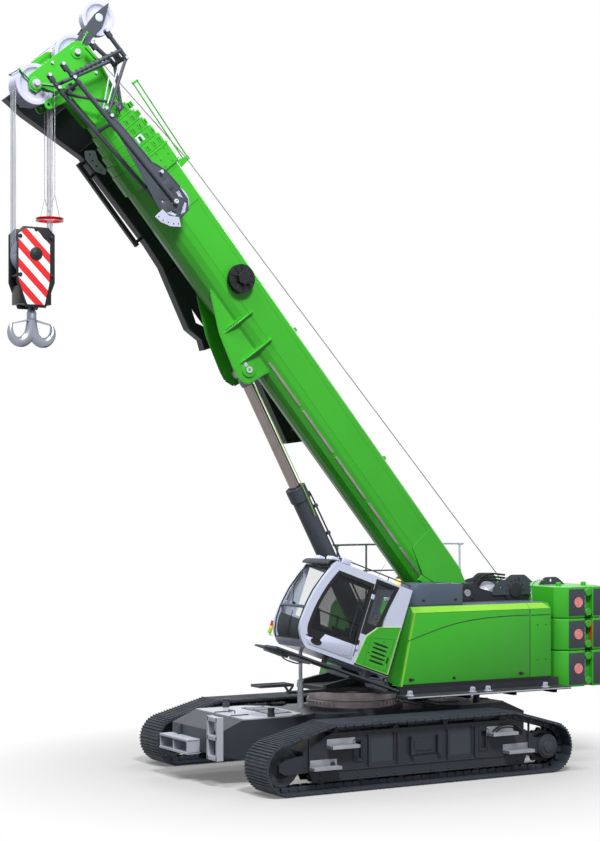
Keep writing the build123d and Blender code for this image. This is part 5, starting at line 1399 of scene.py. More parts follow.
def makeCabRoom():
    floor = cabSize["floor"] + 0.045
    mesh = bmesh.new()
    # seat: suspension, cushion with bolsters, back and head rest
    addBox(mesh, (0.62, 0.86, floor), (0.98, 1.17, floor + 0.1))
    for z in (0.12, 0.17, 0.22, 0.27):
        addBox(mesh, (0.64, 0.88, floor + z), (0.96, 1.15, floor + z + 0.03))
    softenEdges(mesh, 0.008, 2)
    makePiece("seatBase", mesh, "black", "cab", cabFrame)
    mesh = bmesh.new()
    addPlate(mesh, ((0.58, floor + 0.33), (1.06, floor + 0.33), (1.08, floor + 0.4), (1.03, floor + 0.46),
                    (0.62, floor + 0.44)), (0.84, 1.19))
    for y in (0.79, 1.18):
        addPlate(mesh, ((0.6, floor + 0.35), (1.04, floor + 0.35), (1.05, floor + 0.43), (1.0, floor + 0.48),
                        (0.62, floor + 0.48)), (y, y + 0.06))
    addPlate(mesh, ((0.5, floor + 0.42), (0.63, floor + 0.44), (0.56, floor + 0.95), (0.46, floor + 0.95)),
             (0.83, 1.2))
    for y in (0.79, 1.17):
        addPlate(mesh, ((0.52, floor + 0.45), (0.68, floor + 0.47), (0.6, floor + 0.86), (0.5, floor + 0.88)),
                 (y, y + 0.06))
    addPlate(mesh, ((0.46, floor + 0.97), (0.54, floor + 0.97), (0.51, floor + 1.12), (0.44, floor + 1.11)),
             (0.9, 1.13))
    softenEdges(mesh, 0.022, 3)
    makePiece("seat", mesh, "cloth", "cab", cabFrame, smooth=50, replaced=("cab_seat",))
    # desk, monitor, arm rests with levers, pedals and steering gear
    mesh = bmesh.new()
    addPlate(mesh, ((1.5, floor), (1.8, floor), (1.84, floor + 0.42), (1.72, floor + 0.6),
                    (1.58, floor + 0.56), (1.46, floor + 0.4)), (0.65, 0.9))
    addPlate(mesh, ((1.6, floor + 0.56), (1.64, floor + 0.55), (1.74, floor + 0.8), (1.7, floor + 0.82)),
             (0.62, 0.93))
    for y in (0.74, 1.24):
        addPlate(mesh, ((0.66, floor + 0.5), (1.2, floor + 0.52), (1.24, floor + 0.6), (0.66, floor + 0.58)),
                 (y, y + 0.09))
        addRod(mesh, (1.15, y + 0.045, floor + 0.58), (1.17, y + 0.045, floor + 0.74), 0.014, 10)
        addRod(mesh, (1.17, y + 0.045, floor + 0.72), (1.175, y + 0.045, floor + 0.82), 0.026, 12, 0.02)
    for y in (0.98, 1.12):
        addPlate(mesh, ((1.72, floor), (1.95, floor + 0.18), (1.96, floor + 0.2), (1.9, floor + 0.2),
                        (1.68, floor + 0.02)), (y, y + 0.1))
        addRod(mesh, (1.85, y + 0.05, floor + 0.14), (1.78, y + 0.05, floor + 0.5), 0.01, 8)
    softenEdges(mesh, 0.01, 2)
    makePiece("controls", mesh, "black", "cab", cabFrame)
    mesh = bmesh.new()
    addPlate(mesh, ((1.604, floor + 0.585), (1.612, floor + 0.581), (1.7, floor + 0.79),
                    (1.692, floor + 0.794)), (0.64, 0.91))
    bmesh.ops.translate(mesh, vec=(-0.006, 0, 0), verts=mesh.verts)
    makePiece("monitor", mesh, "lamp", "cab", cabFrame)
    # dark lining on the floor, the rear wall, the far wall and the ceiling
    mesh = bmesh.new()
    addBox(mesh, (0.28, 0.535, floor - 0.008), (2.08, 1.49, floor + 0.004))
    addBox(mesh, (0.245, 0.55, floor), (0.262, 1.47, 2.5))
    addPlate(mesh, ((0.3, floor), (2.1, floor), (2.26, 2.12), (2.3, 2.47), (0.3, 2.47)), (0.534, 0.546))
    addBox(mesh, (0.3, 0.55, 3.555), (1.86, 1.47, 3.57))
    softenEdges(mesh, 0.003, 1)
    makePiece("cabLining", mesh, "darkGrey", "cab", cabFrame)


def makeCabWalk():
    size = {"y0": 1.555, "y1": 2.0, "z": 1.68, "rear": 0.15, "front": 2.95}
    mesh = bmesh.new()
    y0, y1, z = size["y0"], size["y1"], size["z"]
    addBox(mesh, (size["rear"], y0, z - 0.045), (size["front"], y1, z - 0.03))
    for y in (y0, y1 - 0.02):
        addBox(mesh, (size["rear"], y, z - 0.045), (size["front"], y + 0.02, z + 0.004))
    for x in (size["rear"], size["front"] - 0.02):
        addBox(mesh, (x, y0, z - 0.045), (x + 0.02, y1, z + 0.004))
    for i in range(46):
        x = size["rear"] + 0.04 + i * 0.06
        addBox(mesh, (x, y0 + 0.01, z - 0.03), (x + 0.02, y1 - 0.01, z))
    addBox(mesh, (2.35, 1.18, z - 0.045), (size["front"], y0 + 0.01, z - 0.01))
    for i in range(10):
        x = 2.38 + i * 0.056
        addBox(mesh, (x, 1.19, z - 0.02), (x + 0.02, y0, z))
    for x in (0.5, 1.5):
        addBox(mesh, (x, 1.33, z - 0.005), (x + 0.08, 1.96, z + 0.055))
        addBox(mesh, (x, 1.33, z - 0.005), (x + 0.08, 1.41, cabSize["floor"]))
    softenEdges(mesh, 0.003, 1)
    makePiece("cabWalk", mesh, "slate", "cab", cabFrame, replaced=("cab_walk",))
    mesh = bmesh.new()
    for x in (0.85, 2.05):
        addBox(mesh, (x, y1 - 0.15, z), (x + 0.1, y1 - 0.05, z + 0.004))
    makePiece("walkMarks", mesh, "white", "cab", cabFrame)
    # pale trays and brackets below it, and the loop of tube at the front
    mesh = bmesh.new()
    for x in (0.35, 1.25, 2.1):
        addPlate(mesh, ((x, z - 0.045), (x + 0.34, z - 0.045), (x + 0.3, z - 0.1), (x + 0.04, z - 0.1)),
                 (y0 + 0.03, y1 - 0.08))
    addBox(mesh, (2.4, y0 - 0.2, z - 0.09), (2.85, y0 - 0.02, z - 0.045))
    softenEdges(mesh, 0.008, 2)
    makePiece("walkTrays", mesh, "pale", "cab", cabFrame)
    mesh = bmesh.new()
    path = smoothPath(((2.75, 1.9, z - 0.04), (2.74, 1.9, z - 0.12), (2.66, 1.9, z - 0.16),
                       (2.42, 1.9, z - 0.16), (2.34, 1.9, z - 0.12), (2.33, 1.9, z - 0.04)), 4)
    addTube(mesh, path, 0.013, 8)
    makePiece("walkLoop", mesh, "slate", "cab", cabFrame, smooth=40)
    # lamp stack on the far front corner
    mesh = bmesh.new()
    spot = Vector((2.33, 0.46, 2.02))
    addRod(mesh, spot + Vector((-0.06, 0.04, -0.02)), spot + Vector((0, 0, -0.02)), 0.012, 8)
    for i, look in enumerate((0, 1, 2)):
        verts = addTurned(mesh, ((0, 0), (0.034, 0), (0.036, 0.006), (0.036, 0.064), (0.034, 0.07),
                                 (0, 0.07)), spot + Vector((0, 0, i * 0.075)), 20, (0, 0, 1))
        markFaces(verts, look)
    verts = addRod(mesh, spot + Vector((0, 0, 0.225)), spot + Vector((0, 0, 0.245)), 0.036, 20)
    markFaces(verts, 3)
    makePiece("lampStack", mesh, ["lime", "yellow", "red", "black"], "cab", cabFrame, slot="warning_red")


def makeCabUnder():
    # the cylinder that tilts the cab: its barrel stands on the deck and its rod goes up with the cab
    mesh = bmesh.new()
    sleeve = ((0.042, 1.32), (0.058, 1.32), (0.058, 1.8), (0.066, 1.805), (0.066, 1.85), (0.042, 1.855),
              (0.042, 1.32))
    addTurned(mesh, sleeve, (1.6, 0.7, 0), 28, (0, 0, 1))
    makePiece("tiltBarrel", mesh, "zinc", "upper")
    # boarding step in front of the deck, a tray of treads on two arms
    mesh = bmesh.new()
    addBox(mesh, (0.9, 0.45, 1.578), (1.78, 0.55, 1.63))
    addBox(mesh, (1.56, 0.54, 1.6), (1.64, 0.65, 1.628))
    for y in (0.78, 1.13):
        addBox(mesh, (2.0, y, 1.79), (2.72, y + 0.02, 1.84))
        addBar(mesh, (1.75, 0.52, 1.61), (2.02, y + 0.01, 1.8), 0.03, 0.04)
    for x in (2.0, 2.7):
        addBox(mesh, (x, 0.79, 1.79), (x + 0.02, 1.14, 1.84))
    for i in range(12):
        x = 2.05 + i * 0.054
        addBox(mesh, (x, 0.79, 1.8), (x + 0.02, 1.14, 1.83))
    softenEdges(mesh, 0.003, 1)
    makePiece("boardingStep", mesh, "slate", "upper")
    mesh = bmesh.new()
    addRod(mesh, (1.6, 0.7, 1.86), (1.6, 0.7, 2.4), 0.036, 20)
    makePiece("tiltRod", mesh, "zinc", "cab")
    mesh = bmesh.new()
    for shift in (0, 0.05, 0.1):
        path = smoothPath(((-0.25, 1.1 + shift, 1.68), (0.0, 1.12 + shift, 1.78), (0.12, 1.12 + shift, 1.86),
                           (0.3, 1.1 + shift, 1.9)))
        addTube(mesh, path, 0.018, 8)
    makePiece("cabHoses", mesh, "rubber", "upper", smooth=40)
    mesh = bmesh.new()
    for y in (0.56, 1.36):
        addPlate(mesh, ((-0.05, 1.62), (0.33, 1.62), (0.2, 1.72), (0.1, 1.72)), (y, y + 0.03))
    softenEdges(mesh, 0.005, 2)
    makePiece("hingeRibs", mesh, "darkGrey", "upper")


makeCabSkin()
makeRoof()
makeDoorSkin()
makeCabRoom()
makeCabWalk()
makeCabUnder()
print("cab done")


# boom, all in the boom's own frame: along it, across it, and towards its back

def makeBoomTrim():
    size = {"half": 0.42, "back": 0.3}
    half, back = size["half"], size["back"]
    for side in (1, -1):
        name = "left" if side > 0 else "right"
        face = side * half
        # weld seam along the side, doubler plates near the foot, and the wear strips' backing
        mesh = bmesh.new()
        for n in (0.16, -0.3):
            addBox(mesh, (0.95, min(face, face + side * 0.004), n - 0.006),
                   (10.3, max(face, face + side * 0.004), n + 0.006))
        for shape in (((-0.1, -0.1), (0.05, -0.16), (0.9, -0.5), (1.5, -0.34), (1.5, 0.2), (0.4, 0.22),
                       (-0.08, 0.11)), ((9.55, -0.3), (10.32, -0.36), (10.32, 0.24), (9.55, 0.2))):
            addPlate(mesh, shape, sorted((face - side * 0.002, face + side * 0.012)))
        softenEdges(mesh, 0.003, 1)
        makePiece("boomDoublers_" + name, mesh, "green", "boom", boomFrame)
    # thick collar with bolted pads at the mouth, and small ribs round it
    mesh = bmesh.new()
    for side in (-1, 1):
        for a in (10.4, 10.55, 10.68):
            for n in (-0.2, 0.0, 0.2):
                y = side * (half + 0.042)
                addRod(mesh, (a, y - side * 0.004, n), (a, y + side * 0.012, n), 0.02, 6)
        for a in (10.36, 10.72):
            y = between(side, half + 0.03, half + 0.052)
            addBox(mesh, (a - 0.012, y[0], -0.3), (a + 0.012, y[1], 0.3))
    for a in (10.36, 10.72):
        addBox(mesh, (a - 0.012, -0.42, back + 0.034), (a + 0.012, 0.42, back + 0.054))
    for y in (-0.3, -0.1, 0.1, 0.3):
        for a in (10.45, 10.62):
            addRod(mesh, (a, y, back + 0.038), (a, y, back + 0.056), 0.02, 6)
    makePiece("mouthCollar", mesh, "green", "boom", boomFrame)
    # wear strips in five runs, each side, low on the belly's folds
    mesh = bmesh.new()
    for side in (-1, 1):
        for a0, a1 in ((0.78, 1.637), (1.74, 2.8), (2.903, 3.969), (4.07, 5.112), (5.225, 6.275)):
            strip = addBox(mesh, (a0, -0.008, -0.022), (a1, 0.008, 0.022))
            bmesh.ops.rotate(mesh, matrix=Matrix.Rotation(math.radians(-27 * side), 3, "X"), verts=strip)
            bmesh.ops.translate(mesh, vec=(0, side * 0.352, -0.528), verts=strip)
    softenEdges(mesh, 0.003, 1)
    makePiece("wearStrips", mesh, "ring", "boom", boomFrame, slot="track_steel")
    # rope guides on the boom's back, each a roller between lugs, the last one a taller stand
    lugs = bmesh.new()
    rollers = bmesh.new()
    for a, high, n in ((3.17, 0.16, 0.41), (6.36, 0.16, 0.41), (10.21, 0.37, 0.62)):
        for y in (-0.15, 0.15):
            addPlate(lugs, ((a - 0.078, back), (a + 0.078, back), (a + 0.034, back + high - 0.01),
                            (a + 0.02, back + high), (a - 0.02, back + high),
                            (a - 0.034, back + high - 0.01)), (y - 0.009, y + 0.009))
        addRod(lugs, (a, -0.15, back + 0.05), (a, 0.15, back + 0.05), 0.018, 12)
        addTurned(rollers, ((0.014, -0.13), (0.037, -0.13), (0.037, -0.115), (0.028, -0.1), (0.028, 0.1),
                            (0.037, 0.115), (0.037, 0.13), (0.014, 0.13), (0.014, -0.13)), (a, 0, n), 24)
        addRod(rollers, (a, -0.175, n), (a, 0.175, n), 0.013, 10)
    # two guard poles that run on over the sections from the stand
    for start, end in (((10.19, 0.125, 0.56), (11.9, 0.125, 0.6)),
                       ((10.19, 0.125, 0.655), (11.9, 0.125, 0.7))):
        addRod(lugs, start, end, 0.014, 10)
    addBar(lugs, (11.88, 0.125, 0.58), (11.88, 0.125, 0.72), 0.03, 0.04)
    addRod(lugs, (11.88, -0.1, 0.7), (11.88, 0.14, 0.7), 0.014, 10)
    softenEdges(lugs, 0.004, 1)
    makePiece("ropeGuides", lugs, "green", "boom", boomFrame)
    makePiece("guideRollers", rollers, "zinc", "boom", boomFrame)
    # white plate with a black bar on the second section's collar
    mesh = bmesh.new()
    addPlate(mesh, ((11.0, -0.16), (11.13, -0.16), (11.13, -0.01), (11.0, 0.0)), (0.405, 0.422))
    softenEdges(mesh, 0.003, 1)
    makePiece("collarPlate", mesh, "white", "section_2", boomFrame)
    mesh = bmesh.new()
    addBox(mesh, (11.02, 0.42, -0.1), (11.11, 0.428, -0.07))
    makePiece("collarMark", mesh, "black", "section_2", boomFrame)


def makeBracket():
    # luffing bracket: rolled gussets either side, boss rings, and the pin's caps
    size = {"pinA": 6.43, "pinN": -0.94, "cheekY": 0.25, "cheekT": 0.04}
    a, n = size["pinA"], size["pinN"]
    outer = size["cheekY"] + size["cheekT"]
    mesh = bmesh.new()
    for side in (-1, 1):
        profile = ((0.071, outer - 0.01), (0.15, outer - 0.01), (0.15, outer + 0.018), (0.14, outer + 0.026),
                   (0.071, outer + 0.026), (0.071, outer - 0.01))
        addTurned(mesh, sided(profile, side), (a, 0, n), 36)
        # curved wings from the cheek's edge out over the belly to the boom's side
        for along, low in ((6.62, -1.06), (7.26, -0.95)):
            wing = ((outer - 0.01, low), (0.33, low + 0.12), (0.4, low + 0.33), (0.455, low + 0.52),
                    (0.5, -0.27), (0.47, -0.24), (0.419, -0.22), (0.419, -0.3), (0.4, -0.42), (0.34, -0.54),
                    (outer - 0.01, -0.6))
            addCross(mesh, [(side * y, z) for y, z in wing], (along, along + 0.03))
        edge = ((8.2, -0.45), (8.01, -0.63), (7.31, -0.965), (6.62, -1.155), (6.43, -1.185), (6.25, -1.11),
                (6.185, -0.74), (6.11, -0.44))
        addStrip(mesh, edge, side * (outer - 0.015), 0.075, 0.022)
    softenEdges(mesh, 0.004, 1)
    makePiece("bracketRims", mesh, "green", "boom", boomFrame)
    mesh = bmesh.new()
    for side in (-1, 1):
        profile = ((0, outer), (0.07, outer), (0.07, outer + 0.036), (0.062, outer + 0.042),
                   (0.03, outer + 0.042), (0.026, outer + 0.034), (0, outer + 0.034))
        addTurned(mesh, sided(profile, side), (a, 0, n), 32)
        y0, y1 = between(side, outer + 0.02, outer + 0.034)
        addBox(mesh, (a + 0.08, y0, n - 0.03), (a + 0.16, y1, n + 0.03))
    makePiece("bracketPin", mesh, "pale", "boom", boomFrame, slot="bright_steel")


def makeReel():
    size = {"a": 7.9, "n": -0.08, "y": 0.42}
    a, n, y = size["a"], size["n"], size["y"]
    mesh = bmesh.new()
    profile = ((0.06, y + 0.055), (0.27, y + 0.055), (0.27, y + 0.065), (0.18, y + 0.072), (0.18, y + 0.135),
               (0.27, y + 0.142), (0.27, y + 0.152), (0.06, y + 0.152), (0.06, y + 0.055))
    addTurned(mesh, profile, (a, 0, n), 48)
    for i in range(10):
        turned = i * math.tau / 10
        addBar(mesh, (a + 0.1 * math.cos(turned), y + 0.157, n + 0.1 * math.sin(turned)),
               (a + 0.255 * math.cos(turned), y + 0.157, n + 0.255 * math.sin(turned)), 0.008, 0.02)
    addTurned(mesh, ((0, y), (0.11, y), (0.1, y + 0.06), (0, y + 0.06)), (a, 0, n), 32)
    addRod(mesh, (a, y + 0.15, n), (a, y + 0.24, n), 0.13, 6)
    addRod(mesh, (a - 0.13, y + 0.19, n + 0.02), (a - 0.2, y + 0.19, n + 0.05), 0.016, 8)
    for turned in (0.6, 2.2, 3.8, 5.2):
        spot = (a + 0.1 * math.cos(turned), y + 0.236, n + 0.1 * math.sin(turned))
        addRod(mesh, spot, (spot[0], spot[1] + 0.004, spot[2]), 0.01, 6)
    softenEdges(mesh, 0.004, 1, 50)
    makePiece("cableReel", mesh, "black", "boom", boomFrame, replaced=("cable_reel",))
    mesh = bmesh.new()
    addTurned(mesh, ((0.18, y + 0.075), (0.245, y + 0.075), (0.25, y + 0.085), (0.25, y + 0.125),
                     (0.245, y + 0.135), (0.18, y + 0.135), (0.18, y + 0.075)), (a, 0, n), 48)
    makePiece("reelCable", mesh, "rubber", "boom", boomFrame)


def makeSections():
    # bolted pads and slots on every section's collar
    for i in range(1, 6):
        end = 10.75 + i * 0.196
        shrink = 0.034 * i
        half = 0.42 - shrink + 0.034 + 0.028
        back = 0.3 - shrink + 0.034 + 0.028
        mesh = bmesh.new()
        for side in (-1, 1):
            for n in (-0.24, -0.08, 0.08, 0.22):
                y = between(side, half - 0.006, half + 0.01)
                addBox(mesh, (end - 0.15, y[0], n - 0.04), (end - 0.04, y[1], n + 0.04))
        for y in (-0.24, -0.08, 0.08, 0.24):
            addBox(mesh, (end - 0.15, y - 0.045, back - 0.006), (end - 0.04, y + 0.045, back + 0.01))
        softenEdges(mesh, 0.004, 1)
        makePiece("collarPads_%d" % i, mesh, "green", "section_%d" % i, boomFrame)
        # black bars stand in for the collar slots as painted shade
        mesh = bmesh.new()
        for side in (-1, 1):
            for n in (-0.24, -0.08, 0.08, 0.22):
                y = side * (half + 0.009)
                addBar(mesh, (end - 0.13, y, n), (end - 0.06, y, n), 0.005, 0.022)
        makePiece("collarSlotShade_%d" % i, mesh, "black", "section_%d" % i, boomFrame)


def sheaveRim(radius, half, grooves, pitch):
    # half-round rope grooves between rims
    rim = [(radius - 0.055, -half)]
    for i in range(grooves):
        y = (i - (grooves - 1) / 2) * pitch
        w = pitch / 2
        rim += [(radius, y - w + 0.003), (radius, y - w + 0.01), (radius - 0.03, y - 0.011),
                (radius - 0.034, y), (radius - 0.03, y + 0.011), (radius, y + w - 0.01),
                (radius, y + w - 0.003)]
    return rim + [(radius - 0.055, half)]


def makeSheave(name, body, slot, centre, radius, half, grooves, bore, replaced, bush=0):
    # grooved sheaves side by side, with a recessed web between rim and boss
    deep = min(0.03, half * 0.45)
    profile = [(bore, -half), (bore + 0.05, -half), (bore + 0.06, -half + deep * 0.6),
               (bore + 0.1, -half + deep), (radius - 0.12, -half + deep), (radius - 0.09, -half + deep * 0.7),
               (radius - 0.07, -half + 0.002)]
    profile += sheaveRim(radius, half, grooves, 2 * half / grooves)
    profile += [(radius - 0.07, half - 0.002), (radius - 0.09, half - deep * 0.7),
                (radius - 0.12, half - deep), (bore + 0.1, half - deep), (bore + 0.06, half - deep * 0.6),
                (bore + 0.05, half), (bore, half), (bore, -half)]
    mesh = bmesh.new()
    addTurned(mesh, profile, centre, 72)
    if bush:
        for side in (-1, 1):
            sleeve = ((bore, half - 0.002), (bore + 0.044, half - 0.002), (bore + 0.044, bush), (bore, bush),
                      (bore, half - 0.002))
            addTurned(mesh, sided(sleeve, side), centre, 40)
    makePiece(name, mesh, "sheave", body, boomFrame, replaced=replaced, slot=slot)


def makeHead():
    size = {"a": 12.93, "low": -1.04, "high": -0.03, "start": 11.73, "plateY": 0.192, "plateT": 0.03,
            "mastY": 0.085, "auxA": 13.17, "auxN": 0.8}
    a, low, high = size["a"], size["low"], size["high"]
    inner, outer = size["plateY"], size["plateY"] + size["plateT"]
    xa, xn, mast = size["auxA"], size["auxN"], size["mastY"]
    makeSheave("sheavesLower", "sheaves_lower", "sheave_grey", (a, 0, low), 0.365, 0.1915, 5, 0.0555,
               ("head_sheaves_lower",))
    makeSheave("sheavesUpper", "sheaves_upper", "sheave_grey", (a, 0, high), 0.365, 0.072, 2, 0.0555,
               ("head_sheaves_upper",), 0.1915)
    makeSheave("sheaveAux", "sheave_aux", "sheave_grey", (xa, 0, xn), 0.32, 0.0845, 2, 0.0405,
               ("aux_sheave",))
    # cheek plates with their flanges, hanging lugs, boss rings, and the end plate they are welded to
    mesh = bmesh.new()
    cheek = ((size["start"], 0.12), (12.6, 0.235), (a, 0.19), (13.084, 0.124), (13.12, 0.0), (13.12, -1.05),
             (13.02, -1.15), (12.93, -1.2), (12.8, -1.14), (12.83, -1.0), (12.63, -0.86), (12.57, -0.64),
             (12.0, -0.59), (size["start"], -0.56))
    lug = ((12.5, -0.58), (12.6, -1.08), (12.57, -1.14), (12.51, -1.16), (12.45, -1.14), (12.42, -1.08),
           (12.32, -0.55))
    edge = ((11.76, 0.11), (12.6, 0.225), (12.92, 0.18)), ((11.76, -0.55), (12.0, -0.58), (12.45, -0.62))
    for side in (-1, 1):
        addPierced(mesh, cheek, [(12.62, -0.35, 0.045)], between(side, inner, outer))
        addPierced(mesh, lug, [(12.51, -1.08, 0.03)], between(side, inner - 0.004, outer + 0.004))
        for run in edge:
            addStrip(mesh, run, side * (outer + 0.015), 0.05, 0.018)
        for n in (low + 0.02, high + 0.02):
            ring = ((0.056, outer - 0.002), (0.12, outer - 0.002), (0.12, outer + 0.01),
                    (0.11, outer + 0.016), (0.056, outer + 0.016), (0.056, outer - 0.002))
            addTurned(mesh, sided(ring, side), (a, 0, n - 0.02), 32)
        # short arms out to the rope keepers, and the lugs at the mast's foot
        for start, end in (((13.06, -1.1), (13.3, -1.15)), ((13.0, 0.14), (13.094, 0.36)),
                           ((12.88, 0.18), (12.905, 0.38))):
            addBar(mesh, (start[0], side * (outer - 0.012), start[1]),
                   (end[0], side * (outer - 0.012), end[1]), 0.018, 0.05)
        y0, y1 = between(side, mast + 0.028, inner + 0.004)
        addBox(mesh, (12.87, y0, 0.13), (13.05, y1, 0.18))
        for ka, kn in ((13.3, -1.15), (13.094, 0.36), (12.905, 0.38)):
            addRod(mesh, (ka, side * outer, kn), (ka, side * (outer + 0.025), kn), 0.022, 12)
    addCross(mesh, ((-0.25, -0.35), (-0.2, -0.47), (0, -0.51), (0.2, -0.47), (0.25, -0.35), (0.25, 0.1),
                    (0.2, 0.13), (-0.2, 0.13), (-0.25, 0.1)), (size["start"] + 0.001, size["start"] + 0.04))
    addBox(mesh, (size["start"] + 0.02, -inner - 0.004, 0.062), (a - 0.41, inner + 0.004, 0.088))
    addPlate(mesh, ((13.11, -0.7), (13.25, -0.68), (13.235, -0.32), (13.11, -0.13)),
             (-outer + 0.004, -inner - 0.004))
    softenEdges(mesh, 0.004, 1)
    # mast plates of the auxiliary sheave
    for side in (-1, 1):
        verts = addPierced(mesh, ((12.88, 0.12), (13.09, 0.12), (13.27, 0.76), (13.275, 1.14), (13.12, 0.94),
                                  (13.02, 0.77)), [(xa, xn, 0.042)], between(side, mast, mast + 0.03))
        markFaces(verts, 1)
    makePiece("headPlates", mesh, ["green", "slate"], "section_5", boomFrame, replaced=("boom_head",))
    # axles with their caps, keeper rods, and the small pins in the plates
    mesh = bmesh.new()
    for n in (low, high):
        addTurned(mesh, ((0, -0.292), (0.02, -0.292), (0.048, -0.29), (0.054, -0.282), (0.054, 0.282),
                         (0.048, 0.29), (0.02, 0.292), (0.018, 0.284), (0, 0.284)), (a, 0, n), 28)
    addRod(mesh, (xa, -0.124, xn), (xa, 0.124, xn), 0.039, 28)
    for ka, kn, radius in ((13.3, -1.15, 0.012), (13.094, 0.36, 0.012), (12.905, 0.38, 0.012)):
        addRod(mesh, (ka, -outer, kn), (ka, outer, kn), radius, 12)
    for side in (-1, 1):
        for aa, n in ((12.2, -0.35), (12.45, 0.05), (13.05, -0.55)):
            addRod(mesh, (aa, side * (outer - 0.01), n), (aa, side * (outer + 0.03), n), 0.026, 16)
        hub = ((0.0395, 0.116), (0.075, 0.116), (0.075, 0.12), (0.065, 0.125), (0.0395, 0.125),
               (0.0395, 0.116))
        addTurned(mesh, sided(hub, side), (xa, 0, xn), 32)
    makePiece("headPins", mesh, "pale", "section_5", boomFrame, slot="bright_steel")


makeBoomTrim()
makeBracket()
makeReel()
makeSections()
makeHead()
print("boom done")


# folded jib's end frame on the boom's left side

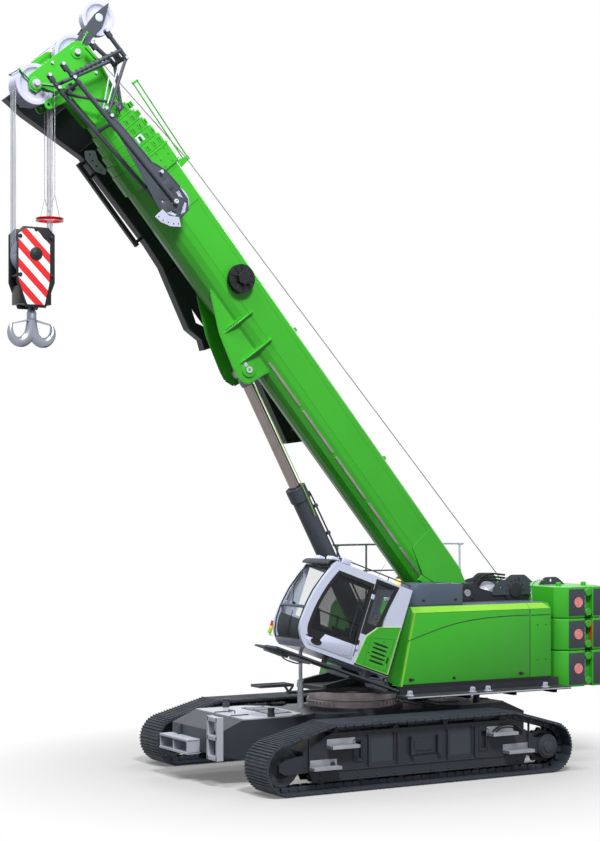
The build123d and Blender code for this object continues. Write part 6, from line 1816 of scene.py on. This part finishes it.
def makeJibFrame():
    size = {"tip": 12.93, "inY": 0.53, "outY": 0.82, "sheaveA": 9.85, "sheaveN": -0.45}
    tip, inY, outY = size["tip"], size["inY"], size["outY"]
    sa, sn = size["sheaveA"], size["sheaveN"]
    tubes = (
        ((tip - 0.08, inY, -0.89), (tip - 0.39, inY, -0.88), 0.04), ((tip - 0.05, outY, -0.68), (tip - 0.39, outY, -0.64), 0.04),
        ((tip - 0.08, inY, 0.18), (tip - 0.56, inY, 0.3), 0.04), ((tip - 0.05, outY, 0.39), (tip - 0.56, outY, 0.41), 0.04),
        ((tip - 0.21, inY, -0.88), (tip - 0.45, inY, 0.27), 0.036), ((tip - 0.21, outY, -0.67), (tip - 0.39, outY, 0.4), 0.036),
        ((tip - 0.39, inY, -0.87), (tip - 0.39, outY, -0.65), 0.036), ((tip - 0.54, inY, 0.29), (tip - 0.54, outY, 0.405), 0.036),
        ((tip - 0.39, inY, -0.88), (sa + 0.5, inY, -0.62), 0.043), ((tip - 0.39, outY, -0.64), (sa + 0.04, outY + 0.034, sn), 0.045),
        ((tip - 0.54, inY, 0.3), (tip - 1.16, inY, -0.06), 0.034), ((tip - 0.56, outY, 0.4), (tip - 1.1, outY, -0.48), 0.03),
        ((tip - 0.39, inY, -0.88), (tip - 1.16, inY, -0.06), 0.03), ((tip - 1.16, inY, -0.06), (tip - 1.16, outY, -0.3), 0.034),
        ((tip - 1.29, inY, -0.74), (tip - 1.29, outY, -0.6), 0.034), ((sa + 0.45, inY, -0.56), (sa + 0.45, outY, -0.48), 0.048),
    )
    mesh = bmesh.new()
    for start, end, radius in tubes:
        addRod(mesh, start, end, radius, 18)
        for spot in (start, end):
            aim = (Vector(end) - Vector(start)).normalized() * 0.03
            at = Vector(spot)
            addRod(mesh, at - aim, at + aim, radius * 1.18, 18)
    makePiece("jibTubes", mesh, "slate", "boom", boomFrame, smooth=40, replaced=("jib_fork",))
    # forks at the four tips, ribs on the outer post, gusset plates and the sheave's arm
    mesh = bmesh.new()
    for (a, y, n) in ((tip, inY, -0.89), (tip + 0.03, outY, -0.69), (tip, inY, 0.16),
                      (tip + 0.03, outY, 0.39)):
        for shift in (-0.034, 0.034):
            addPlate(mesh, ((a - 0.14, n - 0.04), (a, n - 0.042), (a + 0.035, n - 0.02),
                            (a + 0.035, n + 0.02), (a, n + 0.042), (a - 0.14, n + 0.04)),
                     (y + shift - 0.009, y + shift + 0.009))
    for i in range(9):
        t = 0.12 + i * 0.09
        a, n = tip - 0.21 - 0.18 * t, -0.67 + 1.07 * t
        addRod(mesh, (a + 0.004, outY, n - 0.014), (a - 0.002, outY, n + 0.014), 0.048, 14)
    # long plate beside the sheave, with three windows round its hub and a folded edge
    plate = ((11.88, -0.55), (11.68, -0.46), (10.67, -0.37), (10.5, -0.28), (10.37, -0.23), (10.0, -0.19),
             (9.74, -0.19), (9.57, -0.31), (9.54, -0.53), (9.68, -0.72), (9.9, -0.79), (10.14, -0.76),
             (10.51, -0.7), (10.73, -0.67))
    windows = [((10.0, -0.31), (9.97, -0.23), (9.8, -0.24), (9.873, -0.315)),
               ((9.748, -0.27), (9.7, -0.25), (9.59, -0.39), (9.61, -0.495)),
               ((9.8, -0.72), (9.783, -0.6), (9.66, -0.537), (9.65, -0.61)), (10.0, -0.64, 0.025),
               (9.87, -0.46, 0.05)]
    addPierced(mesh, plate, windows, (outY, outY + 0.014))
    addStrip(mesh, plate[:6], outY + 0.014, 0.03, 0.014)
    for a, n in ((tip - 0.45, 0.34), (tip - 0.39, -0.76), (tip - 1.16, -0.18)):
        addPlate(mesh, ((a - 0.09, n - 0.07), (a + 0.09, n - 0.06), (a + 0.07, n + 0.07),
                        (a - 0.07, n + 0.08)), ((inY + outY) / 2 - 0.01, (inY + outY) / 2 + 0.01))
    addBox(mesh, (10.08, 0.4203, -0.48), (10.26, outY + 0.04, -0.3))
    addPlate(mesh, ((9.98, -0.58), (10.36, -0.58), (10.3, -0.2), (10.04, -0.2)), (0.4203, 0.445))
    softenEdges(mesh, 0.005, 2)
    makePiece("jibPlates", mesh, "slate", "boom", boomFrame)
    mesh = bmesh.new()
    profile = [(0.055, -0.0225), (0.09, -0.0225), (0.095, -0.012), (0.2, -0.01), (0.22, -0.0225),
               (0.3, -0.0225), (0.3, -0.015), (0.27, 0), (0.3, 0.015), (0.3, 0.0225), (0.22, 0.0225),
               (0.2, 0.01), (0.095, 0.012), (0.09, 0.0225), (0.055, 0.0225), (0.055, -0.0225)]
    addTurned(mesh, [(r, along + outY - 0.0275) for r, along in profile], (sa, 0, sn), 64)
    for i in range(9):
        turned = i * math.tau / 9
        aim = Vector((math.cos(turned), 0, math.sin(turned)))
        spot = Vector((sa, outY - 0.014, sn))
        addBar(mesh, spot + aim * 0.09, spot + aim * 0.21, 0.01, 0.02)
    makePiece("jibSheave", mesh, "sheave", "boom", boomFrame)
    mesh = bmesh.new()
    # light guard sector with a row of holes, swung out below the sheave
    outline = ((9.889, -0.74), (9.879, -0.95), (9.735, -0.92), (9.558, -0.806), (9.43, -0.64),
               (9.587, -0.561), (9.724, -0.707))
    addPierced(mesh, outline,
               [(a, n, 0.014) for a, n in ((9.83, -0.89), (9.73, -0.86), (9.64, -0.8), (9.56, -0.73),
                                           (9.5, -0.65))], (outY + 0.015, outY + 0.03))
    softenEdges(mesh, 0.003, 1)
    makePiece("guardSector", mesh, "sheave", "boom", boomFrame)
    # white and silver pins with their clips
    mesh = bmesh.new()
    profile = ((0, 0), (0.045, 0), (0.045, 0.1), (0.038, 0.11), (0.02, 0.11), (0.018, 0.1), (0, 0.1))
    addTurned(mesh, profile, (sa, outY, sn), 28)
    for a, y, n in ((tip, inY, -0.89), (tip + 0.03, outY, -0.69), (tip, inY, 0.16), (tip + 0.03, outY, 0.39),
                    (12.66, outY, -0.66), (12.38, outY, 0.41), (11.91, outY, -0.5), (11.75, outY, -0.5),
                    (12.66, inY, -0.88), (10.43, outY + 0.03, -0.34)):
        addRod(mesh, (a, y - 0.06, n), (a, y + 0.06, n), 0.02, 14)
        addRod(mesh, (a, y + 0.052, n), (a, y + 0.066, n), 0.032, 14)
    for start, end in (((12.34, outY, 0.19), (11.95, outY + 0.02, -0.42)),
                       ((12.3, inY, 0.1), (11.9, inY, -0.4))):
        addRod(mesh, start, end, 0.014, 10)
    makePiece("jibPins", mesh, "pale", "boom", boomFrame, slot="bright_steel")


def makeFlyJib():
    # ribs on the smooth web, the ram with its clamps, and the pierced sector on its near side
    y, tip = -0.85, 12.93
    mesh = bmesh.new()
    for a, low in ((5.2, -0.38), (6.4, -0.44), (7.25, -0.6), (8.6, -0.6), (9.3, -0.58), (10.6, -0.6),
                   (11.4, -0.66), (12.2, -0.9)):
        addPlate(mesh, ((a, low), (a + 0.02, low), (a + 0.02, -0.17), (a, -0.17)), (y - 0.108, y + 0.108))
    for a in (6.9, 12.55, tip - 0.1):
        addRod(mesh, (a, y - 0.105, -0.4), (a, y + 0.105, -0.4), 0.05, 20)
    softenEdges(mesh, 0.003, 1)
    makePiece("jibRibs", mesh, "darkGrey", "boom", boomFrame, slot="black_paint")
    mesh = bmesh.new()
    sector = ((11.38, -0.6), (11.31, -0.47), (11.26, -0.42), (11.1, -0.48), (10.85, -0.46), (10.8, -0.54),
              (10.97, -0.67), (11.25, -0.68))
    addPierced(mesh, sector, [(11.27, -0.55, 0.02), (11.15, -0.58, 0.02), (11.03, -0.58, 0.02),
                              (10.92, -0.55, 0.016)], (y + 0.115, y + 0.13))
    addBox(mesh, (11.05, y, -0.53), (11.12, y + 0.118, -0.5))
    softenEdges(mesh, 0.003, 1)
    makePiece("jibSector", mesh, "sheave", "boom", boomFrame)
    mesh = bmesh.new()
    addRod(mesh, (9.38, y, -0.8), (10.5, y, -0.8), 0.038, 20)
    addRod(mesh, (10.5, y, -0.8), (11.26, y, -0.8), 0.026, 16)
    for a in (9.4, 10.46, 11.2):
        addRod(mesh, (a, y, -0.8), (a + 0.06, y, -0.8), 0.046, 20)
    makePiece("jibRam", mesh, "slate", "boom", boomFrame)
    mesh = bmesh.new()
    for a, n in ((7.2, -0.72), (6.95, -0.75), (12.6, -0.3), (12.7, -1.1), (4.6, -0.4)):
        addRod(mesh, (a, y - 0.13, n), (a, y + 0.13, n), 0.025, 14)
    makePiece("jibFarPins", mesh, "zinc", "boom", boomFrame)


# luffing cylinder

def makeCylinder():
    foot = Vector((-0.4, 0, 2.3))
    aim = (luffPin - foot).normalized()
    length = (luffPin - foot).length
    side = Vector((-aim.z, 0, aim.x))
    turn = Matrix(((aim.x, 0, side.x, foot.x), (0, 1, 0, 0), (aim.z, 0, side.z, foot.z), (0, 0, 0, 1)))
    mesh = bmesh.new()
    for a in (0.3, 3.35, 3.5, 3.6):
        addTurned(mesh, ((0.17, a), (0.196, a), (0.2, a + 0.004), (0.2, a + 0.03), (0.196, a + 0.034),
                         (0.17, a + 0.034), (0.17, a)), (0, 0, 0), 48, (1, 0, 0))
    for i in range(16):
        turned = i * math.tau / 16
        spot = (3.63, 0.165 * math.cos(turned), 0.165 * math.sin(turned))
        addRod(mesh, spot, (3.645, spot[1], spot[2]), 0.013, 6)
    # oil pipe clamped along the barrel, and the holding valve at its foot
    addTube(mesh, smoothPath(((0.5, 0.1, 0.19), (0.7, 0.08, 0.21), (3.2, 0.08, 0.21), (3.38, 0.06, 0.19))),
            0.018, 8)
    for a in (0.9, 1.7, 2.5, 3.1):
        addBox(mesh, (a, 0.04, 0.165), (a + 0.06, 0.12, 0.235))
    addBox(mesh, (0.32, -0.1, -0.28), (0.62, 0.1, -0.165))
    softenEdges(mesh, 0.003, 1, 50)
    makePiece("barrelTrim", mesh, "slate", "barrel", turn)
    mesh = bmesh.new()
    profile = ((0.106, 3.628), (0.125, 3.628), (0.125, 3.65), (0.115, 3.66), (0.106, 3.66), (0.106, 3.628))
    addTurned(mesh, profile, (0, 0, 0), 40, (1, 0, 0))
    makePiece("wiperSeal", mesh, "black", "barrel", turn)
    mesh = bmesh.new()
    for out in (-1, 1):
        profile = ((0.0705, 0.09), (0.15, 0.09), (0.15, 0.112), (0.14, 0.118), (0.0705, 0.118),
                   (0.0705, 0.09))
        addTurned(mesh, sided(profile, out), (length, 0, 0), 36)
    addTurned(mesh, ((0.1, length - 0.3), (0.125, length - 0.3), (0.14, length - 0.2), (0.14, length - 0.12),
                     (0.1, length - 0.12), (0.1, length - 0.3)), (0, 0, 0), 40, (1, 0, 0))
    makePiece("rodEye", mesh, "pale", "rod", turn, slot="bright_steel")
    # thin green hose that follows the rod
    mesh = bmesh.new()
    addTube(mesh,
            smoothPath(((3.0, 0.24, 0.02), (3.5, 0.25, 0.03), (length - 0.8, 0.22, 0.03),
                        (length - 0.3, 0.2, 0.02))), 0.009, 6)
    makePiece("cylinderHose", mesh, "lime", "rod", turn, smooth=40)


# hoist rope, rope falls, hook block and hook

def makeHoistRope():
    # from the winch, clear of both guides, over the roller stand to the upper head sheave
    mesh = bmesh.new()
    route = [Vector((winchAxle.x - 0.12, 0.1, winchAxle.z + 0.296)), boomPoint(10.21, 0.04, 0.669),
             boomPoint(12.83, 0.036, -0.03 + 0.347)]
    for start, end in zip(route, route[1:]):
        addRod(mesh, start, end, 0.011, 8)
    makePiece("hoistRope", mesh, "rope", "boom", smooth=40)
    mesh = bmesh.new()
    # arc over the upper sheave, then down between the head plates to the lower one
    arc = [boomPoint(12.93 + 0.345 * math.sin(t), 0.036, -0.03 + 0.345 * math.cos(t)) for t in (-0.3, 0, 0.4,
            0.8, 1.2, 1.57)]
    arc.append(boomPoint(12.93 + 0.345, 0.036, -0.7))
    addTube(mesh, arc, 0.011, 8)
    makePiece("headRope", mesh, "rope", "section_5", smooth=40)


def makeFalls():
    size = {"pitch": 0.073, "reach": 0.345}
    mesh = bmesh.new()
    low, high = blockAxle.z, headAxle.z
    for side in (-1, 1):
        for i in range(4):
            y = (i - 1.5) * size["pitch"]
            # three strands laid round each other
            for strand in range(3):
                turned = strand * math.tau / 3
                path = [(headAxle.x + side * size["reach"] + 0.0048 * math.cos(turned + step * 0.9),
                         y + 0.0048 * math.sin(turned + step * 0.9), low + (high - low) * step / 26)
                        for step in range(27)]
                addTube(mesh, path, 0.0058, 5)
    makePiece("ropeFalls", mesh, "rope", "block", smooth=60, replaced=("hoist_falls",))


def makeBlock():
    x, z = blockAxle.x, blockAxle.z
    half = 0.36
    mesh = bmesh.new()
    outline = ((x - half, z - 0.5), (x - half, z + 0.36), (x - half + 0.12, z + 0.48),
               (x + half - 0.12, z + 0.48), (x + half, z + 0.36), (x + half, z - 0.5),
               (x + half - 0.17, z - 0.95), (x - half + 0.17, z - 0.95))
    for side in (-1, 1):
        addPlate(mesh, outline, between(side, 0.185, 0.215))
    softenEdges(mesh, 0.012, 3)
    makePiece("blockPlates", mesh, "black", "block", smooth=35, replaced=("hook_block",))
    mesh = bmesh.new()
    # striped panels with a notched edge, on both sides
    panel = ((x - 0.02, z + 0.44), (x + 0.2, z + 0.44), (x + half - 0.03, z + 0.34),
             (x + half - 0.03, z - 0.48), (x + 0.17, z - 0.9), (x - 0.16, z - 0.9),
             (x - half + 0.1, z - 0.46), (x - half + 0.1, z + 0.2), (x - 0.14, z + 0.28))
    for side in (-1, 1):
        addPlate(mesh, panel, between(side, 0.214, 0.222))
    makePiece("blockStripes", mesh, "stripes", "block")
    mesh = bmesh.new()
    # cross pieces: rope guards, crosshead, cheek weights, and the becket lug on top
    addBox(mesh, (x - half + 0.06, -0.19, z - 0.89), (x - 0.07, 0.19, z - 0.56))
    addBox(mesh, (x + 0.07, -0.19, z - 0.89), (x + half - 0.06, 0.19, z - 0.56))
    addBox(mesh, (x - 0.075, 0.07, z - 0.89), (x + 0.075, 0.19, z - 0.56))
    addBox(mesh, (x - 0.075, -0.19, z - 0.89), (x + 0.075, -0.07, z - 0.56))
    for bx, bz in ((x - 0.3, z + 0.3), (x + 0.3, z + 0.3), (x - 0.3, z - 0.38), (x + 0.3, z - 0.38),
                   (x, z + 0.44)):
        addRod(mesh, (bx, -0.235, bz), (bx, 0.235, bz), 0.024, 14)
        for side in (-1, 1):
            addRod(mesh, (bx, side * 0.214, bz), (bx, side * 0.24, bz), 0.04, 6)
    for side in (-1, 1):
        profile = ((0, 0.214), (0.12, 0.214), (0.12, 0.226), (0.1, 0.234), (0.055, 0.235), (0.05, 0.245),
                   (0, 0.245))
        addTurned(mesh, sided(profile, side), (x, 0, z), 36)
    softenEdges(mesh, 0.006, 2)
    makePiece("blockFrame", mesh, "black", "block", smooth=35)
    mesh = bmesh.new()
    profile = [(0.0555, -0.1845), (0.1, -0.1845), (0.11, -0.17), (0.28, -0.17)]
    for i in range(5):
        y = (i - 2) * 0.072
        profile += [(0.333, y - 0.034), (0.333, y - 0.028), (0.31, y - 0.01), (0.31, y + 0.01),
                    (0.333, y + 0.028), (0.333, y + 0.034)]
    profile += [(0.28, 0.17), (0.11, 0.17), (0.1, 0.1845), (0.0555, 0.1845), (0.0555, -0.1845)]
    addTurned(mesh, profile, (x, 0, z), 64)
    makePiece("blockSheaves", mesh, "sheave", "block_sheaves", replaced=("hook_block_sheaves",))


def makeHook():
    # double hook: one half is a bent tapering bar, mirrored for the other
    x, z = blockAxle.x, blockAxle.z - 1.64
    mesh = bmesh.new()
    bend = ((0.0, 0.62, 0.085), (0.0, 0.5, 0.088), (0.008, 0.4, 0.095), (0.03, 0.27, 0.1),
            (0.085, 0.16, 0.105), (0.175, 0.095, 0.1), (0.275, 0.095, 0.09), (0.355, 0.155, 0.078),
            (0.395, 0.24, 0.064), (0.4, 0.32, 0.05), (0.385, 0.385, 0.034), (0.365, 0.42, 0.02))
    for side in (-1, 1):
        rings = []
        curve = [Vector((side * px, pz, pr)) for px, pz, pr in bend]
        path = smoothPath(curve, 3)
        for i, point in enumerate(path):
            ahead = path[min(i + 1, len(path) - 1)] - path[max(i - 1, 0)]
            ring = bmesh.ops.create_circle(mesh, cap_ends=False, segments=16, radius=point.z)["verts"]
            bmesh.ops.scale(mesh, vec=(1, min(1, 0.068 / point.z), 1), verts=ring)
            lean = math.atan2(ahead.x, ahead.y)
            bmesh.ops.rotate(mesh, matrix=Matrix.Rotation(lean, 3, "Y"), verts=ring)
            bmesh.ops.translate(mesh, vec=(x + point.x, 0, z + point.y), verts=ring)
            rings.append(ring)
        for first, second in zip(rings, rings[1:]):
            bmesh.ops.bridge_loops(mesh, edges=ringEdges(first) + ringEdges(second))
        bmesh.ops.contextual_create(mesh, geom=ringEdges(rings[0]))
        bmesh.ops.contextual_create(mesh, geom=ringEdges(rings[-1]))
    profile = ((0, 0.5), (0.088, 0.5), (0.088, 0.62), (0.07, 0.66), (0.068, 1.02), (0, 1.02))
    addTurned(mesh, profile, (x, 0, z), 32, (0, 0, 1))
    profile = ((0, 1.0803), (0.12, 1.0803), (0.12, 1.11), (0.112, 1.118), (0.112, 1.15), (0.1, 1.19),
               (0, 1.19))
    addTurned(mesh, profile, (x, 0, z), 32, (0, 0, 1))
    makePiece("hookForging", mesh, "hookSteel", "hook", smooth=50, replaced=("hook",))
    mesh = bmesh.new()
    for side in (-1, 1):
        addPlate(mesh, ((x + side * 0.08, z + 0.46), (x + side * 0.1, z + 0.49), (x + side * 0.37, z + 0.42),
                        (x + side * 0.36, z + 0.4)), (-0.03, 0.03))
        addRod(mesh, (x + side * 0.085, -0.06, z + 0.475), (x + side * 0.085, 0.06, z + 0.475), 0.016, 10)
    makePiece("hookLatches", mesh, "zinc", "hook")


def makeSwitchRing():
    # flanged ring round the falls, hung on two chains of real links
    x, z = headAxle.x - 0.345, blockAxle.z + 0.66
    mesh = bmesh.new()
    profile = ((0.2, z - 0.026), (0.25, z - 0.026), (0.25, z - 0.016), (0.215, z - 0.01), (0.215, z + 0.01),
               (0.25, z + 0.016), (0.25, z + 0.026), (0.2, z + 0.026), (0.2, z - 0.026))
    addTurned(mesh, profile, (x, 0, 0), 48, (0, 0, 1))
    makePiece("switchRing", mesh, "red", "block", replaced=("switch_weight",))
    mesh = bmesh.new()
    for side in (-1, 1):
        top = headAxle.z
        # links down to an apex, and two legs from there to the ring's edge
        apex = z + 0.42
        count = 32
        step = (top - apex) / count
        for i in range(count):
            mid = apex + (i + 0.5) * step
            loop = [(x + 0.009 * math.cos(t) * (i % 2), side * 0.238 + 0.009 * math.cos(t) * (1 - i % 2),
                     mid + step * 0.62 * math.sin(t)) for t in (0, 1.57, 3.14, 4.71, 6.28)]
            addTube(mesh, loop, 0.0042, 4)
        for lean in (-0.5, 0.5):
            foot = Vector((x + 0.225 * math.sin(lean), side * 0.225 * math.cos(lean), z + 0.02))
            addRod(mesh, (x, side * 0.238, apex), foot, 0.006, 6)
        addBar(mesh, (x, side * 0.238, top), (headAxle.x, side * 0.238, top), 0.016, 0.024)
        profile = ((0.0555, 0.23), (0.082, 0.23), (0.082, 0.246), (0.0555, 0.246), (0.0555, 0.23))
        addTurned(mesh, sided(profile, side), headAxle, 24)
    makePiece("switchChains", mesh, "zinc", "block", smooth=40)


makeJibFrame()
makeFlyJib()
makeCylinder()
makeHoistRope()
makeFalls()
makeBlock()
makeHook()
makeSwitchRing()
print("jibs, cylinder and hook done")


# plain finishes of the CAD nodes that stay shown

looks = {
    "carbody": "slate", "nose_blocks": "slate", "nose_plates": "pale", "track_frame_left": "trackGrey",
    "track_frame_right": "trackGrey", "platform": "darkGrey", "housing_left": "green", "housing_right": "green",
    "engine": "castSteel", "deck_box": "deckBlue", "winch_guards": "darkGrey", "cab_shell": "white",
    "cab_glass": "glass", "cab_door": "black", "cab_door_glass": "darkGlass", "boom_base": "green",
    "jib_fork": "slate", "fly_jib": "darkGrey", "boom_head": "green", "luff_barrel": "slate", "luff_rod": "chrome",
    "hoist_falls": "rope", "hook_block": "black", "hook_block_sheaves": "sheave", "hook": "hookSteel",
    "switch_weight": "red", "head_sheaves_upper": "sheave", "counterweight_low": "green",
    "counterweight_middle": "green", "counterweight_top": "green", "track_left": "trackSteel",
    "track_right": "trackSteel", "track_wheels_left": "castSteel", "track_wheels_right": "castSteel",
    "track_steps_left": "zinc", "track_steps_right": "zinc", "slew_ring_lower": "ring", "slew_ring_upper": "ring",
    "jack_posts": "slate", "front_boxes": "pale", "side_walks": "darkGrey", "handrail": "pale",
    "winch_drum": "rope", "boom_foot_pins": "zinc", "cab_roof_gear": "deckBlue", "cab_seat": "cloth", "cab_walk": "darkGrey",
    "cable_reel": "black", "head_sheaves_lower": "sheave", "aux_sheave": "sheave",
}
for i in range(1, 6):
    looks["boom_section_%d" % i] = "green"
for name, look in looks.items():
    cadLook(name, look)
print("finishes given to", len(looks), "nodes")

makeCamera()
makeLight()


def makeFloor():
    mesh = bmesh.new()
    bmesh.ops.create_grid(mesh, x_segments=1, y_segments=1, size=60)
    data = bpy.data.meshes.new("floor")
    mesh.to_mesh(data)
    mesh.free()
    material, tree, shader = blankMaterial("paleFloor")
    shader.inputs["Roughness"].default_value = 0.9
    shader.inputs["Specular IOR Level"].default_value = 0.1
    # away from the crane the floor turns into the white backdrop, and near it keeps the shadow
    away = tree.nodes.new("ShaderNodeVectorMath")
    away.operation = "LENGTH"
    tree.links.new(objectPlace(tree), away.inputs[0])
    fade = mapRange(tree, away.outputs["Value"], 4.0, 8.0, 0.15, 1.0)
    rays = tree.nodes.new("ShaderNodeLightPath")
    # what it throws back up at the crane is held low
    tree.links.new(mixColor(tree, rays.outputs["Is Diffuse Ray"], (0.52, 0.52, 0.52, 1),
                            (0.06, 0.06, 0.06, 1)), shader.inputs["Base Color"])
    seen = addMath(tree, "MAXIMUM", rays.outputs["Is Camera Ray"], rays.outputs["Is Glossy Ray"])
    seen = addMath(tree, "MAXIMUM", seen, rays.outputs["Is Transmission Ray"])
    white = tree.nodes.new("ShaderNodeEmission")
    mixed = tree.nodes.new("ShaderNodeMixShader")
    tree.links.new(addMath(tree, "MULTIPLY", fade, seen), mixed.inputs["Fac"])
    tree.links.new(shader.outputs["BSDF"], mixed.inputs[1])
    tree.links.new(white.outputs["Emission"], mixed.inputs[2])
    tree.links.new(mixed.outputs["Shader"], tree.nodes["Material Output"].inputs["Surface"])
    data.materials.append(material)
    floor = bpy.data.objects.new("floor", data)
    floor.location = (0, 0, -0.004)
    scene.collection.objects.link(floor)


makeFloor()
scene.view_settings.view_transform = "Standard"
print("stage done")
